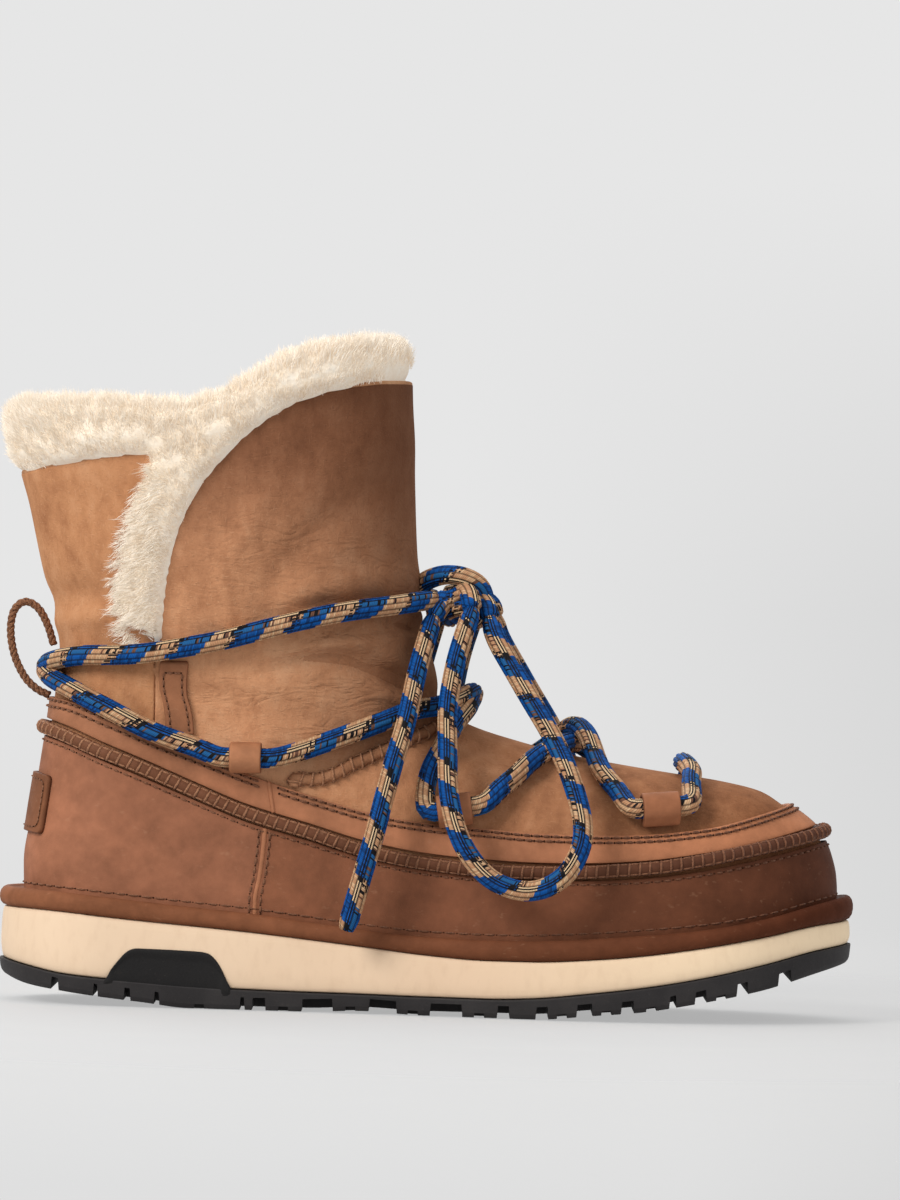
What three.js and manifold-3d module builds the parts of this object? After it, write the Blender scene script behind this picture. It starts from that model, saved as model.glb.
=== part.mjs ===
import * as THREE from 'three';
import { mergeVertices } from 'three/addons/utils/BufferGeometryUtils.js';
import Module from 'manifold-3d';

const wasm = await Module();
wasm.setup();

// All lengths are millimetres. +X runs to the toe, +Z is up, -Y is the outer side of a right boot.
const soleLength = 286;
const heelX = -143;
const around = 48;
const wall = 2.6;
const gap = 0.3;
const overlay = 1.3;
const overlayLow = 0.45;
const featherInset = 7.6;
const laceRadius = 3.35;

// Smooth curve through rows that never overshoots, so equal neighbours stay level between them.
function curveThrough(rows, inKey, outKey) {
  const xs = rows.map((row) => row[inKey]);
  const ys = rows.map((row) => row[outKey]);
  const count = xs.length;
  const slopes = [];
  for (let i = 0; i < count - 1; i += 1) {
    slopes.push((ys[i + 1] - ys[i]) / (xs[i + 1] - xs[i]));
  }
  const tangents = [slopes[0]];
  for (let i = 1; i < count - 1; i += 1) {
    const product = slopes[i - 1] * slopes[i];
    tangents.push(product <= 0 ? 0 : (2 * product) / (slopes[i - 1] + slopes[i]));
  }
  tangents.push(slopes[count - 2]);
  return (x) => {
    if (x <= xs[0]) return ys[0] + tangents[0] * (x - xs[0]);
    if (x >= xs[count - 1]) return ys[count - 1] + tangents[count - 1] * (x - xs[count - 1]);
    let i = 0;
    while (x > xs[i + 1]) i += 1;
    const span = xs[i + 1] - xs[i];
    const t = (x - xs[i]) / span;
    const rise = ys[i] * (1 + 2 * t) * (1 - t) ** 2 + ys[i + 1] * t * t * (3 - 2 * t);
    return rise + span * (tangents[i] * t * (1 - t) ** 2 - tangents[i + 1] * t * t * (1 - t));
  };
}

function clamp(value, low, high) {
  return Math.min(high, Math.max(low, value));
}

function mix(a, b, t) {
  return a + (b - a) * t;
}

function smooth(value, low, high) {
  const t = clamp((value - low) / (high - low), 0, 1);
  return t * t * (3 - 2 * t);
}

// Half widths of the welt each side of the foot's own curved centre line.
const planRows = [
  { x: -143, outer: 33, inner: 33, centre: 0 },
  { x: -118, outer: 36, inner: 35.5, centre: 0 },
  { x: -80, outer: 37, inner: 35, centre: 0 },
  { x: -40, outer: 38, inner: 35, centre: 0 },
  { x: 0, outer: 42.5, inner: 38.5, centre: 0.6 },
  { x: 35, outer: 48.5, inner: 45, centre: 1.6 },
  { x: 65, outer: 51.5, inner: 48.5, centre: 2.6 },
  { x: 95, outer: 51, inner: 47, centre: 3.6 },
  { x: 143, outer: 44, inner: 40, centre: 5 },
];
const planOuter = curveThrough(planRows, 'x', 'outer');
const planInner = curveThrough(planRows, 'x', 'inner');
const planCentre = curveThrough(planRows, 'x', 'centre');
const heelRound = 36;
const toeRound = 62;

// Closed plan outline: turn 0 is the heel tip, 0.5 the toe tip, the outer side lies between.
function outline(turn) {
  const along = (1 - Math.cos(2 * Math.PI * turn)) / 2;
  const x = heelX + soleLength * along;
  const heelPart = 1 - clamp((x - heelX) / heelRound, 0, 1);
  const toePart = 1 - clamp((heelX + soleLength - x) / toeRound, 0, 1);
  const round = Math.sqrt(Math.max(0, 1 - heelPart ** 2.1)) * Math.sqrt(Math.max(0, 1 - toePart ** 2.2));
  const onOuter = ((turn % 1) + 1) % 1 < 0.5;
  const half = onOuter ? -planOuter(x) : planInner(x);
  return [x, planCentre(x) + half * round];
}

function insetOutline(turn, inset) {
  const step = 1 / 400;
  const before = outline(turn - step);
  const after = outline(turn + step);
  const here = outline(turn);
  const dx = after[0] - before[0];
  const dy = after[1] - before[1];
  const size = Math.hypot(dx, dy);
  return [here[0] - (dy / size) * inset, here[1] + (dx / size) * inset];
}

// Heights of the sole's layers along the foot: flat under heel and forefoot, arch between, toe spring.
const soleRows = [
  { x: -143, tread: 9.4, outsole: 14.3, midsole: 31.1, welt: 37.7, piping: 96, band: 108 },
  { x: -132, tread: 6.0, outsole: 12.2, midsole: 31.0, welt: 37.6, piping: 92.5, band: 102 },
  { x: -120, tread: 4.4, outsole: 10.2, midsole: 30.5, welt: 37.0, piping: 89, band: 100 },
  { x: -108, tread: 3.0, outsole: 9.2, midsole: 29.5, welt: 36.0, piping: 84, band: 95.5 },
  { x: -92, tread: 1.4, outsole: 8.2, midsole: 28.2, welt: 34.6, piping: 77.7, band: 88.7 },
  { x: -78, tread: 0, outsole: 7.4, midsole: 27.2, welt: 33.4, piping: 72, band: 83.6 },
  { x: -60, tread: 0, outsole: 6.8, midsole: 25.8, welt: 32.0, piping: 65, band: 77 },
  { x: -40, tread: 0, outsole: 6.5, midsole: 23.9, welt: 29.8, piping: 59.5, band: 70.8 },
  { x: -20, tread: 0.8, outsole: 6.4, midsole: 21.9, welt: 27.6, piping: 54, band: 65.3 },
  { x: 0, tread: 0, outsole: 6.2, midsole: 19.9, welt: 26.0, piping: 50.6, band: 62 },
  { x: 20, tread: 0, outsole: 6.2, midsole: 18.8, welt: 25.6, piping: 49.1, band: 60.4 },
  { x: 36, tread: 0, outsole: 6.9, midsole: 18.9, welt: 25.9, piping: 48.6, band: 59.2 },
  { x: 56, tread: 1.8, outsole: 9.2, midsole: 20.2, welt: 27.2, piping: 49.1, band: 58.8 },
  { x: 72, tread: 3.4, outsole: 11.4, midsole: 21.9, welt: 28.7, piping: 50.3, band: 59.3 },
  { x: 92, tread: 7.0, outsole: 15.1, midsole: 25.0, welt: 31.0, piping: 53.4, band: 61.6 },
  { x: 112, tread: 11.3, outsole: 19.7, midsole: 28.7, welt: 34.8, piping: 57.8, band: 66.8 },
  { x: 130, tread: 16.6, outsole: 24.2, midsole: 32.4, welt: 39.6, piping: 62.2, band: 72 },
  { x: 143, tread: 20.0, outsole: 26.2, midsole: 33.8, welt: 42.4, piping: 65, band: 75 },
];
const treadZ = curveThrough(soleRows, 'x', 'tread');
const outsoleZ = curveThrough(soleRows, 'x', 'outsole');
const midsoleZ = curveThrough(soleRows, 'x', 'midsole');
const weltZ = curveThrough(soleRows, 'x', 'welt');
const pipingZ = curveThrough(soleRows, 'x', 'piping');
const bandZ = curveThrough(soleRows, 'x', 'band');

// Side profile of the upper's own wall at the back of the heel and at the toe, by height.
const backRows = [
  { z: 30, x: -132.8 },
  { z: 46, x: -133.4 },
  { z: 60, x: -131.4 },
  { z: 72, x: -129.8 },
  { z: 88, x: -127.9 },
  { z: 97, x: -126.9 },
  { z: 105, x: -126.0 },
  { z: 117, x: -125.2 },
  { z: 128, x: -127.2 },
  { z: 139, x: -130.2 },
  { z: 152, x: -133.6 },
  { z: 166, x: -137.0 },
  { z: 177, x: -140.2 },
  { z: 200, x: -144.5 },
  { z: 216, x: -146.0 },
];
const toeRows = [
  { z: 30, x: 134.9 },
  { z: 41, x: 135.5 },
  { z: 48, x: 135.0 },
  { z: 55, x: 133.4 },
  { z: 62.3, x: 130.6 },
];
const backX = curveThrough(backRows, 'z', 'x');
const toeX = curveThrough(toeRows, 'z', 'x');
const pipingHeelZ = 91;
const pipingToeZ = 62.3;
const bandHeelZ = 101;
const bandToeZ = 70.7;

// Rings above the piping: height at the heel back and the point reached on vamp or shaft front.
const ringRows = [
  { ring: 1, back: 91, frontX: 130.6, frontZ: 62.3 },
  { ring: 1.5, back: 96, frontX: 125.6, frontZ: 66.6 },
  { ring: 2, back: 101, frontX: 119.5, frontZ: 70.7 },
  { ring: 3, back: 102.2, frontX: 110.5, frontZ: 76.0 },
  { ring: 4, back: 103.4, frontX: 97, frontZ: 79.0 },
  { ring: 5, back: 104.6, frontX: 80, frontZ: 81.2 },
  { ring: 6, back: 106, frontX: 62, frontZ: 83.8 },
  { ring: 7, back: 107.8, frontX: 46, frontZ: 86.5 },
  { ring: 8, back: 110.2, frontX: 30, frontZ: 90.3 },
  { ring: 9, back: 113.8, frontX: 14, frontZ: 95.1 },
  { ring: 10, back: 119, frontX: 5, frontZ: 100.4 },
  { ring: 11, back: 127, frontX: 0.8, frontZ: 113 },
  { ring: 12, back: 137, frontX: -2.6, frontZ: 126.5 },
  { ring: 13, back: 148, frontX: -5.0, frontZ: 140 },
  { ring: 14, back: 160, frontX: -6.4, frontZ: 154 },
  { ring: 15, back: 172.5, frontX: -7.5, frontZ: 170 },
  { ring: 16, back: 186, frontX: -8.4, frontZ: 186 },
  { ring: 17, back: 201, frontX: -9.2, frontZ: 202 },
  { ring: 18, back: 222, frontX: -10, frontZ: 228 },
];
const topRing = 18;
const ringBackZ = curveThrough(ringRows, 'ring', 'back');
const ringFrontX = curveThrough(ringRows, 'ring', 'frontX');
const ringFrontZ = curveThrough(ringRows, 'ring', 'frontZ');

// The edge the foot and shaft close on: toe top, vamp ridge, instep, shaft front.
const ridge = [];
for (let ring = 1; ring <= topRing; ring += 0.25) {
  ridge.push([ringFrontX(ring), ringFrontZ(ring)]);
}
ridge.push([-12, 280]);

function distanceTo(path, x, z) {
  let best = Infinity;
  for (let i = 0; i < path.length - 1; i += 1) {
    const [ax, az] = path[i];
    const [bx, bz] = path[i + 1];
    const spanX = bx - ax;
    const spanZ = bz - az;
    const t = clamp(((x - ax) * spanX + (z - az) * spanZ) / (spanX ** 2 + spanZ ** 2), 0, 1);
    best = Math.min(best, Math.hypot(x - ax - t * spanX, z - az - t * spanZ));
  }
  return best;
}

// Height of the piping line and of the band's top edge, by share of the way from heel to toe.
function lineHeight(tableZ, heelAt, toeAt, heelHeight, toeHeight, share) {
  const x = mix(heelAt, toeAt, share);
  const straight = mix(tableZ(heelAt), tableZ(toeAt), share);
  return mix(heelHeight, toeHeight, share) + tableZ(x) - straight;
}

function pipingHeight(share) {
  return lineHeight(pipingZ, backX(pipingHeelZ), toeX(pipingToeZ), pipingHeelZ, pipingToeZ, share);
}

function bandHeight(share) {
  return lineHeight(bandZ, backX(bandHeelZ), ringFrontX(2), bandHeelZ, bandToeZ, share);
}

// The wall from the sole up to the piping: level 0 is its foot, level 1 the piping line.
const wallSlim = 0.035;
const footLift = 2.6;

function wallPoint(turn, level) {
  const [planX, planY] = insetOutline(turn, featherInset);
  const backFootZ = midsoleZ(-133) + footLift;
  const toeFootZ = midsoleZ(135) + footLift;
  const heelAt = backX(mix(backFootZ, pipingHeelZ, level));
  const toeAt = toeX(mix(toeFootZ, pipingToeZ, level));
  const along = (planX - heelX - featherInset) / (soleLength - 2 * featherInset);
  const x = mix(heelAt, toeAt, along);
  const z = mix(midsoleZ(x) + footLift, pipingHeight(along), level);
  const centre = planCentre(planX);
  return [x, centre + (planY - centre) * (1 - wallSlim * level), z];
}

const pipingLoop = [];
const pipingSteps = 400;
for (let i = 0; i <= pipingSteps; i += 1) {
  pipingLoop.push(wallPoint(i / pipingSteps, 1));
}
const pipingPath = pipingLoop.slice(0, pipingSteps / 2 + 1).map(([x, , z]) => [x, z]);
const pipingBackX = pipingPath[0][0];
const pipingToeX = pipingPath[pipingPath.length - 1][0];

// Half width of the piping line at x, outer side negative.
function pipingY(x, onOuter) {
  const middle = pipingSteps / 2;
  const half = onOuter ? pipingLoop.slice(0, middle + 1) : pipingLoop.slice(middle).reverse();
  let i = 0;
  while (i < half.length - 2 && x > half[i + 1][0]) i += 1;
  const span = half[i + 1][0] - half[i][0];
  const t = clamp((x - half[i][0]) / span, 0, 1);
  return mix(half[i][1], half[i + 1][1], t);
}

const shaftRows = [
  { z: 80, half: 34.5 },
  { z: 100, half: 34.5 },
  { z: 117, half: 35 },
  { z: 140, half: 38 },
  { z: 165, half: 41 },
  { z: 190, half: 43.5 },
  { z: 220, half: 45 },
];
const shaftHalf = curveThrough(shaftRows, 'z', 'half');
const shaftBackRound = 62;
const ridgeRound = 60;

// Y of the surface over a point of the side view, above the piping.
function upperY(x, z, onOuter) {
  const back = backX(z);
  const share = clamp((x - back) / (pipingToeX - back), 0, 1);
  const foot = pipingY(mix(pipingBackX, pipingToeX, share), onOuter);
  const backPart = 1 - clamp((x - back) / shaftBackRound, 0, 1);
  const centre = planCentre(x);
  const shaft = shaftHalf(z) * Math.sqrt(Math.max(0, 1 - backPart ** 2.1)) * (onOuter ? -1 : 1);
  const rise = smooth(z, 92, 130);
  const base = mix(foot - centre, shaft, rise);
  const inside = distanceTo(ridge, x, z);
  const below = distanceTo(pipingPath, x, z);
  const depth = clamp(inside / Math.max(1e-6, Math.min(ridgeRound, inside + below)), 0, 1);
  const power = mix(1.55, 2, smooth(-x, -40, 30));
  return centre + base * Math.sqrt(Math.max(0, 1 - (1 - depth) ** power));
}

function ringPlace(ring, share) {
  const low = Math.min(ring, 2) - 1;
  const backZ = ringBackZ(ring);
  const x = mix(backX(backZ), ringFrontX(ring), share);
  const pipingSag = pipingHeight(share) - mix(pipingHeelZ, pipingToeZ, share);
  const bandSag = bandHeight(share) - mix(bandHeelZ, bandToeZ, share);
  const fade = (1 - smooth(ring, 2, 12.5)) ** 1.2;
  return [x, mix(backZ, ringFrontZ(ring), share) + mix(pipingSag, bandSag, low) * fade];
}

// A point of the upper's outer surface. Rings 0 to 1 are the wall, 1 to 2 the band, then up.
function formPoint(ring, turn) {
  const t = ((turn % 1) + 1) % 1;
  if (ring <= 1) return wallPoint(t, ring);
  const start = wallPoint(t, 1);
  const share = clamp((start[0] - pipingBackX) / (pipingToeX - pipingBackX), 0, 1);
  const [x, z] = ringPlace(ring, share);
  return [x, upperY(x, z, t < 0.5), z];
}

function formNormal(ring, turn) {
  const stepTurn = 0.004;
  const stepRing = 0.04;
  const a = formPoint(ring, turn - stepTurn);
  const b = formPoint(ring, turn + stepTurn);
  const low = Math.max(0, ring - stepRing);
  const c = formPoint(low, turn);
  const d = formPoint(low + 2 * stepRing, turn);
  const alongTurn = new THREE.Vector3(b[0] - a[0], b[1] - a[1], b[2] - a[2]);
  const alongRing = new THREE.Vector3(d[0] - c[0], d[1] - c[1], d[2] - c[2]);
  return alongTurn.cross(alongRing).normalize();
}

function liftedPoint(ring, turn, lift) {
  const p = formPoint(ring, turn);
  const n = formNormal(ring, turn);
  return [p[0] + n.x * lift, p[1] + n.y * lift, p[2] + n.z * lift];
}

// Closed body between two grids of points. wrap joins the last column to the first.
function bodyBetween(outerGrid, innerGrid, wrap) {
  const rows = outerGrid.length;
  const columns = outerGrid[0].length;
  const positions = [];
  const indices = [];
  for (const grid of [outerGrid, innerGrid]) {
    for (const row of grid) {
      for (const point of row) positions.push(...point);
    }
  }
  const outer = (i, j) => i * columns + (j % columns);
  const inner = (i, j) => rows * columns + i * columns + (j % columns);
  const quad = (a, b, c, d) => indices.push(a, b, c, a, c, d);
  const lastColumn = wrap ? columns : columns - 1;
  for (let j = 0; j < lastColumn; j += 1) {
    for (let i = 0; i < rows - 1; i += 1) {
      quad(outer(i, j), outer(i, j + 1), outer(i + 1, j + 1), outer(i + 1, j));
      quad(inner(i, j), inner(i + 1, j), inner(i + 1, j + 1), inner(i, j + 1));
    }
    quad(outer(rows - 1, j), outer(rows - 1, j + 1), inner(rows - 1, j + 1), inner(rows - 1, j));
    quad(outer(0, j), inner(0, j), inner(0, j + 1), outer(0, j + 1));
  }
  if (!wrap) {
    const end = columns - 1;
    for (let i = 0; i < rows - 1; i += 1) {
      quad(outer(i, 0), outer(i + 1, 0), inner(i + 1, 0), inner(i, 0));
      quad(outer(i, end), inner(i, end), inner(i + 1, end), outer(i + 1, end));
    }
  }
  const geometry = new THREE.BufferGeometry();
  geometry.setAttribute('position', new THREE.Float32BufferAttribute(positions, 3));
  geometry.setIndex(indices);
  return geometry;
}

// Closed slab from stacked loops whose points run round the foot in step, lowest loop first.
function slabFromLoops(loops) {
  const count = loops[0].length;
  const positions = loops.flat(2);
  const indices = [];
  const at = (i, j) => i * count + (j % count);
  for (let i = 0; i < loops.length - 1; i += 1) {
    for (let j = 0; j < count; j += 1) {
      indices.push(at(i, j), at(i, j + 1), at(i + 1, j + 1), at(i, j), at(i + 1, j + 1), at(i + 1, j));
    }
  }
  const top = loops.length - 1;
  for (let j = 0; j < count / 2; j += 1) {
    const far = (count - j) % count;
    const farNext = count - j - 1;
    if (j > 0) {
      indices.push(at(top, j), at(top, j + 1), at(top, far), at(0, j), at(0, far), at(0, j + 1));
    }
    if (farNext !== j + 1) {
      indices.push(at(top, j + 1), at(top, farNext), at(top, far), at(0, j + 1), at(0, far), at(0, farNext));
    }
  }
  const geometry = new THREE.BufferGeometry();
  geometry.setAttribute('position', new THREE.Float32BufferAttribute(positions, 3));
  geometry.setIndex(indices);
  return geometry;
}

function toSolid(geometry) {
  const plain = new THREE.BufferGeometry();
  plain.setAttribute('position', geometry.getAttribute('position').clone());
  if (geometry.index) plain.setIndex(geometry.index.clone());
  const merged = mergeVertices(plain, 1e-4);
  const mesh = new wasm.Mesh({
    numProp: 3,
    vertProperties: new Float32Array(merged.getAttribute('position').array),
    triVerts: new Uint32Array(merged.index.array),
  });
  return new wasm.Manifold(mesh);
}

function toGeometry(solid) {
  const mesh = solid.getMesh();
  const geometry = new THREE.BufferGeometry();
  const positions = new Float32Array(mesh.numVert * 3);
  for (let i = 0; i < mesh.numVert; i += 1) {
    for (let k = 0; k < 3; k += 1) positions[3 * i + k] = mesh.vertProperties[i * mesh.numProp + k];
  }
  geometry.setAttribute('position', new THREE.BufferAttribute(positions, 3));
  geometry.setIndex(Array.from(mesh.triVerts));
  return geometry;
}

function joined(solids) {
  return solids.reduce((sum, solid) => sum.add(solid));
}

// A plate cut out in the side view and running right across the boot.
function sidePlate(points, halfDepth) {
  const shape = new THREE.Shape(points.map(([x, z]) => new THREE.Vector2(x, z)));
  const geometry = new THREE.ExtrudeGeometry(shape, { depth: 2 * halfDepth, bevelEnabled: false });
  geometry.rotateX(Math.PI / 2);
  geometry.translate(0, halfDepth, 0);
  return toSolid(geometry);
}

function loopAt(inset, heightOf, count = around) {
  const loop = [];
  for (let j = 0; j < count; j += 1) {
    const [x, y] = insetOutline(j / count, inset);
    loop.push([x, y, heightOf(x)]);
  }
  return loop;
}

function planSlab(inset, lowOf, highOf) {
  return toSolid(slabFromLoops([loopAt(inset, lowOf), loopAt(inset, highOf)]));
}

// Outsole: a bare slab with cross grooves cut from below and a raised tab on each side.
const grooveDepth = 4.2;
const grooveRows = [
  { from: -124, to: -120.4, through: 1 },
  { from: -109.8, to: -107.2, through: 1 },
  { from: -99.6, to: -96.4, through: 0 },
  { from: -89.6, to: -86.8, through: 0 },
  { from: -61.2, to: -58.6, through: 0 },
  { from: -57.2, to: -51.7, through: 0 },
  { from: -40.8, to: -29.5, through: 0 },
  { from: -18.6, to: -8.4, through: 0 },
  { from: 1.6, to: 13.2, through: 0 },
  { from: 23.7, to: 28.8, through: 0 },
  { from: 36.4, to: 41.5, through: 0 },
  { from: 49.8, to: 56.0, through: 0 },
  { from: 64.4, to: 69.6, through: 0 },
  { from: 80.2, to: 83.5, through: 0 },
  { from: 88.6, to: 93.4, through: 0 },
  { from: 102.4, to: 107.2, through: 1 },
  { from: 116.3, to: 121.7, through: 1 },
];
const lugReach = 25;
const channelHalf = 2;
const channelOffset = 15;

function treadCut(xs, yLow, yHigh) {
  const outer = [];
  const inner = [];
  for (const y of [yLow, yHigh]) {
    outer.push(xs.map((x) => [x, y + planCentre(x), treadZ(x) - 12]));
    inner.push(xs.map((x) => [x, y + planCentre(x), treadZ(x) + grooveDepth]));
  }
  return toSolid(bodyBetween(inner, outer, false));
}

function outsoleBlank() {
  const loops = [
    loopAt(2.0, (x) => treadZ(x)),
    loopAt(0.8, (x) => treadZ(x) + 1.6),
    loopAt(0.5, (x) => outsoleZ(x) - gap),
  ];
  return toSolid(slabFromLoops(loops));
}

const tabShape = [
  [-106.4, 5],
  [-105.6, 9.5],
  [-99.8, 17.2],
  [-97.3, 19.4],
  [-84, 19.2],
  [-72.3, 18.8],
  [-69.3, 17.3],
  [-66.2, 12.1],
  [-63.4, 5],
];
const tabInset = 0.5;
const tabThick = 2.4;

function grown(points, by) {
  const centreX = -85;
  return points.map(([x, z]) => [x + Math.sign(x - centreX) * by, z > 9 ? z + by : z - 1]);
}

function buildOutsole() {
  const cuts = [];
  for (const row of grooveRows) {
    const xs = [row.from, row.to];
    if (row.through) {
      cuts.push(treadCut(xs, -60, 60));
    } else {
      cuts.push(treadCut(xs, -60, -channelOffset));
      cuts.push(treadCut(xs, channelOffset, 60));
    }
  }
  const channelXs = [-97, -80, -60, -40, -20, 0, 20, 36, 56, 72, 84, 94, 103];
  cuts.push(treadCut(channelXs, -channelOffset - channelHalf, -channelOffset + channelHalf));
  cuts.push(treadCut(channelXs, channelOffset - channelHalf, channelOffset + channelHalf));
  for (let i = 2; i < grooveRows.length - 2; i += 1) {
    const middle = (grooveRows[i].to + grooveRows[i + 1].from) / 2;
    if (grooveRows[i + 1].from - grooveRows[i].to > 8) {
      cuts.push(treadCut([middle - 1.6, middle + 1.6], -channelOffset, channelOffset));
    }
  }
  const plate = sidePlate(tabShape, 70);
  const rimOutside = planSlab(tabInset, () => 2, () => 30);
  const rim = rimOutside.subtract(planSlab(tabInset + tabThick, () => 1, () => 31));
  const tab = plate.intersect(rim);
  return outsoleBlank().add(tab).subtract(joined(cuts));
}

function buildMidsole() {
  const slab = toSolid(slabFromLoops([
    loopAt(1.6, (x) => outsoleZ(x)),
    loopAt(0.9, (x) => mix(outsoleZ(x), midsoleZ(x), 0.35)),
    loopAt(1.1, (x) => mix(outsoleZ(x), midsoleZ(x), 0.75)),
    loopAt(1.8, (x) => midsoleZ(x)),
  ]));
  const notch = sidePlate(grown(tabShape, gap), 70)
    .subtract(planSlab(tabInset + tabThick + gap, () => -4, () => 40));
  return slab.subtract(notch);
}

// Welt: a rounded rand outside and a thin ledge running in under the upper.
function buildWelt() {
  const ledge = footLift - 2 * gap;
  const rings = [];
  for (let j = 0; j < around; j += 1) {
    const turn = j / around;
    const foot = wallPoint(turn, 0);
    const outside = liftedPoint(0, turn, overlay + overlayLow + gap);
    const inside = liftedPoint(0, turn, -wall);
    const bead = (inset, height) => {
      const [x, y] = insetOutline(turn, inset);
      return [x, y, mix(midsoleZ(x) + gap, weltZ(x), height)];
    };
    const base = midsoleZ(foot[0]) + gap;
    rings.push([
      bead(1.2, 0),
      bead(0, 0.32),
      bead(0.1, 0.66),
      bead(1.5, 0.93),
      bead(3.4, 1),
      [outside[0], outside[1], weltZ(outside[0]) - 0.5],
      [outside[0], outside[1], base + ledge],
      [inside[0], inside[1], base + ledge],
      [inside[0], inside[1], base],
    ]);
  }
  const count = rings[0].length;
  const positions = rings.flat(2);
  const indices = [];
  const at = (j, k) => (j % around) * count + (k % count);
  for (let j = 0; j < around; j += 1) {
    for (let k = 0; k < count; k += 1) {
      indices.push(at(j, k), at(j + 1, k), at(j + 1, k + 1), at(j, k), at(j + 1, k + 1), at(j, k + 1));
    }
  }
  const geometry = new THREE.BufferGeometry();
  geometry.setAttribute('position', new THREE.Float32BufferAttribute(positions, 3));
  geometry.setIndex(indices);
  return toSolid(geometry);
}

const insoleThick = 4;

function buildInsole() {
  const loop = (lift, rise) => {
    const points = [];
    for (let j = 0; j < around; j += 1) {
      const [x, y] = liftedPoint(0, j / around, lift);
      points.push([x, y, midsoleZ(x) + rise]);
    }
    return points;
  };
  const inset = -wall - gap - 0.2;
  return toSolid(slabFromLoops([
    loop(inset, gap),
    loop(inset, insoleThick - 0.8),
    loop(inset - 0.9, insoleThick),
  ]));
}

// Opening line of the upper: slit at the ankle, curved front flap, level rear panel.
const slitFootZ = 112;
const flapEdge = [
  [-90.4, 122.4],
  [-89.9, 131],
  [-89.2, 140],
  [-87.1, 151.4],
  [-84.9, 159.2],
  [-81.3, 167],
  [-76.7, 174.9],
  [-72, 180.8],
  [-65.4, 188.2],
  [-57.9, 194.5],
  [-48.5, 200.4],
  [-38.9, 204.2],
  [-29.3, 206.6],
  [-19.7, 208.2],
  [0, 209.6],
];
const rearEdge = [
  [-165, 172],
  [-138, 175.7],
  [-125.5, 178.5],
  [-111, 181.3],
  [-96.5, 182.7],
  [-91.5, 180],
  [-93.5, 160],
  [-93.4, 140],
  [-92.4, 122],
];

function openingPlate(shrink) {
  const front = flapEdge.map(([x, z]) => [x - shrink * 0.8, z + shrink * 0.8]);
  const rear = rearEdge.map(([x, z]) => [x + (x > -92 || z < 175 ? shrink : 0), z + shrink]);
  const foot = [[-91.9 + 0.4, slitFootZ + shrink * 1.6]];
  const outside = [[60, 209.6 + shrink], [60, 300], [-200, 300], [-200, 172 + shrink]];
  return sidePlate([...foot, ...front, ...outside, ...rear], 90);
}

function shellGrid(ringList, lift, count) {
  return ringList.map((ring) => {
    const row = [];
    for (let j = 0; j < count; j += 1) row.push(liftedPoint(ring, j / count, lift));
    return row;
  });
}

const footRings = [0, 0.5, 1, 1.5, 2, 3, 4.3, 5.8, 7.3, 8.4];
const shaftRings = [9.1, 9.6, 10.1, 10.7, 11.5, 12.7, 14, 15.5, 16.8, 17.6];
const upperRings = [...footRings, ...shaftRings];

function upperBlank(outerLift, innerLift) {
  return toSolid(bodyBetween(
    shellGrid(upperRings, outerLift, around),
    shellGrid(upperRings, innerLift, around),
    true,
  ));
}

function buildUpper() {
  return upperBlank(0, -wall).subtract(openingPlate(0));
}

// Turn round the boot where the piping line passes x.
function turnAt(x, onOuter) {
  let low = onOuter ? 0 : 0.5;
  let high = low + 0.5;
  for (let i = 0; i < 30; i += 1) {
    const middle = (low + high) / 2;
    const ahead = wallPoint(middle, 1)[0] < x;
    if (ahead === onOuter) low = middle;
    else high = middle;
  }
  return (low + high) / 2;
}

// Ring and turn of the surface point that the side view shows at x, z.
function locate(x, z, onOuter) {
  const place = (ring, turn) => {
    const share = (wallPoint(turn, 1)[0] - pipingBackX) / (pipingToeX - pipingBackX);
    return ringPlace(ring, clamp(share, 0, 1));
  };
  const side = onOuter ? 0 : 0.5;
  let best = { ring: 2, turn: 0.25, miss: Infinity };
  for (let ring = 1; ring <= topRing; ring += 0.5) {
    for (let turn = 0.01; turn < 0.5; turn += 0.02) {
      const [px, pz] = place(ring, turn + side);
      const miss = Math.hypot(px - x, pz - z);
      if (miss < best.miss) best = { ring, turn: turn + side, miss };
    }
  }
  let { ring, turn } = best;
  for (let i = 0; i < 12; i += 1) {
    const [px, pz] = place(ring, turn);
    const [rx, rz] = place(ring + 0.02, turn);
    const [tx, tz] = place(ring, turn + 0.001);
    const a = (rx - px) / 0.02;
    const b = (tx - px) / 0.001;
    const c = (rz - pz) / 0.02;
    const d = (tz - pz) / 0.001;
    const det = a * d - b * c;
    ring = clamp(ring + (0.8 * (d * (x - px) - b * (z - pz))) / det, 1, topRing);
    turn = clamp(turn + (0.8 * (a * (z - pz) - c * (x - px))) / det, side + 0.002, side + 0.498);
  }
  return { ring, turn };
}

// A panel lying on the upper: ringsOf lists its rings at a turn, lowest first.
function panel(turnFrom, turnTo, ringsOf, liftLow, liftHigh) {
  const rowCount = ringsOf(turnFrom).length;
  const turns = [turnFrom];
  for (let k = Math.ceil(turnFrom * around); k < turnTo * around; k += 1) {
    if (k / around - turnFrom > 0.004 && turnTo - k / around > 0.004) turns.push(k / around);
  }
  turns.push(turnTo);
  const high = [];
  const low = [];
  for (let i = 0; i < rowCount; i += 1) {
    const highRow = [];
    const lowRow = [];
    for (const turn of turns) {
      const ring = ringsOf(turn)[i];
      highRow.push(liftedPoint(ring, turn, liftHigh));
      lowRow.push(liftedPoint(ring, turn, liftLow));
    }
    high.push(highRow);
    low.push(lowRow);
  }
  return toSolid(bodyBetween(high, low, false));
}

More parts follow.
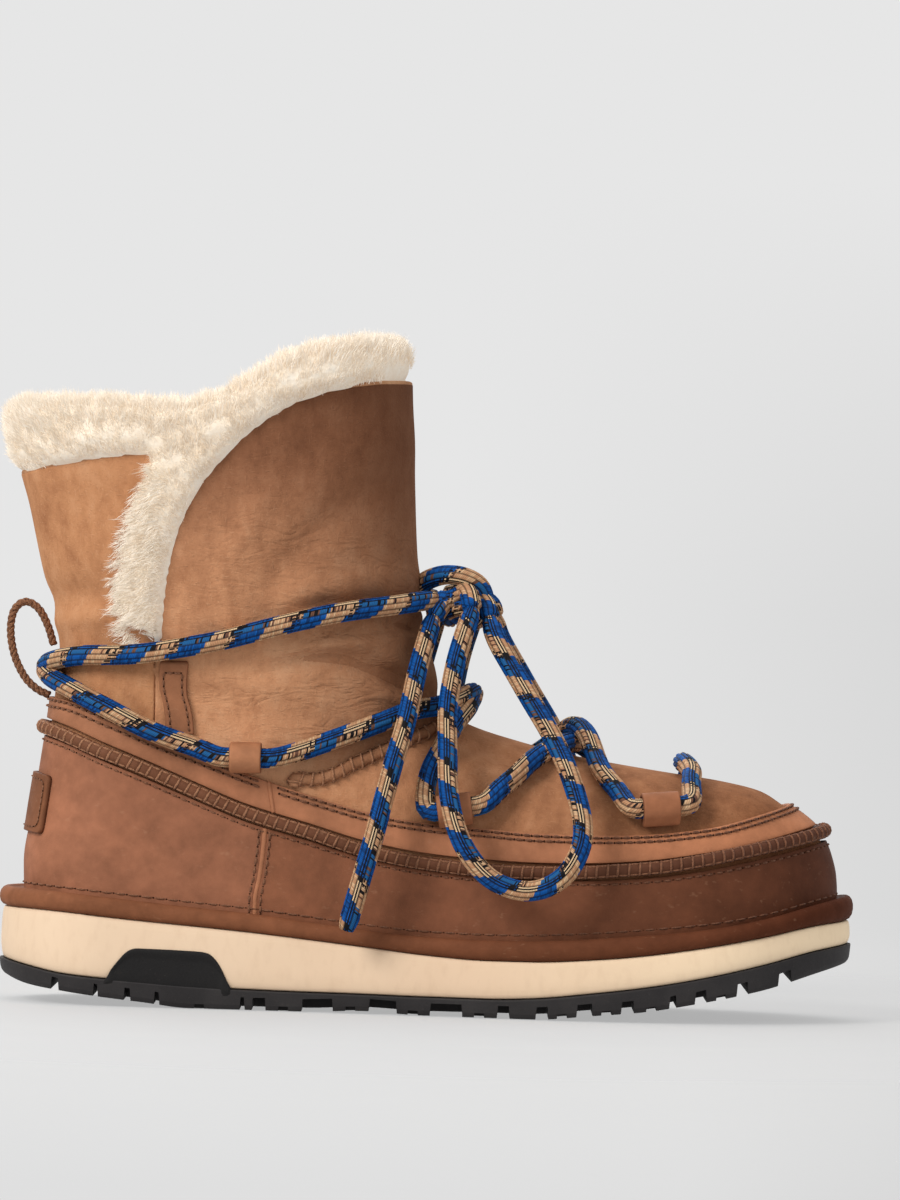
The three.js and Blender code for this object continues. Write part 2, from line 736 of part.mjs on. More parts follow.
// Guards, bands and the piping bead between them.
const pipingRadius = 2;
const pipingLift = pipingRadius + overlayLow;
const pipingClear = pipingRadius + gap + 0.6;
const overlayHigh = overlayLow + overlay;
const guardSeamX = -54;
const bandSeamX = -51;
const seamTurn = 0.0006;

function guardRings(turn) {
  const [x, , z] = wallPoint(turn, 1);
  const height = z - midsoleZ(x) - footLift;
  const top = 1 - pipingClear / height;
  return [0, 0.5 * top, top];
}

function bandRings(turn) {
  const low = formPoint(1, turn);
  const high = formPoint(2, turn);
  const width = Math.hypot(high[0] - low[0], high[1] - low[1], high[2] - low[2]);
  const start = 1 + pipingClear / width;
  return [start, 1.5, 2];
}

function buildHeelPanel(seamX, ringsOf) {
  const from = turnAt(seamX, false) - 1 + seamTurn;
  const to = turnAt(seamX, true) - seamTurn;
  return panel(from, to, ringsOf, overlayLow, overlayHigh);
}

function buildToePanel(seamX, ringsOf) {
  const from = turnAt(seamX, true) + seamTurn;
  const to = turnAt(seamX, false) - seamTurn;
  return panel(from, to, ringsOf, overlayLow, overlayHigh);
}

function buildPiping() {
  const sides = 6;
  const steps = around;
  const positions = [];
  const indices = [];
  const at = (j, k) => (j % steps) * sides + (k % sides);
  for (let j = 0; j < steps; j += 1) {
    const turn = j / steps;
    const p = formPoint(1, turn);
    const n = formNormal(1, turn);
    const ahead = formPoint(1, turn + 0.004);
    const along = new THREE.Vector3(ahead[0] - p[0], ahead[1] - p[1], ahead[2] - p[2]).normalize();
    const up = n.clone().cross(along);
    for (let k = 0; k < sides; k += 1) {
      const angle = (2 * Math.PI * (k + 0.5)) / sides;
      const out = pipingLift + pipingRadius * Math.cos(angle);
      const rise = pipingRadius * Math.sin(angle);
      positions.push(
        p[0] + n.x * out + up.x * rise,
        p[1] + n.y * out + up.y * rise,
        p[2] + n.z * out + up.z * rise,
      );
      indices.push(at(j, k), at(j + 1, k), at(j + 1, k + 1), at(j, k), at(j + 1, k + 1), at(j, k + 1));
    }
  }
  const geometry = new THREE.BufferGeometry();
  geometry.setAttribute('position', new THREE.Float32BufferAttribute(positions, 3));
  geometry.setIndex(indices);
  const solid = toSolid(geometry);
  if (solid.volume() > 0) return solid;
  geometry.setIndex(indices.reverse());
  return toSolid(geometry);
}

// Route over the surface: rows of x, z, side and lift become ring, turn and lift.
function routeOver(rows) {
  const route = [];
  for (const row of rows) {
    let stop;
    if (row.turn !== undefined) stop = { ring: row.ring, turn: row.turn };
    else stop = locate(row.x, row.z, row.outer === 1);
    if (route.length) {
      const last = route[route.length - 1][1];
      while (stop.turn - last > 0.5) stop.turn -= 1;
      while (last - stop.turn > 0.5) stop.turn += 1;
    }
    route.push([stop.ring, stop.turn, row.lift]);
  }
  return route;
}

function spline(points, t) {
  const last = points.length - 1;
  const scaled = clamp(t, 0, 1) * last;
  const i = Math.min(Math.floor(scaled), last - 1);
  const f = scaled - i;
  const p0 = points[Math.max(i - 1, 0)];
  const p1 = points[i];
  const p2 = points[i + 1];
  const p3 = points[Math.min(i + 2, last)];
  return p1.map((value, k) => 0.5 * (2 * value + (p2[k] - p0[k]) * f
    + (2 * p0[k] - 5 * value + 4 * p2[k] - p3[k]) * f * f
    + (3 * value - p0[k] - 3 * p2[k] + p3[k]) * f * f * f));
}

function routePoints(rows) {
  const route = routeOver(rows);
  const points = [];
  const steps = (route.length - 1) * 6;
  for (let i = 0; i <= steps; i += 1) {
    const [ring, turn, lift] = spline(route, i / steps);
    points.push(new THREE.Vector3(...liftedPoint(ring, turn, lift)));
  }
  return points;
}

// A cord's path that is sampled at its own stations, so that none is cut short on a bend.
class StationPath extends THREE.Curve {
  constructor(points) {
    super();
    this.rows = points.map((point) => point.toArray());
  }

  getPoint(t) {
    return new THREE.Vector3(...spline(this.rows, t));
  }

  getPointAt(t) {
    return this.getPoint(t);
  }

  getTangentAt(t) {
    return this.getTangent(t);
  }
}

function cordAlong(points, radius, sides) {
  const shape = new THREE.Shape();
  for (let k = 0; k < sides; k += 1) {
    const angle = (2 * Math.PI * k) / sides;
    const x = radius * Math.cos(angle);
    const y = radius * Math.sin(angle);
    if (k === 0) shape.moveTo(x, y);
    else shape.lineTo(x, y);
  }
  shape.closePath();
  const path = new StationPath(points);
  const steps = points.length - 1;
  return toSolid(new THREE.ExtrudeGeometry(shape, { steps, bevelEnabled: false, extrudePath: path }));
}

// Keeps the two end points and those at least the spacing apart between them.
function thinned(points, spacing) {
  const last = points[points.length - 1];
  const kept = [points[0]];
  for (const point of points) {
    const clear = point.distanceTo(kept[kept.length - 1]) >= spacing;
    if (clear && point.distanceTo(last) >= spacing * 0.6) kept.push(point);
  }
  kept.push(last);
  return kept;
}

// Whipped seam between vamp and shaft, from band to band over the instep.
const seamRows = [
  { x: -47.5, z: 77.2, outer: 1, lift: 0 },
  { x: -41, z: 76.4, outer: 1, lift: 0 },
  { x: -34, z: 77.6, outer: 1, lift: 0 },
  { x: -25.9, z: 81.9, outer: 1, lift: 0 },
  { x: -16.4, z: 86.4, outer: 1, lift: 0 },
  { x: -6.7, z: 91, outer: 1, lift: 0 },
  { x: 3, z: 95.6, outer: 1, lift: 0 },
  { ring: 9.5, turn: 0.5, lift: 0 },
  { x: 3, z: 95.6, outer: 0, lift: 0 },
  { x: -6.7, z: 91, outer: 0, lift: 0 },
  { x: -16.4, z: 86.4, outer: 0, lift: 0 },
  { x: -25.9, z: 81.9, outer: 0, lift: 0 },
  { x: -34, z: 77.6, outer: 0, lift: 0 },
  { x: -41, z: 76.4, outer: 0, lift: 0 },
  { x: -47.5, z: 77.2, outer: 0, lift: 0 },
];
const seamHalf = 2.2;
const seamHeight = 2.3;
const seamBase = 1.1;

function buildVampSeam() {
  const route = routeOver(seamRows);
  const steps = 40;
  const rows = [[], []];
  const base = [[], []];
  for (let i = 0; i <= steps; i += 1) {
    const t = i / steps;
    const [ring, turn] = spline(route, t);
    const ahead = spline(route, t + 0.004);
    const behind = spline(route, t - 0.004);
    const a = formPoint(ahead[0], ahead[1]);
    const b = formPoint(behind[0], behind[1]);
    const along = new THREE.Vector3(a[0] - b[0], a[1] - b[1], a[2] - b[2]).normalize();
    const across = formNormal(ring, turn).cross(along);
    const p = formPoint(ring, turn);
    const n = formNormal(ring, turn);
    for (const [k, side] of [[0, -1], [1, 1]]) {
      const reach = side * seamHalf;
      const centre = [p[0] + across.x * reach, p[1] + across.y * reach, p[2] + across.z * reach];
      const lift = (by) => [centre[0] + n.x * by, centre[1] + n.y * by, centre[2] + n.z * by];
      rows[k].push(lift(seamHeight));
      base[k].push(lift(seamBase));
    }
  }
  const ridgeRow = rows[0].map((p, i) => {
    const q = rows[1][i];
    const [ring, turn] = spline(route, i / steps);
    const n = formNormal(ring, turn);
    return [(p[0] + q[0]) / 2 + n.x * 0.6, (p[1] + q[1]) / 2 + n.y * 0.6, (p[2] + q[2]) / 2 + n.z * 0.6];
  });
  const baseRow = base[0].map((p, i) => p.map((value, k) => (value + base[1][i][k]) / 2));
  const solid = toSolid(bodyBetween([rows[0], ridgeRow, rows[1]], [base[0], baseRow, base[1]], false));
  return solid;
}

// Leather strip that closes the foot of each slit.
function buildSlitTab(onOuter) {
  const corners = [[-88.4, 90.8], [-78.6, 90.4], [-80.8, 114.6], [-90.2, 114.6]];
  const [a, b, c, d] = corners.map(([x, z]) => locate(x, z, onOuter));
  const rows = 3;
  const columns = 3;
  const high = [];
  const low = [];
  for (let i = 0; i <= rows; i += 1) {
    const highRow = [];
    const lowRow = [];
    for (let j = 0; j <= columns; j += 1) {
      const u = onOuter ? j / columns : 1 - j / columns;
      const v = i / rows;
      const ring = mix(mix(a.ring, b.ring, u), mix(d.ring, c.ring, u), v);
      const turn = mix(mix(a.turn, b.turn, u), mix(d.turn, c.turn, u), v);
      highRow.push(liftedPoint(ring, turn, overlayLow + 1.4));
      lowRow.push(liftedPoint(ring, turn, overlayLow));
    }
    high.push(highRow);
    low.push(lowRow);
  }
  return toSolid(bodyBetween(high, low, false));
}

// Lace tunnels: a leather loop standing on the band or just above it.
const tunnelGap = 0.4;
const tunnelWall = 1.2;
const tunnelBase = 2.3;
const tunnelLift = tunnelBase + tunnelWall + tunnelGap + laceRadius;
const suedeLift = laceRadius + 0.5;
const tabRows = [
  { name: 'ankle_tab', x: -61, z: 83.2, ahead: [-54.4, 83.2], length: 10.5 },
  { name: 'waist_tab', x: 8.6, z: 66, ahead: [15, 66.6], length: 11.5 },
  { name: 'toe_tab', x: 76, z: 66, ahead: [82.5, 66.4], length: 12.5 },
];

function tunnelFrame(row, onOuter) {
  const here = locate(row.x, row.z, onOuter);
  const next = locate(row.ahead[0], row.ahead[1], onOuter);
  const p = new THREE.Vector3(...liftedPoint(here.ring, here.turn, tunnelLift));
  const q = new THREE.Vector3(...liftedPoint(next.ring, next.turn, tunnelLift));
  const n = formNormal(here.ring, here.turn);
  const along = q.sub(p).normalize();
  const across = along.clone().cross(n).normalize();
  const up = across.clone().cross(along).normalize();
  return { p, along, across, up, half: row.length / 2 };
}

function buildTunnel(row, onOuter) {
  const { p, along, across, up } = tunnelFrame(row, onOuter);
  const inner = laceRadius + tunnelGap;
  const outer = inner + tunnelWall;
  const shape = new THREE.Shape();
  shape.moveTo(-outer - 0.6, -outer);
  shape.lineTo(outer + 0.6, -outer);
  shape.lineTo(outer, 0);
  for (let k = 1; k < 8; k += 1) {
    const angle = (Math.PI * k) / 8;
    shape.lineTo(outer * Math.cos(angle), outer * Math.sin(angle));
  }
  shape.lineTo(-outer, 0);
  shape.closePath();
  const hole = new THREE.Path();
  for (let k = 0; k < 12; k += 1) {
    const angle = (-2 * Math.PI * k) / 12;
    const reach = inner / Math.cos(Math.PI / 12);
    if (k === 0) hole.moveTo(reach, 0);
    else hole.lineTo(reach * Math.cos(angle), reach * Math.sin(angle));
  }
  hole.closePath();
  shape.holes.push(hole);
  const geometry = new THREE.ExtrudeGeometry(shape, { depth: row.length, bevelEnabled: false });
  geometry.translate(0, 0, -row.length / 2);
  const frame = new THREE.Matrix4().makeBasis(across.negate(), up, along);
  geometry.applyMatrix4(frame);
  geometry.translate(p.x, p.y, p.z);
  return toSolid(geometry);
}

// The lace: strands round the ankle, over the instep, crossed on the vamp and barred at the toe.
const low = tunnelLift;
const upperStrand = (outer) => [
  { x: -12.8, z: 135.3, outer, lift: suedeLift + 0.7 },
  { x: -27.2, z: 133.2, outer, lift: suedeLift },
  { x: -41.6, z: 130.2, outer, lift: suedeLift },
  { x: -56, z: 126.6, outer, lift: suedeLift },
  { x: -70.3, z: 122.6, outer, lift: suedeLift },
  { x: -84.7, z: 119.6, outer, lift: suedeLift + 0.6 },
  { x: -95, z: 117.2, outer, lift: suedeLift + 1.4 },
  { x: -107, z: 115.6, outer, lift: suedeLift + 0.8 },
  { x: -118, z: 114.6, outer, lift: suedeLift },
];
const lowerStrand = (outer) => [
  { x: -118, z: 104.2, outer, lift: suedeLift },
  { x: -108.1, z: 98.9, outer, lift: suedeLift + 0.3 },
  { x: -98.4, z: 93.9, outer, lift: suedeLift + 1.5 },
  { x: -88.6, z: 89.6, outer, lift: suedeLift + 1.6 },
  { x: -78.9, z: 86.7, outer, lift: suedeLift + 1.7 },
  { x: -69.2, z: 84.2, outer, lift: low - 0.3 },
  { x: -61, z: 83.2, outer, lift: low },
];
const overInstep = (outer) => [
  { x: -61, z: 83.2, outer, lift: low },
  { x: -53, z: 83.4, outer, lift: low - 0.3 },
  { x: -43, z: 85.8, outer, lift: suedeLift + 1 },
  { x: -34, z: 89.2, outer, lift: suedeLift + 0.3 },
  { x: -25, z: 92.6, outer, lift: suedeLift + 0.4 },
  { x: -16.5, z: 96.2, outer, lift: suedeLift + 0.6 },
  { x: -6.9, z: 99.4, outer, lift: suedeLift + 2 },
];
const instepDown = (outer) => [
  { x: 5.5, z: 91.5, outer, lift: suedeLift + 2.4 },
  { x: 2, z: 84, outer, lift: suedeLift + 0.6 },
  { x: -1.6, z: 76, outer, lift: suedeLift + 0.8 },
  { x: -2.6, z: 69.6, outer, lift: low - 0.4 },
  { x: 2, z: 66.2, outer, lift: low },
  { x: 8.6, z: 66, outer, lift: low },
];
const overVamp = (outer) => [
  { x: 8.6, z: 66, outer, lift: low },
  { x: 14.8, z: 67, outer, lift: low },
  { x: 21.9, z: 71.7, outer, lift: suedeLift + 1.4 },
  { x: 30, z: 78.6, outer, lift: suedeLift + 0.2 },
  { x: 37.3, z: 84, outer, lift: suedeLift + 0.5 },
];
const downToToe = (outer) => [
  { x: 55.3, z: 80.2, outer, lift: suedeLift + 0.4 },
  { x: 61.8, z: 73, outer, lift: suedeLift + 0.2 },
  { x: 67.6, z: 67.2, outer, lift: low - 0.6 },
  { x: 72, z: 66, outer, lift: low },
  { x: 76, z: 66, outer, lift: low },
];
const toeBar = (outer) => [
  { x: 76, z: 66, outer, lift: low },
  { x: 82, z: 66.6, outer, lift: low },
  { x: 86.4, z: 70.2, outer, lift: suedeLift + 1.2 },
  { x: 86.4, z: 75.6, outer, lift: suedeLift + 0.5 },
];
const backwards = (rows) => rows.slice().reverse();
const heelCross = [{ ring: 8.1, turn: 0, lift: suedeLift + 0.6 }];
const instepCross = [{ ring: 9.5, turn: 0.5, lift: suedeLift + 4 }];
const vampCross = [{ ring: 6.95, turn: 0.5, lift: suedeLift + 0.7 }];
const toeTop = [{ ring: 4.8, turn: 0.5, lift: suedeLift + 0.6 }];

// Each stretch of lace with the tunnels, by number and side, that its two ends stop in.
function laceStretches() {
  const crossDown = [...overVamp(1), ...vampCross, ...downToToe(0)];
  const crossBack = [...backwards(downToToe(1)), ...vampCross, ...backwards(overVamp(0))];
  const instepIn = [...overInstep(0), ...instepCross, ...instepDown(1)];
  const instepOut = [...backwards(instepDown(0)), ...instepCross, ...backwards(overInstep(1))];
  const roundHeel = [...upperStrand(1), ...heelCross, ...lowerStrand(0)];
  const heelBack = [...backwards(lowerStrand(1)), ...heelCross, ...backwards(upperStrand(0))];
  const bar = [...toeBar(0), ...toeTop, ...backwards(toeBar(1))];
  return [
    { rows: roundHeel, start: [0.1, -11, 137.2], to: [0, 0] },
    { rows: instepIn, from: [0, 0], to: [1, 1] },
    { rows: crossDown, from: [1, 1], to: [2, 0] },
    { rows: bar, from: [2, 0], to: [2, 1] },
    { rows: crossBack, from: [2, 1], to: [1, 0] },
    { rows: instepOut, from: [1, 0], to: [0, 1] },
    { rows: heelBack, from: [0, 1], end: [0.1, 6.8, 138] },
  ];
}

// Straight stations from just outside a tunnel to its middle, on the side a point lies.
function tunnelStations([number, side], point) {
  const { p, along, half } = tunnelFrame(tabRows[number], side === 1);
  const sign = point.clone().sub(p).dot(along) > 0 ? 1 : -1;
  return [half + 4.5, half + 1, -0.5].map((reach) => p.clone().addScaledVector(along, sign * reach));
}

function outsideTunnel(points, [number, side]) {
  const { p, half } = tunnelFrame(tabRows[number], side === 1);
  return points.filter((point) => point.distanceTo(p) > half + 8.5);
}

const laceSpacing = 11;

function buildLace() {
  const tubes = laceStretches().map(({ rows, from, to, start, end }) => {
    let points = routePoints(rows);
    if (to) points = outsideTunnel(points, to);
    if (from) points = outsideTunnel(points, from);
    points = thinned(points, laceSpacing);
    const head = from ? tunnelStations(from, points[0]).reverse() : [];
    const tail = to ? tunnelStations(to, points[points.length - 1]) : [];
    if (start) head.push(new THREE.Vector3(...start));
    if (end) tail.push(new THREE.Vector3(...end));
    return cordAlong([...head, ...points, ...tail], laceRadius, 8);
  });
  return joined(tubes);
}

// Bow: knot, two hanging loops and two ends, each a cord of its own.
const knotAt = [9.2, -2, 139];

function buildKnot() {
  const core = new THREE.SphereGeometry(1, 12, 8);
  core.scale(8.2, 8.8, 7.8);
  core.translate(...knotAt);
  const wrap = cordAlong([
    new THREE.Vector3(2.5, -8, 133.5),
    new THREE.Vector3(9, -10.5, 136),
    new THREE.Vector3(14.5, -7, 140),
    new THREE.Vector3(15.2, 0, 142),
    new THREE.Vector3(10.5, 6, 144.5),
  ], laceRadius, 8);
  return toSolid(core).add(wrap);
}

const loopRows = [
  { x: 12.5, y: -15.5, z: 134.2 },
  { x: 10.5, y: -19.5, z: 127.5 },
  { x: 8, y: -23, z: 119 },
  { x: 6.3, y: -27, z: 110.1 },
  { x: 5.1, y: -32, z: 100.1 },
  { x: 5.6, y: -38.5, z: 87.6 },
  { x: 5.9, y: -45, z: 77.1 },
  { x: 7.7, y: -51, z: 66.7 },
  { x: 11.7, y: -54.5, z: 56.3 },
  { x: 19.3, y: -55.5, z: 47.1 },
  { x: 27.8, y: -56, z: 43.1 },
  { x: 36.1, y: -57, z: 42.8 },
  { x: 44.4, y: -57.5, z: 47.2 },
  { x: 49.4, y: -56.5, z: 55.2 },
  { x: 50.8, y: -53, z: 63.6 },
  { x: 48.3, y: -48, z: 74 },
  { x: 44.4, y: -41, z: 84.4 },
  { x: 38.9, y: -34, z: 94.8 },
  { x: 32.3, y: -28, z: 105.1 },
  { x: 26, y: -22, z: 115.4 },
  { x: 20.5, y: -16.5, z: 124.5 },
  { x: 18.5, y: -11.5, z: 131 },
];
const endRows = [
  { x: -0.6, y: -14.8, z: 130.8 },
  { x: -3, y: -22, z: 122 },
  { x: -5.3, y: -27, z: 112.9 },
  { x: -7, y: -32.5, z: 103.7 },
  { x: -8.8, y: -37, z: 94.6 },
  { x: -12.3, y: -43.5, z: 82.5 },
  { x: -15.7, y: -48, z: 68 },
  { x: -18.2, y: -50, z: 57.2 },
  { x: -20.9, y: -50.5, z: 47.5 },
  { x: -24.3, y: -50, z: 34.5 },
  { x: -26.1, y: -49, z: 28 },
];
const innerShift = 3;
const innerLoopPull = 8;
const innerEndPull = 4.6;

function cordPoints(rows, side, most) {
  return rows.map(({ x, y, z }) => {
    if (side < 0) return new THREE.Vector3(x, y, z);
    const pull = most * smooth(z, 95, 130);
    return new THREE.Vector3(x + innerShift * 0.5, -y - pull, z + innerShift * 0.3);
  });
}

function buildCord(rows, side, most) {
  const points = cordPoints(rows, side, most);
  return cordAlong(points, laceRadius, 8);
}

// Loop of cord at the heel that the lace passes through.
const pullRows = [
  [-127.4, 118.6],
  [-129.4, 124.6],
  [-132.2, 129.8],
  [-135.6, 132.4],
  [-138.6, 132.2],
  [-141, 129.4],
  [-141.9, 124.6],
  [-141.4, 118.6],
  [-139.6, 112.6],
  [-136.4, 107],
  [-132.4, 103.4],
  [-128.4, 101.6],
];
const pullRadius = 1.35;

function buildPullLoop() {
  const points = pullRows.map(([x, z]) => new THREE.Vector3(x, 0, z));
  return cordAlong(points, pullRadius, 8);
}

function buildHeelPatch() {
  const reach = 0.045;
  const ringsOf = () => [0.385, 0.56, 0.735];
  return panel(-reach, reach, ringsOf, overlayHigh + 2 * gap, overlayHigh + 2 * gap + 1.3);
}

// Shearling lining that stands above the collar, fills the slits and folds over the rear panel.
const woolClear = 0.5;
const woolTopRows = [
  { x: -150, ring: 16.95 },
  { x: -110, ring: 17.05 },
  { x: -88, ring: 17.0 },
  { x: -74, ring: 17.15 },
  { x: -62, ring: 17.42 },
  { x: -50, ring: 17.66 },
  { x: -30, ring: 17.83 },
  { x: -5, ring: 17.86 },
];
const woolTop = curveThrough(woolTopRows, 'x', 'ring');
const woolFootRing = 9.45;
const woolThick = 9;
const woolLevels = [0, 0.25, 0.48, 0.68, 0.84, 0.95, 1];

function insideOpening(x, z) {
  const rear = rearEdge.slice().reverse();
  const outlinePoints = [[-91.5, slitFootZ], ...rear, [-200, 300], [60, 300], ...flapEdge.slice().reverse()];
  let inside = false;
  for (let i = 0, j = outlinePoints.length - 1; i < outlinePoints.length; j = i, i += 1) {
    const [ax, az] = outlinePoints[i];
    const [bx, bz] = outlinePoints[j];
    if (az > z !== bz > z && x < ((bx - ax) * (z - az)) / (bz - az) + ax) inside = !inside;
  }
  return inside;
}

function woolLift(x, z) {
  const hidden = -wall - woolClear - 1;
  const edge = Math.min(distanceTo(flapEdge, x, z), distanceTo(rearEdge, x, z));
  if (insideOpening(x, z)) return mix(0.6, 4.2, smooth(edge, 0, 9));
  const nearSlit = x < -90 && x > -108 && z > 122 && z < 184;
  if (nearSlit) return mix(hidden, mix(4.4, -1.5, smooth(Math.abs(x + 93), 4, 16)), smooth(z, 122, 133));
  return hidden;
}

function buildWool(grownUpper) {
  const columns = around;
  const outer = [];
  const inner = [];
  for (const level of woolLevels) {
    const outerRow = [];
    const innerRow = [];
    for (let j = 0; j < columns; j += 1) {
      const turn = j / columns;
      const nearX = formPoint(17, turn)[0];
      const ring = mix(woolFootRing, woolTop(nearX), level);
      const [x, , z] = formPoint(ring, turn);
      const crown = level > 0.9 ? (level - 0.9) * 10 : 0;
      const lump = 0.9 * Math.sin(j * 2.4 + level * 9) * level;
      const lift = woolLift(x, z) + (woolLift(x, z) > -1 ? lump : 0) - crown * 3.2;
      outerRow.push(liftedPoint(ring, turn, lift));
      innerRow.push(liftedPoint(ring, turn, -wall - gap - woolThick + crown * 3 + lump * 0.5));
    }
    outer.push(outerRow);
    inner.push(innerRow);
  }
  let wool = toSolid(bodyBetween(outer, inner, true));
  const locks = [];
  const lockCount = 20;
  for (let k = 0; k < lockCount; k += 1) {
    const turn = (k + 0.35 * Math.sin(k * 5.1)) / lockCount;
    const nearX = formPoint(17, turn)[0];
    const ring = woolTop(nearX) - 0.05 - 0.05 * (k % 3);
    const lock = new THREE.IcosahedronGeometry(1, 0);
    lock.scale(5.6 + (k % 2), 4.8 + (k % 3) * 0.6, 5.2 + (k % 4) * 0.8);
    lock.rotateZ(k * 1.7);
    lock.translate(...liftedPoint(ring, turn, -1.5 - (k % 4) * 2));
    locks.push(toSolid(lock));
  }
  wool = wool.add(joined(locks)).subtract(grownUpper);
  const pieces = wool.decompose();
  pieces.sort((a, b) => b.volume() - a.volume());
  return pieces[0].simplify(0.12);
}

const boot = new THREE.Group();
boot.name = 'ankle_boot';
const originShift = [2.36, -1.25, 0];

function addPart(name, solid, colour, roughness) {
  const material = new THREE.MeshStandardMaterial({ color: colour, roughness, metalness: 0 });
  const geometry = toGeometry(solid);
  geometry.translate(...originShift);
  const mesh = new THREE.Mesh(geometry, material);
  mesh.name = name;
  boot.add(mesh);
}

const grownUpper = upperBlank(woolClear, -wall - woolClear).subtract(openingPlate(woolClear));

addPart('outsole', buildOutsole(), 0x1f1d1d, 0.8);
addPart('midsole', buildMidsole(), 0xe6caad, 0.75);
addPart('welt', buildWelt(), 0x7d5139, 0.55);
addPart('insole', buildInsole(), 0xb89a78, 0.9);
addPart('upper', buildUpper(), 0xb98560, 0.95);
addPart('wool_lining', buildWool(grownUpper), 0xeadbc4, 1);
addPart('heel_guard', buildHeelPanel(guardSeamX, guardRings), 0x9a6a4c, 0.55);
addPart('toe_guard', buildToePanel(guardSeamX, guardRings), 0x6f452f, 0.5);
addPart('heel_band', buildHeelPanel(bandSeamX, bandRings), 0x8a5c49, 0.55);
addPart('toe_band', buildToePanel(bandSeamX, bandRings), 0x7a5641, 0.5);
addPart('piping', buildPiping(), 0x4e3a34, 0.6);
addPart('vamp_seam', buildVampSeam(), 0xb58a62, 0.8);
addPart('slit_tab_outer', buildSlitTab(true), 0x8f6146, 0.6);
addPart('slit_tab_inner', buildSlitTab(false), 0x8f6146, 0.6);
for (const row of tabRows) {
  addPart(`${row.name}_outer`, buildTunnel(row, true), 0x8a5c42, 0.6);
  addPart(`${row.name}_inner`, buildTunnel(row, false), 0x8a5c42, 0.6);
}
addPart('pull_loop', buildPullLoop(), 0xa87c58, 0.8);
addPart('heel_patch', buildHeelPatch(), 0x885b3f, 0.6);
addPart('lace', buildLace(), 0x5a5560, 0.85);
addPart('lace_knot', buildKnot(), 0x5a5560, 0.85);
addPart('lace_loop_outer', buildCord(loopRows, -1, 0), 0x5a5560, 0.85);
addPart('lace_loop_inner', buildCord(loopRows, 1, innerLoopPull), 0x5a5560, 0.85);
addPart('lace_end_outer', buildCord(endRows, -1, 0), 0x5a5560, 0.85);
addPart('lace_end_inner', buildCord(endRows, 1, innerEndPull), 0x5a5560, 0.85);

export default boot;
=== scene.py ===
import math

import bpy
import numpy as np
from mathutils import Matrix, Vector


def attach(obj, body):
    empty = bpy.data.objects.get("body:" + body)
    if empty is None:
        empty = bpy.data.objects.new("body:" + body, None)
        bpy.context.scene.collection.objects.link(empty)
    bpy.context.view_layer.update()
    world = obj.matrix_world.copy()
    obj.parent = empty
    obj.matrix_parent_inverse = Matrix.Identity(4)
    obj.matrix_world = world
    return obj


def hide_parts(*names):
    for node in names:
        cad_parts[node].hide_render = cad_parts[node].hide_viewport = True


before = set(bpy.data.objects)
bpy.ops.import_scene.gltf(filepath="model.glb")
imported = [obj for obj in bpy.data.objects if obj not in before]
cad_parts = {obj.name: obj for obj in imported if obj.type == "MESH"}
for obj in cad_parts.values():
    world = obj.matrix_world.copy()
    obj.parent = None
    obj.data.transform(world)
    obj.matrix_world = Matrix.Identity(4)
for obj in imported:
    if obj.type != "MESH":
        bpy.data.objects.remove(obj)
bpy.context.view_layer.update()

# Lengths are millimetres in the part's own frame before its origin shift; meshes are written in metres.
# +X runs to the toe, +Z is up, -Y is the outer side of a right boot.
ORIGIN_SHIFT = np.array([2.36, -1.25, 0.0])
SOLE_LENGTH = 286.0
HEEL_X = -143.0
WALL = 2.6
OVERLAY = 1.3
OVERLAY_LOW = 0.45
OVERLAY_HIGH = OVERLAY + OVERLAY_LOW
FEATHER_INSET = 7.6
LACE_RADIUS = 3.35
RANDOM = np.random.default_rng(7)


# Curves and small helpers
def columns(names, rows):
    table = np.array(rows, float)
    return {name: table[:, k] for k, name in enumerate(names.split())}


def curve_through(table, in_key, out_key):
    """Smooth curve through the rows that never overshoots; it runs on straight past both ends."""
    xs, ys = table[in_key], table[out_key]
    slopes = np.diff(ys) / np.diff(xs)
    tangents = np.empty(len(xs))
    tangents[0], tangents[-1] = slopes[0], slopes[-1]
    for i in range(1, len(xs) - 1):
        product = slopes[i - 1] * slopes[i]
        tangents[i] = 0 if product <= 0 else 2 * product / (slopes[i - 1] + slopes[i])

    def value(x):
        x = np.asarray(x, float)
        i = np.clip(np.searchsorted(xs, x) - 1, 0, len(xs) - 2)
        span = xs[i + 1] - xs[i]
        t = np.clip((x - xs[i]) / span, 0, 1)
        rise = ys[i] * (1 + 2 * t) * (1 - t) ** 2 + ys[i + 1] * t * t * (3 - 2 * t)
        inside = rise + span * (tangents[i] * t * (1 - t) ** 2 - tangents[i + 1] * t * t * (1 - t))
        past = np.minimum(x - xs[0], 0) * tangents[0] + np.maximum(x - xs[-1], 0) * tangents[-1]
        return inside + past

    return value


def mix(a, b, t):
    return a + (b - a) * t


def smooth(value, low, high):
    t = np.clip((np.asarray(value, float) - low) / (high - low), 0, 1)
    return t * t * (3 - 2 * t)


def unit(v):
    return v / np.maximum(1e-9, np.linalg.norm(v, axis=-1, keepdims=True))


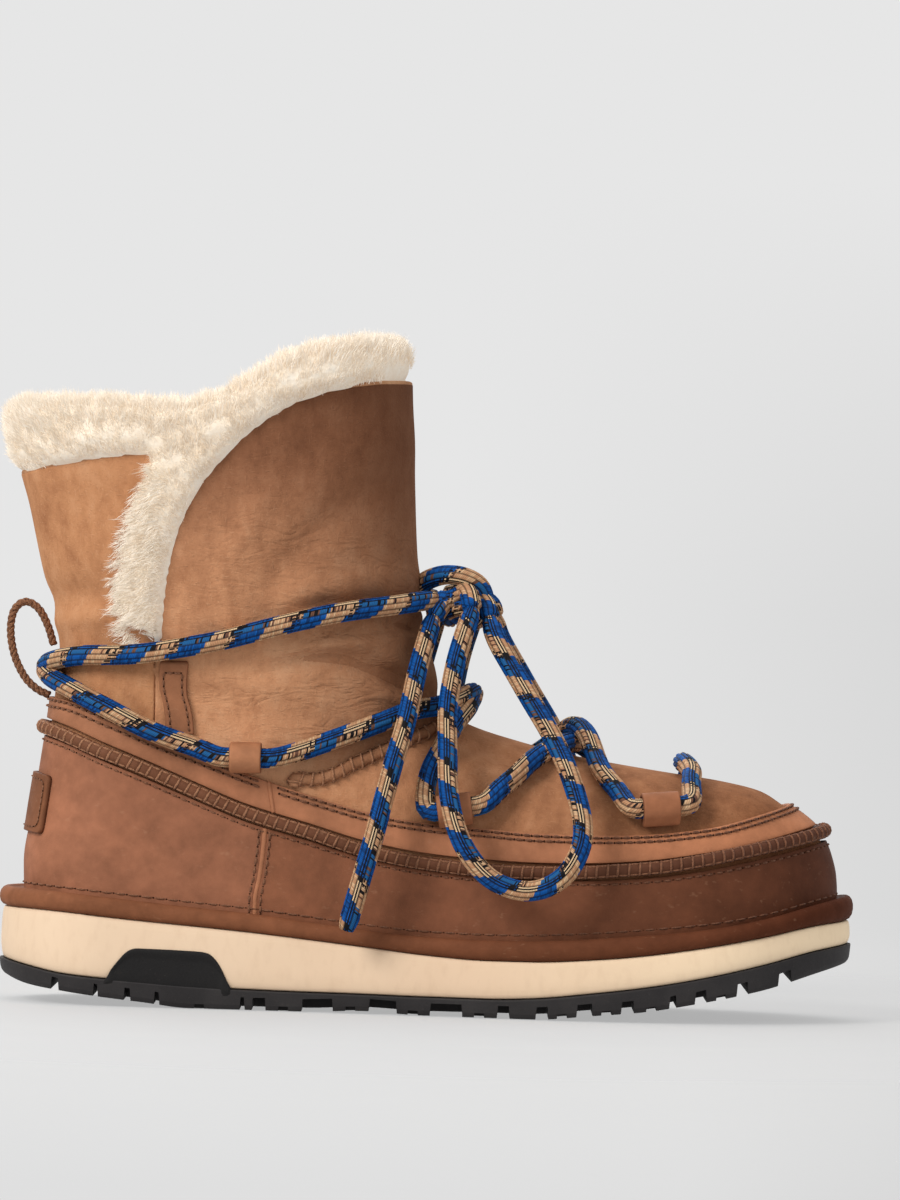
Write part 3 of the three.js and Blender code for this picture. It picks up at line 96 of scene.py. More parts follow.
def distance_to(path, x, z):
    """Distance in the side view from each x, z to a polyline."""
    x, z = np.broadcast_arrays(np.asarray(x, float), np.asarray(z, float))
    a, span = path[:-1], np.diff(path, axis=0)
    square = (span ** 2).sum(1)
    flat_x, flat_z = x.ravel(), z.ravel()
    best = np.empty(flat_x.shape)
    for start in range(0, len(flat_x), 4096):
        px = flat_x[start:start + 4096, None] - a[:, 0]
        pz = flat_z[start:start + 4096, None] - a[:, 1]
        t = np.clip((px * span[:, 0] + pz * span[:, 1]) / square, 0, 1)
        px -= t * span[:, 0]
        pz -= t * span[:, 1]
        best[start:start + 4096] = (px * px + pz * pz).min(-1)
    return np.sqrt(best).reshape(x.shape)


# The boot's own form, as in the part's source
PLAN = columns("x outer inner centre", [
    (-143, 33, 33, 0), (-118, 36, 35.5, 0), (-80, 37, 35, 0), (-40, 38, 35, 0),
    (0, 42.5, 38.5, 0.6), (35, 48.5, 45, 1.6), (65, 51.5, 48.5, 2.6), (95, 51, 47, 3.6),
    (143, 44, 40, 5)])
plan_outer = curve_through(PLAN, "x", "outer")
plan_inner = curve_through(PLAN, "x", "inner")
plan_centre = curve_through(PLAN, "x", "centre")
HEEL_ROUND = 36
TOE_ROUND = 62

LEVELS = columns("x tread outsole midsole welt piping band", [
    (-143, 9.4, 14.3, 31.1, 37.7, 96, 108), (-132, 6.0, 12.2, 31.0, 37.6, 92.5, 102),
    (-120, 4.4, 10.2, 30.5, 37.0, 89, 100), (-108, 3.0, 9.2, 29.5, 36.0, 84, 95.5),
    (-92, 1.4, 8.2, 28.2, 34.6, 77.7, 88.7), (-78, 0, 7.4, 27.2, 33.4, 72, 83.6),
    (-60, 0, 6.8, 25.8, 32.0, 65, 77), (-40, 0, 6.5, 23.9, 29.8, 59.5, 70.8),
    (-20, 0.8, 6.4, 21.9, 27.6, 54, 65.3), (0, 0, 6.2, 19.9, 26.0, 50.6, 62),
    (20, 0, 6.2, 18.8, 25.6, 49.1, 60.4), (36, 0, 6.9, 18.9, 25.9, 48.6, 59.2),
    (56, 1.8, 9.2, 20.2, 27.2, 49.1, 58.8), (72, 3.4, 11.4, 21.9, 28.7, 50.3, 59.3),
    (92, 7.0, 15.1, 25.0, 31.0, 53.4, 61.6), (112, 11.3, 19.7, 28.7, 34.8, 57.8, 66.8),
    (130, 16.6, 24.2, 32.4, 39.6, 62.2, 72), (143, 20.0, 26.2, 33.8, 42.4, 65, 75)])
outsole_z = curve_through(LEVELS, "x", "outsole")
midsole_z = curve_through(LEVELS, "x", "midsole")
welt_z = curve_through(LEVELS, "x", "welt")
piping_z = curve_through(LEVELS, "x", "piping")
band_z = curve_through(LEVELS, "x", "band")

BACK = columns("z x", [
    (30, -132.8), (46, -133.4), (60, -131.4), (72, -129.8), (88, -127.9), (97, -126.9),
    (105, -126.0), (117, -125.2), (128, -127.2), (139, -130.2), (152, -133.6), (166, -137.0),
    (177, -140.2), (200, -144.5), (216, -146.0)])
TOE = columns("z x", [(30, 134.9), (41, 135.5), (48, 135.0), (55, 133.4), (62.3, 130.6)])
back_x = curve_through(BACK, "z", "x")
toe_x = curve_through(TOE, "z", "x")
PIPING_HEEL_Z = 91
PIPING_TOE_Z = 62.3
BAND_HEEL_Z = 101
BAND_TOE_Z = 70.7

RINGS = columns("ring back front_x front_z", [
    (1, 91, 130.6, 62.3), (1.5, 96, 125.6, 66.6), (2, 101, 119.5, 70.7), (3, 102.2, 110.5, 76.0),
    (4, 103.4, 97, 79.0), (5, 104.6, 80, 81.2), (6, 106, 62, 83.8), (7, 107.8, 46, 86.5),
    (8, 110.2, 30, 90.3), (9, 113.8, 14, 95.1), (10, 119, 5, 100.4), (11, 127, 0.8, 113),
    (12, 137, -2.6, 126.5), (13, 148, -5.0, 140), (14, 160, -6.4, 154), (15, 172.5, -7.5, 170),
    (16, 186, -8.4, 186), (17, 201, -9.2, 202), (18, 222, -10, 228)])
TOP_RING = 18
ring_back_z = curve_through(RINGS, "ring", "back")
ring_front_x = curve_through(RINGS, "ring", "front_x")
ring_front_z = curve_through(RINGS, "ring", "front_z")
RIDGE_RINGS = np.arange(1, TOP_RING + 0.01, 0.25)
RIDGE = np.vstack([
    np.column_stack([ring_front_x(RIDGE_RINGS), ring_front_z(RIDGE_RINGS)]), [[-12, 280]]])


def outline(turn):
    turn = np.asarray(turn, float) % 1
    x = HEEL_X + SOLE_LENGTH * (1 - np.cos(2 * np.pi * turn)) / 2
    heel_part = 1 - np.clip((x - HEEL_X) / HEEL_ROUND, 0, 1)
    toe_part = 1 - np.clip((HEEL_X + SOLE_LENGTH - x) / TOE_ROUND, 0, 1)
    heel_arc = np.sqrt(np.maximum(0, 1 - heel_part ** 2.1))
    toe_arc = np.sqrt(np.maximum(0, 1 - toe_part ** 2.2))
    half = np.where(turn < 0.5, -plan_outer(x), plan_inner(x))
    return np.stack([x, plan_centre(x) + half * heel_arc * toe_arc], -1)


def inset_outline(turn, inset):
    step = 1 / 400
    along = outline(turn + step) - outline(turn - step)
    along = unit(along)
    inset = np.asarray(inset, float)
    here = outline(turn)
    return np.stack([here[..., 0] - along[..., 1] * inset, here[..., 1] + along[..., 0] * inset], -1)


def line_height(table_z, heel_at, toe_at, heel_height, toe_height, share):
    x = mix(heel_at, toe_at, share)
    straight = mix(table_z(heel_at), table_z(toe_at), share)
    return mix(heel_height, toe_height, share) + table_z(x) - straight


def piping_height(share):
    heel_at, toe_at = back_x(PIPING_HEEL_Z), toe_x(PIPING_TOE_Z)
    return line_height(piping_z, heel_at, toe_at, PIPING_HEEL_Z, PIPING_TOE_Z, share)


def band_height(share):
    heel_at, toe_at = back_x(BAND_HEEL_Z), ring_front_x(2)
    return line_height(band_z, heel_at, toe_at, BAND_HEEL_Z, BAND_TOE_Z, share)


WALL_SLIM = 0.035
FOOT_LIFT = 2.6


def wall_point(turn, level):
    """Lower wall from the sole (level 0) to the piping line (level 1)."""
    turn, level = np.broadcast_arrays(np.asarray(turn, float), np.asarray(level, float))
    plan = inset_outline(turn, FEATHER_INSET)
    heel_at = back_x(mix(midsole_z(-133) + FOOT_LIFT, PIPING_HEEL_Z, level))
    toe_at = toe_x(mix(midsole_z(135) + FOOT_LIFT, PIPING_TOE_Z, level))
    along = (plan[..., 0] - HEEL_X - FEATHER_INSET) / (SOLE_LENGTH - 2 * FEATHER_INSET)
    x = mix(heel_at, toe_at, along)
    z = mix(midsole_z(x) + FOOT_LIFT, piping_height(along), level)
    centre = plan_centre(plan[..., 0])
    return np.stack([x, centre + (plan[..., 1] - centre) * (1 - WALL_SLIM * level), z], -1)


PIPING_STEPS = 400
PIPING_LOOP = wall_point(np.arange(PIPING_STEPS + 1) / PIPING_STEPS, 1.0)
PIPING_MIDDLE = PIPING_STEPS // 2
PIPING_PATH = PIPING_LOOP[:PIPING_MIDDLE + 1, [0, 2]]
PIPING_BACK_X = PIPING_PATH[0, 0]
PIPING_TOE_X = PIPING_PATH[-1, 0]


def piping_y(x, on_outer):
    outer = PIPING_LOOP[:PIPING_MIDDLE + 1]
    inner = PIPING_LOOP[PIPING_MIDDLE:][::-1]
    y_outer = np.interp(x, outer[:, 0], outer[:, 1])
    y_inner = np.interp(x, inner[:, 0], inner[:, 1])
    return np.where(on_outer, y_outer, y_inner)


BELOW_X = np.arange(-162, 150.0)
BELOW_Z = np.arange(20, 300.0)
BELOW = distance_to(PIPING_PATH, *np.meshgrid(BELOW_X, BELOW_Z, indexing="ij"))


def below_at(x, z):
    """Distance to the piping line, read between the points of a millimetre grid."""
    i = np.clip(np.asarray(x, float) - BELOW_X[0], 0, len(BELOW_X) - 1.001)
    j = np.clip(np.asarray(z, float) - BELOW_Z[0], 0, len(BELOW_Z) - 1.001)
    a, b = i.astype(int), j.astype(int)
    near = mix(BELOW[a, b], BELOW[a, b + 1], j - b)
    return mix(near, mix(BELOW[a + 1, b], BELOW[a + 1, b + 1], j - b), i - a)


SHAFT = columns("z half", [
    (80, 34.5), (100, 34.5), (117, 35), (140, 38), (165, 41), (190, 43.5), (220, 45)])
shaft_half = curve_through(SHAFT, "z", "half")
SHAFT_BACK_ROUND = 62
RIDGE_ROUND = 60


def upper_y(x, z, on_outer):
    back = back_x(z)
    share = np.clip((x - back) / (PIPING_TOE_X - back), 0, 1)
    foot = piping_y(mix(PIPING_BACK_X, PIPING_TOE_X, share), on_outer)
    back_part = 1 - np.clip((x - back) / SHAFT_BACK_ROUND, 0, 1)
    centre = plan_centre(x)
    shaft = shaft_half(z) * np.sqrt(np.maximum(0, 1 - back_part ** 2.1)) * np.where(on_outer, -1, 1)
    base = mix(foot - centre, shaft, smooth(z, 92, 130))
    inside = distance_to(RIDGE, x, z)
    below = below_at(x, z)
    depth = np.clip(inside / np.maximum(1e-6, np.minimum(RIDGE_ROUND, inside + below)), 0, 1)
    power = mix(1.55, 2, smooth(-x, -40, 30))
    return centre + base * np.sqrt(np.maximum(0, 1 - (1 - depth) ** power))


def ring_place(ring, share):
    low = np.minimum(ring, 2) - 1
    back_z = ring_back_z(ring)
    x = mix(back_x(back_z), ring_front_x(ring), share)
    piping_sag = piping_height(share) - mix(PIPING_HEEL_Z, PIPING_TOE_Z, share)
    band_sag = band_height(share) - mix(BAND_HEEL_Z, BAND_TOE_Z, share)
    fade = (1 - smooth(ring, 2, 12.5)) ** 1.2
    return x, mix(back_z, ring_front_z(ring), share) + mix(piping_sag, band_sag, low) * fade


def turn_share(turn):
    start = wall_point(turn, 1.0)
    return np.clip((start[..., 0] - PIPING_BACK_X) / (PIPING_TOE_X - PIPING_BACK_X), 0, 1)


def form_point(ring, turn):
    """A point of the upper's outer surface. Rings 0 to 1 are the wall, 1 to 2 the band, then up."""
    ring, turn = np.broadcast_arrays(np.asarray(ring, float), np.asarray(turn, float) % 1)
    wall = wall_point(turn, np.clip(ring, 0, 1))
    x, z = ring_place(np.maximum(ring, 1), turn_share(turn))
    high = np.stack([x, upper_y(x, z, turn < 0.5), z], -1)
    return np.where((ring <= 1)[..., None], wall, high)


def form_normal(ring, turn):
    ring, turn = np.broadcast_arrays(np.asarray(ring, float), np.asarray(turn, float))
    along_turn = form_point(ring, turn + 0.004) - form_point(ring, turn - 0.004)
    low = np.maximum(0, ring - 0.04)
    along_ring = form_point(low + 0.08, turn) - form_point(low, turn)
    return unit(np.cross(along_turn, along_ring))


def lifted(ring, turn, lift):
    lift = np.asarray(lift, float)
    return form_point(ring, turn) + form_normal(ring, turn) * lift[..., None]


def turn_at(x, on_outer):
    """Turn round the boot where the piping line passes x."""
    half = PIPING_LOOP[:PIPING_MIDDLE + 1] if on_outer else PIPING_LOOP[PIPING_MIDDLE:][::-1]
    turns = np.arange(PIPING_MIDDLE + 1) / PIPING_STEPS
    if not on_outer:
        turns = 1 - turns
    return float(np.interp(x, half[:, 0], turns))


LOCATE_RINGS, LOCATE_TURNS = np.meshgrid(
    np.arange(1, TOP_RING + 0.1, 0.25), np.arange(0.004, 0.5, 0.004), indexing="ij")
LOCATE_SHARES = turn_share(LOCATE_TURNS)
LOCATE_X, LOCATE_Z = ring_place(LOCATE_RINGS, LOCATE_SHARES)


def locate(x, z, on_outer):
    """Ring and turn of the surface point that the side view shows at x, z."""
    side = 0.0 if on_outer else 0.5
    turns = LOCATE_TURNS if on_outer else 1 - LOCATE_TURNS
    miss = np.hypot(LOCATE_X - x, LOCATE_Z - z)
    best = np.unravel_index(np.argmin(miss), miss.shape)
    ring, turn = LOCATE_RINGS[best], turns[best]

    def place(r, t):
        return ring_place(r, turn_share(t))

    for _ in range(12):
        px, pz = place(ring, turn)
        rx, rz = place(ring + 0.02, turn)
        tx, tz = place(ring, turn + 0.001)
        a, b = (rx - px) / 0.02, (tx - px) / 0.001
        c, d = (rz - pz) / 0.02, (tz - pz) / 0.001
        det = a * d - b * c
        if abs(det) < 1e-9:
            break
        ring = float(np.clip(ring + 0.8 * (d * (x - px) - b * (z - pz)) / det, 1, TOP_RING))
        turn = float(np.clip(turn + 0.8 * (a * (z - pz) - c * (x - px)) / det, side + 0.002, side + 0.498))
    return ring, turn


# Mesh helpers
def to_metres(points):
    return (np.asarray(points, float) + ORIGIN_SHIFT) * 0.001


def add_mesh(name, points, faces, material, uv=None, shade=True):
    """A mesh piece from points in millimetres and lists of corner numbers."""
    mesh = bpy.data.meshes.new(name)
    faces = faces.tolist() if isinstance(faces, np.ndarray) else faces
    mesh.from_pydata(to_metres(points).tolist(), [], faces)
    mesh.update()
    if shade:
        mesh.polygons.foreach_set("use_smooth", [True] * len(mesh.polygons))
    if uv is not None:
        layer = mesh.uv_layers.new(name="UVMap")
        corner = np.empty(len(mesh.loops), np.int32)
        mesh.loops.foreach_get("vertex_index", corner)
        layer.data.foreach_set("uv", np.asarray(uv, np.float32)[corner].ravel())
    piece = bpy.data.objects.new(name, mesh)
    bpy.context.scene.collection.objects.link(piece)
    mesh.materials.append(material)
    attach(piece, "root")
    return piece


def grid_faces(rows, cols, wrap=False, start=0, flip=False):
    i, j = np.meshgrid(np.arange(rows - 1), np.arange(cols if wrap else cols - 1), indexing="ij")
    i, j = i.ravel(), j.ravel()
    k = (j + 1) % cols
    quads = np.column_stack([i * cols + j, i * cols + k, (i + 1) * cols + k, (i + 1) * cols + j])
    if flip:
        quads = quads[:, ::-1]
    return quads + start


def slab_faces(rows, cols, wrap=False):
    """Faces of a closed slab: outer grid first, then an inner grid of the same size."""
    size = rows * cols
    outer = grid_faces(rows, cols, wrap)
    inner = grid_faces(rows, cols, wrap, size, flip=True)
    faces = [outer, inner]
    j = np.arange(cols if wrap else cols - 1)
    k = (j + 1) % cols
    top = (rows - 1) * cols
    faces.append(np.column_stack([top + j, top + k, size + top + k, size + top + j]))
    faces.append(np.column_stack([k, j, size + j, size + k]))
    if not wrap:
        i = np.arange(rows - 1)
        last = cols - 1
        faces.append(np.column_stack([
            i * cols, (i + 1) * cols, size + (i + 1) * cols, size + i * cols]))
        faces.append(np.column_stack([
            (i + 1) * cols + last, i * cols + last, size + i * cols + last,
            size + (i + 1) * cols + last]))
    return np.vstack(faces)


def add_slab(name, outer, inner, material, wrap=False):
    """Closed sheet between an outer and an inner grid of points."""
    points = np.vstack([outer.reshape(-1, 3), inner.reshape(-1, 3)])
    return add_mesh(name, points, slab_faces(*outer.shape[:2], wrap), material)


def shade_rim(piece, inside, strength=1.0):
    """Edge shade of a slab: its rim on the outer grid, and the whole inner grid."""
    rim = (1 - inside).ravel() * strength
    set_attribute(piece, "edge_shade", np.concatenate([rim, np.ones(rim.size)]))


def border_fade(rows, cols, reach_rows, reach_cols, wrap=False):
    """1 inside a grid, falling to 0 at its borders over the given numbers of rows and columns."""
    i = np.arange(rows)
    j = np.arange(cols)
    by_row = np.minimum(1, np.minimum(i, rows - 1 - i) / max(1e-6, reach_rows))
    by_col = np.ones(cols) if wrap else np.minimum(1, np.minimum(j, cols - 1 - j) / max(1e-6, reach_cols))
    fade = np.minimum(by_row[:, None], by_col[None, :])
    return np.sqrt(np.clip(1 - (1 - fade) ** 2, 0, 1))


def lengths_along(points):
    """Distance of each point of a path from its start."""
    return np.concatenate([[0], np.cumsum(np.linalg.norm(np.diff(points, axis=0), axis=1))])


def resample(points, step):
    """Even points along a path, and their distance from its start."""
    points = np.asarray(points, float)
    lengths = lengths_along(points)
    count = max(2, int(round(lengths[-1] / step)) + 1)
    at = np.linspace(0, lengths[-1], count)
    return np.column_stack([np.interp(at, lengths, points[:, k]) for k in range(3)]), at


def spline(points, per_span=8):
    """Smooth path through given points."""
    p = np.asarray(points, float)
    first, last = 2 * p[0] - p[1], 2 * p[-1] - p[-2]
    q = np.vstack([first, p, last])
    out = []
    for i in range(1, len(q) - 2):
        for f in np.arange(per_span) / per_span:
            p0, p1, p2, p3 = q[i - 1], q[i], q[i + 1], q[i + 2]
            out.append(0.5 * (2 * p1 + (p2 - p0) * f + (2 * p0 - 5 * p1 + 4 * p2 - p3) * f * f
                              + (3 * p1 - p0 - 3 * p2 + p3) * f ** 3))
    out.append(p[-1])
    return np.array(out)


SOFTENING_PASSES = 10


def softened(path):
    """Rounds a fine path's tight corners; straight stretches and both ends stay."""
    path = np.array(path, float)
    for _ in range(SOFTENING_PASSES):
        path[1:-1] = 0.25 * path[:-2] + 0.5 * path[1:-1] + 0.25 * path[2:]
    return path


def carried_frames(points):
    """Tangent, and two cross directions carried along a path without twist."""
    points = np.asarray(points, float)
    tangent = unit(np.gradient(points, axis=0))
    side = np.empty_like(points)
    up = np.array([0.0, 0.0, 1.0])
    if abs(tangent[0] @ up) > 0.95:
        up = np.array([1.0, 0.0, 0.0])
    side[0] = unit(up - (up @ tangent[0]) * tangent[0])
    for i in range(1, len(points)):
        v = side[i - 1] - (side[i - 1] @ tangent[i]) * tangent[i]
        side[i] = unit(v)
    return tangent, side, np.cross(tangent, side)


def tube_mesh(points, radius, sides):
    """Points, faces and uv of a tube. radius is a number or an array of stations by sides."""
    _, side, other = carried_frames(points)
    count, cols = len(points), sides + 1
    angle = 2 * np.pi * np.arange(cols) / sides
    reach = np.broadcast_to(radius, (count, cols)) if np.ndim(radius) else np.full((count, cols), radius)
    ring = (points[:, None, :] + side[:, None, :] * (reach * np.cos(angle))[..., None]
            + other[:, None, :] * (reach * np.sin(angle))[..., None])
    uv = np.stack([np.broadcast_to(lengths_along(points)[:, None], (count, cols)),
                   np.broadcast_to(angle[None, :] / (2 * np.pi), (count, cols))], -1)
    return ring.reshape(-1, 3), grid_faces(count, cols, flip=True), uv.reshape(-1, 2)


def tube_caps(stations, sides, start=0):
    """End faces of a tube, whose rows have one column more than it has sides."""
    last = start + (stations - 1) * (sides + 1)
    return [list(range(start, start + sides)), list(range(last, last + sides))[::-1]]


def ring_faces(n, count):
    """Faces of a body whose n loops of count points close on themselves both ways."""
    j = np.arange(count)
    k = (j + 1) % count
    closing = np.column_stack([(n - 1) * count + j, (n - 1) * count + k, k, j])
    return np.vstack([grid_faces(n, count, True), closing])


def ring_body(name, rows, material):
    """Closed ring-shaped body from loops listed round its section."""
    grid = np.stack(rows)
    return add_mesh(name, grid.reshape(-1, 3), ring_faces(*grid.shape[:2]), material)


# Camera at the photograph's angle, rolled as the boot stands in it
ROLL = math.radians(1.6)
CAMERA_AT = (0.00729, -2.40125, 0.13713)
FRAME_HEIGHT = 0.402
CAMERA_DISTANCE = 2.4
SENSOR = 36.0


def build_camera():
    data = bpy.data.cameras.new("camera")
    data.sensor_fit = "AUTO"
    data.sensor_width = SENSOR
    data.lens = SENSOR * CAMERA_DISTANCE / FRAME_HEIGHT
    data.clip_start = 0.05
    camera = bpy.data.objects.new("camera", data)
    bpy.context.scene.collection.objects.link(camera)
    right = (math.cos(ROLL), 0, math.sin(ROLL))
    up = (-math.sin(ROLL), 0, math.cos(ROLL))
    back = (0, -1, 0)
    rows = [[right[k], up[k], back[k], CAMERA_AT[k]] for k in range(3)] + [[0, 0, 0, 1]]
    camera.matrix_world = Matrix(rows)
    bpy.context.scene.camera = camera


# Lace: route over the boot, bow and knot
SUEDE_LIFT = LACE_RADIUS + 0.5
TUNNEL_GAP = 0.4
TUNNEL_WALL = 1.2
TUNNEL_BASE = 2.3
TUNNEL_LIFT = TUNNEL_BASE + TUNNEL_WALL + TUNNEL_GAP + LACE_RADIUS
TABS = [
    {"name": "ankle_tab", "at": (-61, 83.2), "ahead": (-54.4, 83.2), "length": 10.5},
    {"name": "waist_tab", "at": (8.6, 66), "ahead": (15, 66.6), "length": 11.5},
    {"name": "toe_tab", "at": (76, 66), "ahead": (82.5, 66.4), "length": 12.5},
]
LOW = TUNNEL_LIFT
UPPER_STRAND = [
    (-12.8, 135.3, SUEDE_LIFT + 0.7), (-27.2, 133.2, SUEDE_LIFT), (-41.6, 130.2, SUEDE_LIFT),
    (-56, 126.6, SUEDE_LIFT), (-70.3, 122.6, SUEDE_LIFT), (-84.7, 119.6, SUEDE_LIFT + 0.6),
    (-95, 117.2, SUEDE_LIFT + 1.4), (-107, 115.6, SUEDE_LIFT + 0.8), (-118, 114.6, SUEDE_LIFT)]
LOWER_STRAND = [
    (-118, 104.2, SUEDE_LIFT), (-108.1, 98.9, SUEDE_LIFT + 0.3), (-98.4, 93.9, SUEDE_LIFT + 1.5),
    (-88.6, 89.6, SUEDE_LIFT + 1.6), (-78.9, 86.7, SUEDE_LIFT + 1.7), (-69.2, 84.2, LOW - 0.3),
    (-61, 83.2, LOW)]
OVER_INSTEP = [
    (-61, 83.2, LOW), (-53, 83.4, LOW - 0.3), (-43, 85.8, SUEDE_LIFT + 1), (-34, 89.2, SUEDE_LIFT + 0.3),
    (-25, 92.6, SUEDE_LIFT + 0.4), (-16.5, 96.2, SUEDE_LIFT + 0.6), (-6.9, 99.4, SUEDE_LIFT + 2)]
INSTEP_DOWN = [
    (5.5, 91.5, SUEDE_LIFT + 2.4), (2, 84, SUEDE_LIFT + 0.6), (-1.6, 76, SUEDE_LIFT + 0.8),
    (-2.6, 69.6, LOW - 0.4), (2, 66.2, LOW), (8.6, 66, LOW)]
OVER_VAMP = [
    (8.6, 66, LOW), (14.8, 67, LOW), (21.9, 71.7, SUEDE_LIFT + 1.4), (30, 78.6, SUEDE_LIFT + 0.2),
    (37.3, 84, SUEDE_LIFT + 0.5)]
DOWN_TO_TOE = [
    (55.3, 80.2, SUEDE_LIFT + 0.4), (61.8, 73, SUEDE_LIFT + 0.2), (67.6, 67.2, LOW - 0.6), (72, 66, LOW),
    (76, 66, LOW)]
TOE_BAR = [
    (76, 66, LOW), (82, 66.6, LOW), (86.4, 70.2, SUEDE_LIFT + 1.2), (86.4, 75.6, SUEDE_LIFT + 0.5)]
HEEL_CROSS = [(8.1, 0.0, SUEDE_LIFT + 0.6)]
INSTEP_CROSS = [(9.5, 0.5, SUEDE_LIFT + 4)]
VAMP_CROSS = [(6.95, 0.5, SUEDE_LIFT + 0.7)]
TOE_TOP = [(4.8, 0.5, SUEDE_LIFT + 0.6)]
KNOT_START = (0.1, -11, 137.2)
KNOT_END = (0.1, 6.8, 138)


def on_side(rows, outer):
    stops = []
    for x, z, lift in rows:
        ring, turn = locate(x, z, outer)
        stops.append((ring, turn, lift))
    return stops


def route_points(stops):
    """Path over the form through stops of ring, turn and lift."""
    route = [np.array(stops[0], float)]
    for stop in stops[1:]:
        stop = np.array(stop, float)
        last = route[-1][1]
        while stop[1] - last > 0.5:
            stop[1] -= 1
        while last - stop[1] > 0.5:
            stop[1] += 1
        route.append(stop)
    fine = spline(route, 6)
    return lifted(fine[:, 0], fine[:, 1], fine[:, 2])


def tunnel_frame(row, outer):
    here = locate(*row["at"], outer)
    ahead = locate(*row["ahead"], outer)
    p = lifted(here[0], here[1], TUNNEL_LIFT)
    q = lifted(ahead[0], ahead[1], TUNNEL_LIFT)
    n = form_normal(here[0], here[1])
    along = unit(q - p)
    across = unit(np.cross(along, n))
    up = unit(np.cross(across, along))
    return p, along, across, up


def lace_route():
    """The whole lace but its bow, as one path, straight where it runs through each tab."""
    # Each stretch: its rows before and after its crossing, the crossing, its lift there, and its two tabs.
    outer, inner = True, False
    stretches = [
        (UPPER_STRAND, outer, HEEL_CROSS, LOWER_STRAND, inner, None, None, (0, inner)),
        (OVER_INSTEP, inner, INSTEP_CROSS, INSTEP_DOWN, outer, None, (0, inner), (1, outer)),
        (OVER_VAMP, outer, VAMP_CROSS, DOWN_TO_TOE, inner, -0.2, (1, outer), (2, inner)),
        (TOE_BAR, inner, TOE_TOP, TOE_BAR[::-1], outer, None, (2, inner), (2, outer)),
        (DOWN_TO_TOE[::-1], outer, VAMP_CROSS, OVER_VAMP[::-1], inner, 5.6, (2, outer), (1, inner)),
        (INSTEP_DOWN[::-1], inner, INSTEP_CROSS, OVER_INSTEP[::-1], outer, 2.6, (1, inner), (0, outer)),
        (LOWER_STRAND[::-1], outer, HEEL_CROSS, UPPER_STRAND[::-1], inner, None, (0, outer), None),
    ]
    route = [np.array(KNOT_START)]
    for before, side, cross, after, far_side, raised, start, end in stretches:
        points = route_points(on_side(before, side) + cross + on_side(after, far_side))
        if raised is not None:
            points = raised_at(points, cross[0], raised)
        for tab in (start, end):
            if tab is not None:
                middle = tunnel_frame(TABS[tab[0]], tab[1])[0]
                reach = TABS[tab[0]]["length"] / 2 + 8.5
                points = points[np.linalg.norm(points - middle, axis=1) > reach]
        points, _ = resample(points, 6.0)
        route.extend(points[:-1] if end is None else points)
        if end is not None:
            middle, along, _, _ = tunnel_frame(TABS[end[0]], end[1])
            half = TABS[end[0]]["length"] / 2
            sign = 1 if (points[-1] - middle) @ along > 0 else -1
            for reach in (half + 4.5, half + 1, 0, -half - 1, -half - 4.5):
                route.append(middle + along * sign * reach)
    route.append(np.array(KNOT_END))
    return np.array(route)


def raised_at(points, cross, by):
    """Lifts a strand where it passes over another, in a long low hump."""
    centre = lifted(cross[0], cross[1], cross[2])
    normal = form_normal(cross[0], cross[1])
    far = np.linalg.norm(points - centre, axis=1)
    hump = 1 - smooth(far, 3, 20)
    return points + normal * (hump * by)[:, None]


LOOP = columns("x y z", [
    (12.5, -15.5, 134.2), (10.5, -19.5, 127.5), (8, -23, 119), (6.3, -27, 110.1), (5.1, -32, 100.1),
    (5.6, -38.5, 87.6), (5.9, -45, 77.1), (7.7, -51, 66.7), (11.7, -54.5, 56.3), (19.3, -55.5, 47.1),
    (27.8, -56, 43.1), (36.1, -57, 42.8), (44.4, -57.5, 47.2), (49.4, -56.5, 55.2), (50.8, -53, 63.6),
    (48.3, -48, 74), (44.4, -41, 84.4), (38.9, -34, 94.8), (32.3, -28, 105.1), (26, -22, 115.4),
    (20.5, -16.5, 124.5), (18.5, -11.5, 131)])
END = columns("x y z", [
    (-0.6, -14.8, 130.8), (-3, -22, 122), (-5.3, -27, 112.9), (-7, -32.5, 103.7), (-8.8, -37, 94.6),
    (-12.3, -43.5, 82.5), (-15.7, -48, 68), (-18.2, -50, 57.2), (-20.9, -50.5, 47.5), (-24.3, -50, 34.5),
    (-26.1, -49, 28)])
INNER_SHIFT = 3
INNER_LOOP_PULL = 8
INNER_END_PULL = 4.6


def bow_points(table, outer, most):
    points = np.column_stack([table["x"], table["y"], table["z"]])
    if outer:
        return points
    pull = most * smooth(points[:, 2], 95, 130)
    return np.column_stack([points[:, 0] + INNER_SHIFT * 0.5, -points[:, 1] - pull,
                            points[:, 2] + INNER_SHIFT * 0.3])


SIDES = (("outer", True), ("inner", False))
BOW_PACE = 1.15
BRAID_RIBS = 10
BRAID_SIDES = 40
BRAID_STEP = 2.0
RIB_DEPTH = 0.42


def ribbed_reach(stations):
    """Distance of the braid's skin from its middle, with its lengthwise ribs."""
    angle = 2 * np.pi * np.arange(BRAID_SIDES + 1) / BRAID_SIDES
    rib = np.abs(np.sin(angle * BRAID_RIBS / 2))
    profile = LACE_RADIUS - RIB_DEPTH * (1 - rib) ** 1.6
    return np.broadcast_to(profile, (stations, BRAID_SIDES + 1)).copy()


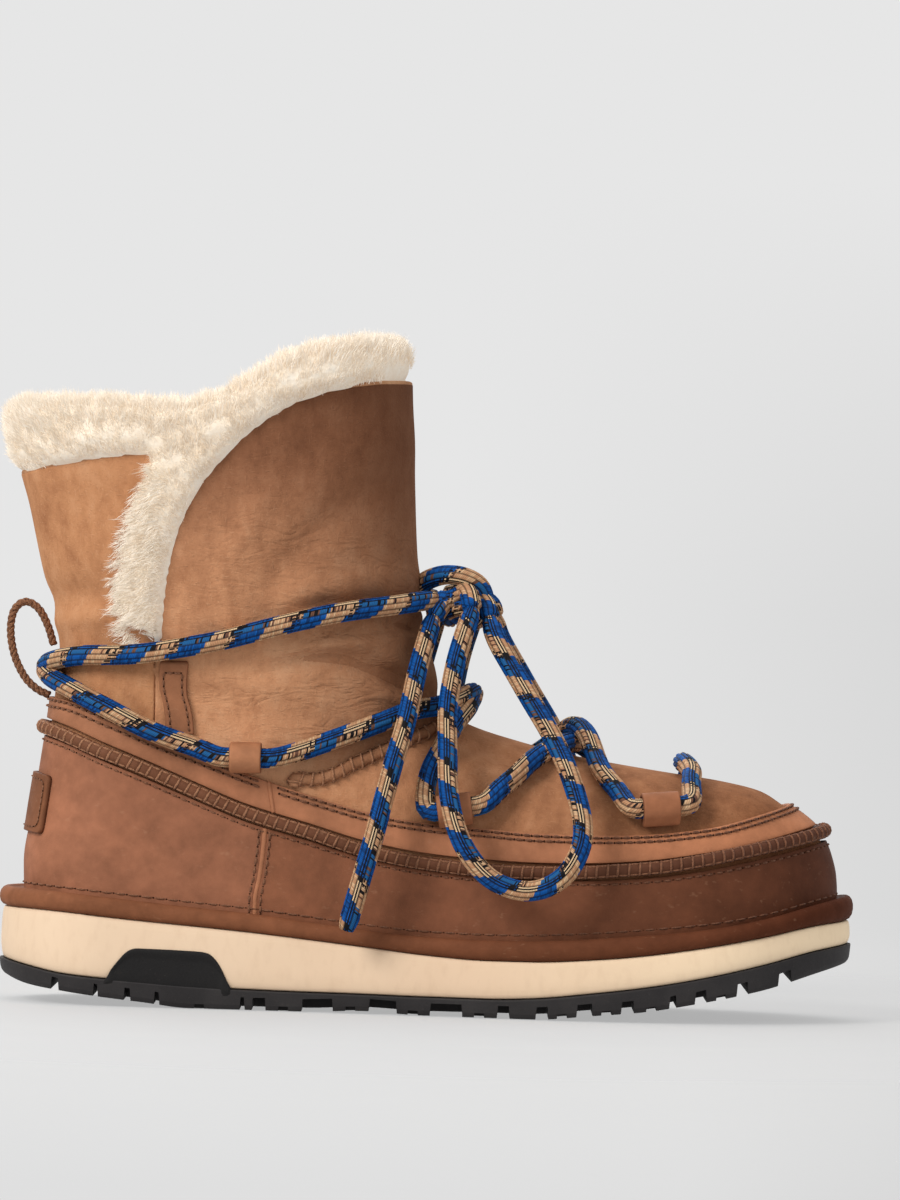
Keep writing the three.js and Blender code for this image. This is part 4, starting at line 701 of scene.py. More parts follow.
def braid_tube(name, path, material, start=0.0, pace=1.0):
    """Round braid with lengthwise ribs; its uv holds millimetres along and share of a turn."""
    points, _ = resample(softened(path), BRAID_STEP)
    reach = ribbed_reach(len(points))
    for k, share in ((0, 0.74), (1, 0.9), (-1, 0.74), (-2, 0.9)):
        reach[k] *= share
    verts, faces, uv = tube_mesh(points, reach, BRAID_SIDES)
    uv[:, 0] = uv[:, 0] * pace + start
    faces = faces.tolist() + tube_caps(len(points), BRAID_SIDES)
    return add_mesh(name, verts, faces, material, uv), points


def build_lace(material):
    main, _ = braid_tube("lace_strands", spline(lace_route(), 4), material)
    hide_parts("lace")
    for side, outer in SIDES:
        for kind, table, pull, start, far in (("loop", LOOP, INNER_LOOP_PULL, 5.0, "object"),
                                              ("end", END, INNER_END_PULL, 2.0, "bare")):
            path = spline(bow_points(table, outer, pull))
            piece, path = braid_tube("bow_%s_%s" % (kind, side), path, material, start, BOW_PACE)
            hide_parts("lace_%s_%s" % (kind, side))


def build_knot(material):
    wraps = [
        [(-4.5, 6, 136), (-4.5, 0, 142), (1.5, -5.5, 145.2), (8.5, -7.5, 145.2), (14.2, -6.5, 142.5),
         (16.4, -4, 137.5), (15.5, 0, 132), (11, 4, 129.5)],
        [(0.1, -11, 137.2), (4.5, -10.2, 137), (9.5, -7, 139.5), (12, -1, 141.5), (9, 5, 140),
         (3, 7, 138.5)],
        [(6, 5, 131), (3.5, -2, 132.5), (6, -8.5, 134.5), (11.5, -10, 135.6), (15, -4.5, 134)],
        [(9.5, -6, 141), (11.5, -12.5, 138.5), (12.5, -15.5, 134.2)],
        [(14, -3.5, 139), (17.5, -8.5, 135), (18.5, -11.5, 131)],
        [(5, -5.5, 138), (2, -11.5, 135), (-0.6, -14.8, 130.8)],
        [(9.5, 3, 141), (12.5, 5.5, 138.8), (14.0, 8.4, 135.1)],
        [(14, 1, 139), (18.6, 2, 136), (20.0, 3.9, 131.9)],
        [(4, 5, 138), (2, 8, 135), (0.9, 10.4, 131.7)],
    ]
    verts, faces, uvs = [], [], []
    total = 0
    for number, wrap in enumerate(wraps):
        points, _ = resample(spline(wrap), 1.2)
        reach = ribbed_reach(len(points))
        reach[[0, -1]] *= 0.6
        v, f, uv = tube_mesh(points, reach, BRAID_SIDES)
        uv[:, 0] = uv[:, 0] * BOW_PACE + 23.0 * number
        verts.append(v)
        uvs.append(uv)
        faces.extend((f + total).tolist() + tube_caps(len(points), BRAID_SIDES, total))
        total += len(v)
    knot = add_mesh("bow_knot", np.vstack(verts), faces, material, np.vstack(uvs))
    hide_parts("lace_knot")


build_camera()


# Materials
def srgb(red, green, blue):
    out = []
    for value in (red, green, blue):
        v = value / 255
        out.append(v / 12.92 if v <= 0.04045 else ((v + 0.055) / 1.055) ** 2.4)
    return (*out, 1.0)


class Nodes:
    """Small helper that builds a material's node tree."""

    def __init__(self, name, roughness=0.8, sheen=0.0, specular=0.5, sheen_tint=(1, 1, 1, 1)):
        self.material = bpy.data.materials.new(name)
        self.material.use_nodes = True
        self.tree = self.material.node_tree
        self.shader = self.tree.nodes["Principled BSDF"]
        self.shader.inputs["Roughness"].default_value = roughness
        self.shader.inputs["Sheen Weight"].default_value = sheen
        self.shader.inputs["Sheen Roughness"].default_value = 0.45
        self.shader.inputs["Sheen Tint"].default_value = sheen_tint
        self.shader.inputs["Specular IOR Level"].default_value = specular

    def node(self, kind, **settings):
        node = self.tree.nodes.new(kind)
        for key, value in settings.items():
            setattr(node, key, value)
        return node

    def put(self, socket, value):
        if isinstance(value, bpy.types.NodeSocket):
            self.tree.links.new(value, socket)
        else:
            socket.default_value = value

    def object_place(self, scale=(1, 1, 1)):
        place = self.node("ShaderNodeTexCoord").outputs["Object"]
        if scale == (1, 1, 1):
            return place
        mapping = self.node("ShaderNodeMapping")
        self.put(mapping.inputs["Vector"], place)
        mapping.inputs["Scale"].default_value = scale
        return mapping.outputs["Vector"]

    def noise(self, size_mm, detail=3.0, rough=0.55, stretch=(1, 1, 1), distortion=0.0):
        noise = self.node("ShaderNodeTexNoise")
        self.put(noise.inputs["Vector"], self.object_place(stretch))
        noise.inputs["Scale"].default_value = 1000.0 / size_mm
        noise.inputs["Detail"].default_value = detail
        noise.inputs["Roughness"].default_value = rough
        noise.inputs["Distortion"].default_value = distortion
        return noise.outputs["Fac"]

    def cells(self, size_mm):
        cells = self.node("ShaderNodeTexVoronoi", feature="DISTANCE_TO_EDGE")
        self.put(cells.inputs["Vector"], self.object_place())
        cells.inputs["Scale"].default_value = 1000.0 / size_mm
        return cells.outputs["Distance"]

    def ramp(self, factor, low, high, from_value=0.0, to_value=1.0):
        ramp = self.node("ShaderNodeMapRange", clamp=True)
        self.put(ramp.inputs["Value"], factor)
        ramp.inputs["From Min"].default_value = low
        ramp.inputs["From Max"].default_value = high
        ramp.inputs["To Min"].default_value = from_value
        ramp.inputs["To Max"].default_value = to_value
        return ramp.outputs["Result"]

    def math(self, operation, a, b=0.0, c=0.0):
        node = self.node("ShaderNodeMath", operation=operation)
        for socket, value in zip(node.inputs, (a, b, c)):
            self.put(socket, value)
        return node.outputs[0]

    def colours(self, factor, stops):
        ramp = self.node("ShaderNodeValToRGB")
        elements = ramp.color_ramp.elements
        while len(elements) < len(stops):
            elements.new(0.5)
        for element, (position, colour) in zip(elements, stops):
            element.position = position
            element.color = colour
        self.put(ramp.inputs["Fac"], factor)
        return ramp.outputs["Color"]

    def blend(self, factor, a, b):
        node = self.node("ShaderNodeMix", data_type="RGBA")
        self.put(node.inputs["Factor"], factor)
        self.put(node.inputs["A"], a)
        self.put(node.inputs["B"], b)
        return node.outputs["Result"]

    def bump(self, height, strength, distance_mm, normal=None):
        bump = self.node("ShaderNodeBump")
        bump.inputs["Strength"].default_value = strength
        bump.inputs["Distance"].default_value = distance_mm * 0.001
        self.put(bump.inputs["Height"], height)
        if normal is not None:
            self.put(bump.inputs["Normal"], normal)
        return bump.outputs["Normal"]

    def part(self, place, key):
        split = self.node("ShaderNodeSeparateXYZ")
        self.put(split.inputs[0], place)
        return split.outputs[key]

    def attribute(self, name):
        return self.node("ShaderNodeAttribute", attribute_name=name).outputs["Fac"]

    def finish(self, colour, roughness=None, normal=None):
        self.put(self.shader.inputs["Base Color"], colour)
        if roughness is not None:
            self.put(self.shader.inputs["Roughness"], roughness)
        if normal is not None:
            self.put(self.shader.inputs["Normal"], normal)
        return self.material


NAP = srgb(222, 166, 124)


def suede_surface(n, near, far, along, reach, shade, wrinkles=False):
    """Napped suede between two sets of dark, base and light tones, with clouds, pits and short hairs."""
    clouds = n.noise(30, 4, 0.6, distortion=0.6)
    brushed = n.noise(5.5, 4, 0.62, stretch=(1.0, 1.0, 0.6))
    grain = n.noise(0.7, 2, 0.7)
    speck = n.noise(1.6, 2, 0.6)
    tone = n.math("ADD", n.math("MULTIPLY", clouds, 0.55), n.math("MULTIPLY", brushed, 0.45))
    near_tone = n.colours(tone, [(0.30, near[0]), (0.5, near[1]), (0.70, near[2])])
    far_tone = n.colours(tone, [(0.30, far[0]), (0.5, far[1]), (0.70, far[2])])
    drift = n.math("ADD", along, n.math("MULTIPLY", n.math("SUBTRACT", clouds, 0.5), 0.05))
    share = n.ramp(drift, reach[0], reach[1])
    colour = n.blend(share, near_tone, far_tone)
    light = n.blend(share, near[2], far[2])
    dark = n.blend(share, near[0], far[0])
    run_up = n.noise(0.8, 1, 0.5, stretch=(0.35, 1, 1.5))
    run_across = n.noise(0.8, 1, 0.5, stretch=(1.5, 1, 0.35))
    hairs = n.math("MAXIMUM", n.ramp(run_up, 0.62, 0.76), n.ramp(run_across, 0.62, 0.76))
    colour = n.blend(n.math("MULTIPLY", hairs, 0.36), colour, light)
    pits = n.ramp(grain, 0.28, 0.42, 1.0, 0.0)
    colour = n.blend(n.math("MULTIPLY", pits, 0.34), colour, dark)
    colour = n.blend(n.math("MULTIPLY", n.ramp(speck, 0.3, 0.42, 1.0, 0.0), 0.25), colour, dark)
    colour = n.blend(n.math("MULTIPLY", n.attribute("edge_shade"), shade), colour, dark)
    height = n.math("ADD", n.math("MULTIPLY", grain, 0.8), n.math("MULTIPLY", hairs, 0.4))
    normal = n.bump(height, 0.6, 0.4)
    normal = n.bump(brushed, 0.2, 1.3, normal)
    if wrinkles:
        folds = n.noise(7.5, 2, 0.5, stretch=(0.5, 1, 1.4), distortion=0.8)
        ridge = n.math("ABSOLUTE", n.math("SUBTRACT", folds, 0.5))
        crease = n.ramp(ridge, 0.0, 0.16)
        normal = n.bump(n.math("MULTIPLY", crease, n.attribute("wrinkle")), 0.5, 1.2, normal)
    return colour, normal


def suede(name, near, far=None, reach=(-0.03, 0.11), shade=0.5):
    n = Nodes(name, roughness=0.93, sheen=0.12, specular=0.12, sheen_tint=NAP)
    along = n.part(n.object_place(), "X")
    colour, normal = suede_surface(n, near, far or near, along, reach, shade)
    return n.finish(colour, normal=normal)


def shaft_suede():
    """The shaft's suede: tan below, ruddier on the flap, darkest at its top, with painted shade down its
    front.
    """
    n = Nodes("shaft_suede", roughness=0.93, sheen=0.12, specular=0.12, sheen_tint=NAP)
    low = (srgb(170, 116, 82), srgb(208, 150, 110), srgb(226, 174, 134))
    top = (srgb(116, 74, 52), srgb(158, 107, 77), srgb(184, 132, 99))
    up = n.part(n.object_place(), "Z")
    colour, normal = suede_surface(n, low, top, up, (0.120, 0.182), 0.55, wrinkles=True)
    deep = srgb(82, 47, 30)
    crown = n.math("MULTIPLY", n.ramp(up, 0.155, 0.208), 0.44)
    colour = n.blend(crown, colour, deep)
    # Painted shade: the suede darkens towards the front, which faces away from the light.
    front = n.math("MULTIPLY", n.ramp(n.part(n.object_place(), "X"), -0.058, -0.010), 0.64)
    return n.finish(n.blend(front, colour, deep), normal=normal)


def leather(name, heel, toe, gloss=0.58, specular=0.13):
    """Smooth waxed leather running from its heel tone to its toe tone, partly painted light and shade and
    partly its own tone, with worn lights and fine grain.
    """
    n = Nodes(name, roughness=gloss, specular=specular)
    along = n.ramp(n.part(n.object_place(), "X"), -0.13, 0.13)
    clouds = n.noise(30, 4, 0.6, distortion=0.5)
    mottle = n.noise(5, 3, 0.6)
    grain = n.cells(0.9)
    fine = n.noise(0.5, 2, 0.6)
    # The heel-to-toe blend is partly painted light and shade, following the light's fall from the heel end to
    # the toe, and partly the leather's own tone.
    base = n.blend(along, heel, toe)
    tone = n.math("ADD", n.math("MULTIPLY", clouds, 0.6), n.math("MULTIPLY", mottle, 0.4))
    shade = n.ramp(tone, 0.34, 0.66, 0.75, 1.22)
    bright = n.node("ShaderNodeVectorMath", operation="SCALE")
    n.put(bright.inputs[0], base)
    n.put(bright.inputs["Scale"], shade)
    colour = bright.outputs[0]
    scuffs = n.ramp(n.noise(2.2, 2, 0.7, stretch=(0.5, 1, 1)), 0.64, 0.78)
    light = n.blend(0.3, base, srgb(226, 180, 144))
    colour = n.blend(n.math("MULTIPLY", scuffs, 0.34), colour, light)
    colour = n.blend(n.math("MULTIPLY", n.attribute("edge_shade"), 0.5), colour, srgb(58, 33, 21))
    height = n.math("ADD", n.math("MULTIPLY", n.ramp(grain, 0.0, 0.22), 0.5), n.math("MULTIPLY", fine, 0.5))
    rough = n.ramp(tone, 0.3, 0.7, gloss + 0.10, gloss - 0.06)
    soft = n.bump(mottle, 0.14, 0.8)
    return n.finish(colour, rough, n.bump(height, 0.22, 0.18, soft))


def thread(name, colour, dark, toe=None, toe_dark=None):
    n = Nodes(name, roughness=0.75, sheen=0.1, specular=0.2)
    twist = n.noise(0.5, 2, 0.6)
    tone = n.colours(twist, [(0.35, dark), (0.6, colour)])
    # Toe tones: darker towards the toe, painted shade away from the light.
    if toe is not None:
        along = n.ramp(n.part(n.object_place(), "X"), -0.13, 0.12)
        tone = n.blend(along, tone, n.colours(twist, [(0.35, toe_dark), (0.6, toe)]))
    return n.finish(tone, normal=n.bump(twist, 0.5, 0.2))


def plain_dark(name, colour):
    # Used for the needle holes: its dark tone is painted shade in the holes.
    n = Nodes(name, roughness=0.95, specular=0.1)
    grain = n.noise(0.6, 2, 0.6)
    return n.finish(n.blend(n.ramp(grain, 0.3, 0.7, 0, 0.5), colour, srgb(20, 12, 8)))


def foam():
    """Moulded cream foam: fine pebble skin and faint upright flow marks, painted lighter at the toe."""
    n = Nodes("midsole_foam", roughness=0.68, specular=0.3)
    # Painted light: the base is lighter at the toe to make up for the shade the lamps leave there.
    along = n.ramp(n.part(n.object_place(), "X"), -0.14, 0.145)
    base = n.colours(along, [(0.0, srgb(238, 211, 181)), (0.55, srgb(234, 204, 173)),
                             (1.0, srgb(255, 230, 194))])
    clouds = n.noise(22, 3, 0.5, stretch=(1, 1, 0.4))
    colour = n.blend(n.ramp(clouds, 0.35, 0.7, 0.0, 0.1), base, srgb(205, 168, 134))
    flow = n.noise(3.0, 2, 0.5, stretch=(1, 1, 0.5))
    pebble = n.noise(0.55, 2, 0.6)
    colour = n.blend(n.ramp(flow, 0.5, 0.75, 0.0, 0.12), colour, srgb(190, 152, 118))
    height = n.math("ADD", n.math("MULTIPLY", pebble, 0.6), n.math("MULTIPLY", flow, 0.6))
    return n.finish(colour, normal=n.bump(height, 0.22, 0.25))


def rubber(name, low, high):
    n = Nodes(name, roughness=0.62, specular=0.3)
    grain = n.noise(0.5, 3, 0.6)
    clouds = n.noise(16, 3, 0.6)
    colour = n.colours(clouds, [(0.3, low), (0.7, high)])
    dust = n.ramp(n.noise(1.4, 3, 0.7), 0.62, 0.8)
    colour = n.blend(n.math("MULTIPLY", dust, 0.22), colour, srgb(92, 86, 82))
    return n.finish(colour, n.ramp(grain, 0.3, 0.7, 0.52, 0.72), n.bump(grain, 0.25, 0.2))


def wool_material(shadow, base, tip):
    """Cream wool pile, clouded and lumpy in its tone, with a faint painted glow."""
    n = Nodes("shearling_pile", roughness=0.9, sheen=0.2, specular=0.1, sheen_tint=srgb(255, 240, 214))
    # Painted light: a faint cream glow brightens the pile.
    n.shader.inputs["Emission Color"].default_value = srgb(255, 240, 220)
    n.shader.inputs["Emission Strength"].default_value = 0.09
    clouds = n.noise(9, 3, 0.6)
    locks = n.noise(2.6, 3, 0.65)
    tone = n.math("ADD", n.math("MULTIPLY", clouds, 0.5), n.math("MULTIPLY", locks, 0.5))
    colour = n.colours(tone, [(0.30, shadow), (0.5, base), (0.68, tip)])
    return n.finish(colour, normal=n.bump(locks, 0.3, 1.2))


def fibre_material():
    """Wool fibre, creamier at its root; each fibre carries its own tone, and a faint painted glow brightens
    it.
    """
    n = Nodes("wool_fibre", roughness=0.85, sheen=0.2, specular=0.1, sheen_tint=srgb(255, 240, 214))
    # Painted light: a faint cream glow brightens the fibres.
    n.shader.inputs["Emission Color"].default_value = srgb(255, 240, 220)
    n.shader.inputs["Emission Strength"].default_value = 0.09
    tip = n.attribute("fibre_share")
    shade = n.attribute("fibre_tone")
    pale = n.colours(shade, [(0.0, srgb(236, 224, 208)), (0.5, srgb(244, 235, 222)),
                             (1.0, srgb(251, 246, 238))])
    root = n.colours(shade, [(0.0, srgb(228, 212, 194)), (1.0, srgb(241, 230, 215))])
    colour = n.blend(n.ramp(tip, 0.0, 0.5), root, pale)
    return n.finish(colour)


def braid_material():
    """Round braid charted by rib and by length: royal and peach blocks, then flecked and pinstriped ribs,
    with painted shade between yarns and at rib edges.
    """
    n = Nodes("lace_braid", roughness=0.62, specular=0.16)
    uv = n.node("ShaderNodeUVMap").outputs[0]
    along, turn = n.part(uv, "X"), n.part(uv, "Y")
    ribs = n.math("MULTIPLY", turn, float(BRAID_RIBS))
    rib = n.math("FLOOR", ribs)
    rib_place = n.math("FRACT", ribs)
    yarn, period = 0.6, 20.0
    slope = n.math("SUBTRACT", rib_place, 0.5)
    place = n.math("ADD", n.math("ADD", along, n.math("MULTIPLY", rib, 2.0)), slope)
    pick = n.math("DIVIDE", place, yarn)
    step = n.math("FLOOR", pick)
    share = n.math("FRACT", n.math("DIVIDE", n.math("MULTIPLY", step, yarn), period))

    def chance(offset):
        cell = n.node("ShaderNodeTexWhiteNoise", noise_dimensions="3D")
        joined = n.node("ShaderNodeCombineXYZ")
        n.put(joined.inputs[0], step)
        n.put(joined.inputs[1], rib)
        joined.inputs[2].default_value = offset
        n.put(cell.inputs["Vector"], joined.outputs[0])
        return cell.outputs["Value"]

    royal, deep, denim = srgb(0, 86, 166), srgb(0, 36, 80), srgb(28, 96, 154)
    peach, cream, brown, black = srgb(196, 146, 108), srgb(232, 198, 156), srgb(112, 76, 60), srgb(14, 12, 16)
    blue = n.blend(n.ramp(chance(1.0), 0.3, 1.0, 0.0, 0.8), royal, deep)
    warm = n.blend(n.ramp(chance(2.0), 0.4, 1.0, 0.0, 0.7), peach, cream)
    block = n.math("FLOOR", n.math("DIVIDE", n.math("MULTIPLY", step, yarn), period))
    uneven = n.node("ShaderNodeTexWhiteNoise", noise_dimensions="2D")
    pair = n.node("ShaderNodeCombineXYZ")
    n.put(pair.inputs[0], block)
    n.put(pair.inputs[1], rib)
    n.put(uneven.inputs["Vector"], pair.outputs[0])
    is_blue = n.math("LESS_THAN", share, n.math("MULTIPLY_ADD", uneven.outputs["Value"], 0.2, 0.42))
    solid = n.blend(is_blue, warm, blue)
    fleck = n.blend(n.math("LESS_THAN", chance(4.0), 0.5), brown, black)
    fleck_blue = n.blend(n.math("LESS_THAN", chance(3.0), 0.3), denim, fleck)
    fleck_warm = n.blend(n.math("LESS_THAN", chance(3.0), 0.3), warm, fleck)
    flecked = n.blend(is_blue, fleck_warm, fleck_blue)
    side = n.math("GREATER_THAN", n.math("PINGPONG", rib_place, 0.25), 0.125)
    lines = n.blend(side, black, cream)
    pinned = n.blend(is_blue, lines, n.blend(side, black, blue))
    zone = n.math("MODULO", rib, 5.0)
    colour = n.blend(n.math("GREATER_THAN", zone, 2.5), solid, flecked)
    colour = n.blend(n.math("GREATER_THAN", zone, 3.5), colour, pinned)
    turnover = n.math("LESS_THAN", n.math("PINGPONG", n.math("ADD", share, 0.48), 0.5), 0.085)
    dashes = n.math("MULTIPLY", turnover, n.math("MULTIPLY", side, n.math("GREATER_THAN", zone, 0.5)))
    dashes = n.math("MULTIPLY", dashes, n.math("LESS_THAN", chance(5.0), 0.7))
    colour = n.blend(dashes, colour, black)
    across = n.math("FRACT", pick)
    off_middle = n.math("ABSOLUTE", n.math("SUBTRACT", n.math("MULTIPLY", across, 2.0), 1.0))
    hump = n.math("SUBTRACT", 1.0, off_middle)
    # Painted shade: darker in the valleys between yarns.
    valley_shade = n.ramp(hump, 0.0, 0.5, 1.0, 0.0)
    colour = n.blend(n.math("MULTIPLY", valley_shade, 0.42), colour, black)
    rib_edge = n.math("ABSOLUTE", n.math("SUBTRACT", n.math("MULTIPLY", rib_place, 2.0), 1.0))
    # Painted shade: darker along the edges of each rib.
    colour = n.blend(n.ramp(rib_edge, 0.55, 1.0, 0.0, 0.85), colour, black)
    crown = n.math("SUBTRACT", 1.0, n.math("MULTIPLY", rib_edge, rib_edge))
    height = n.math("MULTIPLY", n.ramp(hump, 0.0, 0.7), crown)
    return n.finish(colour, normal=n.bump(height, 0.55, 0.25))


# Suede upper: rear panel, shaft with its flap, vamp, and the hidden wall below
SLIT_FOOT_Z = 112.0
FLAP_EDGE = np.array([
    (-91.5, 112), (-90.4, 122.4), (-89.9, 131), (-89.2, 140), (-87.1, 151.4), (-84.9, 159.2), (-81.3, 167),
    (-76.7, 174.9), (-72, 180.8), (-65.4, 188.2), (-57.9, 194.5), (-48.5, 200.4), (-38.9, 204.2),
    (-29.3, 206.6), (-19.7, 208.2), (0, 209.6)], float)
REAR_EDGE = np.array([
    (-165, 172), (-138, 175.7), (-125.5, 178.5), (-111, 181.3), (-96.5, 182.7), (-91.5, 180),
    (-93.5, 160), (-93.4, 140), (-92.4, 122), (-92.3, 112)], float)
REAR_TOP = REAR_EDGE[:5]
REAR_SLIT = REAR_EDGE[5:][::-1]
SEAM = columns("x z", [
    (-50, 74.5), (-47.5, 77.2), (-41, 76.4), (-34, 77.6), (-25.9, 81.9), (-16.4, 86.4),
    (-6.7, 91), (3, 95.6)])
SEAM_TOP_RING = 9.5
LOW_RING = 1.55


def seam_curve():
    """Ring of the vamp seam by turn, on the outer side from its foot to the instep."""
    stops = [locate(x, z, True) for x, z in zip(SEAM["x"][1:], SEAM["z"][1:])]
    turns = np.array([t for _, t in stops] + [0.5])
    rings = np.array([r for r, _ in stops] + [SEAM_TOP_RING])
    order = np.argsort(turns)
    turns, rings = turns[order], rings[order]
    turns = np.concatenate([[turns[0] - 0.004], turns])
    rings = np.concatenate([[LOW_RING], rings])
    fine = np.linspace(turns[0], turns[-1], 240)
    smoothed = np.interp(fine, turns, rings)
    kernel = np.hanning(15)
    padded = np.concatenate([np.full(7, smoothed[0]), smoothed, 2 * smoothed[-1] - smoothed[-8:-1][::-1]])
    smoothed = np.convolve(padded, kernel / kernel.sum(), mode="valid")
    return fine, smoothed


SEAM_TURNS, SEAM_RINGS = seam_curve()
SEAM_START = SEAM_TURNS[0]


def seam_ring(turn):
    folded = np.where(turn > 0.5, 1 - turn, turn)
    return np.interp(folded, SEAM_TURNS, SEAM_RINGS)


def ring_where(turn, height_of, low=2.0, high=17.9):
    """Ring at which a column at this turn crosses a line of the side view, z = height_of(x)."""
    low = np.full(np.shape(turn), float(low))
    high = np.full(np.shape(turn), float(high))
    share = turn_share(turn)
    for _ in range(30):
        middle = (low + high) / 2
        x, z = ring_place(middle, share)
        above = z > height_of(x)
        high = np.where(above, middle, high)
        low = np.where(above, low, middle)
    return (low + high) / 2


def flap_height(x):
    return np.interp(x, FLAP_EDGE[:, 0], FLAP_EDGE[:, 1])


def rear_height(x):
    return np.interp(x, REAR_TOP[:, 0], REAR_TOP[:, 1])


def turn_of_x(ring, x):
    """Turn on the outer side where a ring passes x in the side view."""
    ring, x = np.broadcast_arrays(np.asarray(ring, float), np.asarray(x, float))
    low = np.full(ring.shape, 0.01)
    high = np.full(ring.shape, 0.49)
    for _ in range(30):
        middle = (low + high) / 2
        here, _ = ring_place(ring, turn_share(middle))
        high = np.where(here > x, middle, high)
        low = np.where(here > x, low, middle)
    return (low + high) / 2


REAR_SEAM_X = -91.8


def slit_turn(ring, edge):
    """Turn of a slit edge at each ring: the panel seam below the slit's foot, its edge above."""
    ring = np.asarray(ring, float)
    turn = turn_of_x(ring, REAR_SEAM_X)
    for _ in range(4):
        _, z = ring_place(ring, turn_share(turn))
        x = np.interp(z, edge[:, 1], edge[:, 0])
        turn = turn_of_x(ring, np.where(z < SLIT_FOOT_Z, REAR_SEAM_X, x))
    return turn


CREASES = columns("x z reach_x reach_z angle depth side", [
    (-36, 117, 20, 2.6, 0.10, -0.9, 0), (-34, 121.5, 22, 2.6, 0.16, 0.8, 0),
    (-31, 126.5, 16, 2.6, 0.14, -0.5, 0), (-20, 113, 18, 2.8, -0.25, -0.8, 0),
    (-17, 118, 14, 2.8, -0.12, 0.7, 0), (-46, 150, 26, 6, 0.9, -0.7, 0),
    (-62, 160, 20, 5, 1.1, 0.8, 0), (-30, 142, 24, 4, 0.2, 0.6, 0),
    (-28, 135, 24, 3, 0.1, -0.8, 0), (-60, 108, 24, 4, -0.15, 0.7, 0),
    (-112, 150, 14, 10, 0.5, 0.7, 0), (-120, 135, 12, 5, 0.1, -0.6, 0),
    (-114, 128, 14, 3, 0.1, 0.6, 0), (-8, 128, 10, 3, -0.3, -0.8, 0),
    (-6, 108, 12, 2.8, -0.5, -1.0, 0), (-10, 103, 14, 2.8, -0.4, 0.9, 0),
    (28, 84, 18, 2.4, -0.3, -0.5, 0), (20, 80, 20, 3.0, -0.35, 0.5, 0),
    (58, 72, 22, 4.0, -0.1, 0.5, 0), (44, 70, 22, 3.0, 0.1, -0.4, 0),
    (-26, 186, 16, 10, 0.4, 0.6, 0), (-52, 176, 14, 8, 0.8, -0.5, 0)])


def crease_lift(points):
    """Soft troughs and ridges, listed by their place in the side view."""
    x, z = points[..., 0], points[..., 2]
    lift = np.zeros(x.shape)
    for k in range(len(CREASES["x"])):
        dx, dz = x - CREASES["x"][k], z - CREASES["z"][k]
        c, s = math.cos(CREASES["angle"][k]), math.sin(CREASES["angle"][k])
        along, across = dx * c + dz * s, -dx * s + dz * c
        bow = across + 0.004 * along ** 2
        depth = CREASES["depth"][k]
        lift += (3.2 if depth < 0 else 2.0) * depth * np.exp(
            -(along / CREASES["reach_x"][k]) ** 2 - (bow / CREASES["reach_z"][k]) ** 2)
    return lift


WRINKLED = [(-34, 124, 26, 12, 1.0), (-28, 108, 24, 10, 0.8), (-52, 150, 30, 20, 0.55),
            (-14, 140, 16, 30, 0.5), (-66, 104, 24, 10, 0.45), (-30, 92, 22, 8, 0.6)]


def wrinkle_share(points):
    """How wrinkled the suede is, by its place in the side view."""
    x, z = points[..., 0], points[..., 2]
    share = np.full(x.shape, 0.12)
    for at_x, at_z, wide, high, most in WRINKLED:
        share = np.maximum(share, most * np.exp(-((x - at_x) / wide) ** 2 - ((z - at_z) / high) ** 2))
    return share


def wave(points, size, seed):
    """Cheap smooth noise from a few sines, about -1 to 1."""
    rng = np.random.default_rng(seed)
    total = np.zeros(points.shape[:-1])
    for _ in range(5):
        direction = unit(rng.normal(size=3))
        length = size * rng.uniform(0.7, 1.5)
        total += np.sin(points @ direction * 2 * np.pi / length + rng.uniform(0, 6.28))
    return total / 5


def set_attribute(piece, name, values):
    layer = piece.data.attributes.new(name, "FLOAT", "POINT")
    layer.data.foreach_set("value", np.asarray(values, np.float32).ravel())


EDGE_CELLS = 1.2


def suede_sheet(name, rings, turns, material, soften=0.7):
    """Closed suede panel with rolled edges, soft creases and gentle unevenness."""
    points = form_point(rings, turns)
    normals = form_normal(rings, turns)
    rows, cols = rings.shape
    fade = border_fade(rows, cols, EDGE_CELLS, EDGE_CELLS)
    lift = crease_lift(points) * smooth(points[..., 2], 66, 80) + 0.22 * wave(points, 26, 3)
    lift = lift - soften * (1 - fade)
    outer = points + normals * lift[..., None]
    inner = points - normals * (WALL - 0.1 - 0.4 * soften * (1 - fade))[..., None]
    piece = add_slab(name, outer, inner, material)
    shade_rim(piece, border_fade(rows, cols, EDGE_CELLS * 2.5, EDGE_CELLS * 2.5))
    set_attribute(piece, "wrinkle", np.tile(wrinkle_share(points).ravel(), 2))
    return piece


def row_shares(count, edge=0.006):
    """0 to 1 in even steps, with close rows at both ends for the rolled edge."""
    middle = np.linspace(0, 1, count)
    return np.unique(np.concatenate([[0, edge * 0.4, edge], middle[1:-1], [1 - edge, 1 - edge * 0.4, 1]]))


def build_vamp(material):
    across = SEAM_START + (1 - 2 * SEAM_START) * row_shares(130, 0.004)
    up = row_shares(64, 0.006)
    turns = np.broadcast_to(across, (len(up), len(across))).copy()
    top = seam_ring(across)
    rings = LOW_RING + (top - LOW_RING)[None, :] * up[:, None]
    return suede_sheet("suede_vamp", rings, turns, material)


SLIT_TURN = slit_turn(np.full(1, 2.0), FLAP_EDGE)[0]
SLIT_RING = ring_where(np.array([SLIT_TURN]), lambda x: np.full(np.shape(x), SLIT_FOOT_Z))[0]
LEAN_REACH = 0.05


def slit_lean(folded, edge):
    """Shift in turn that brings the columns next to the slit on to its edge."""
    return (edge - SLIT_TURN) * np.exp(-((folded - SLIT_TURN) / LEAN_REACH))


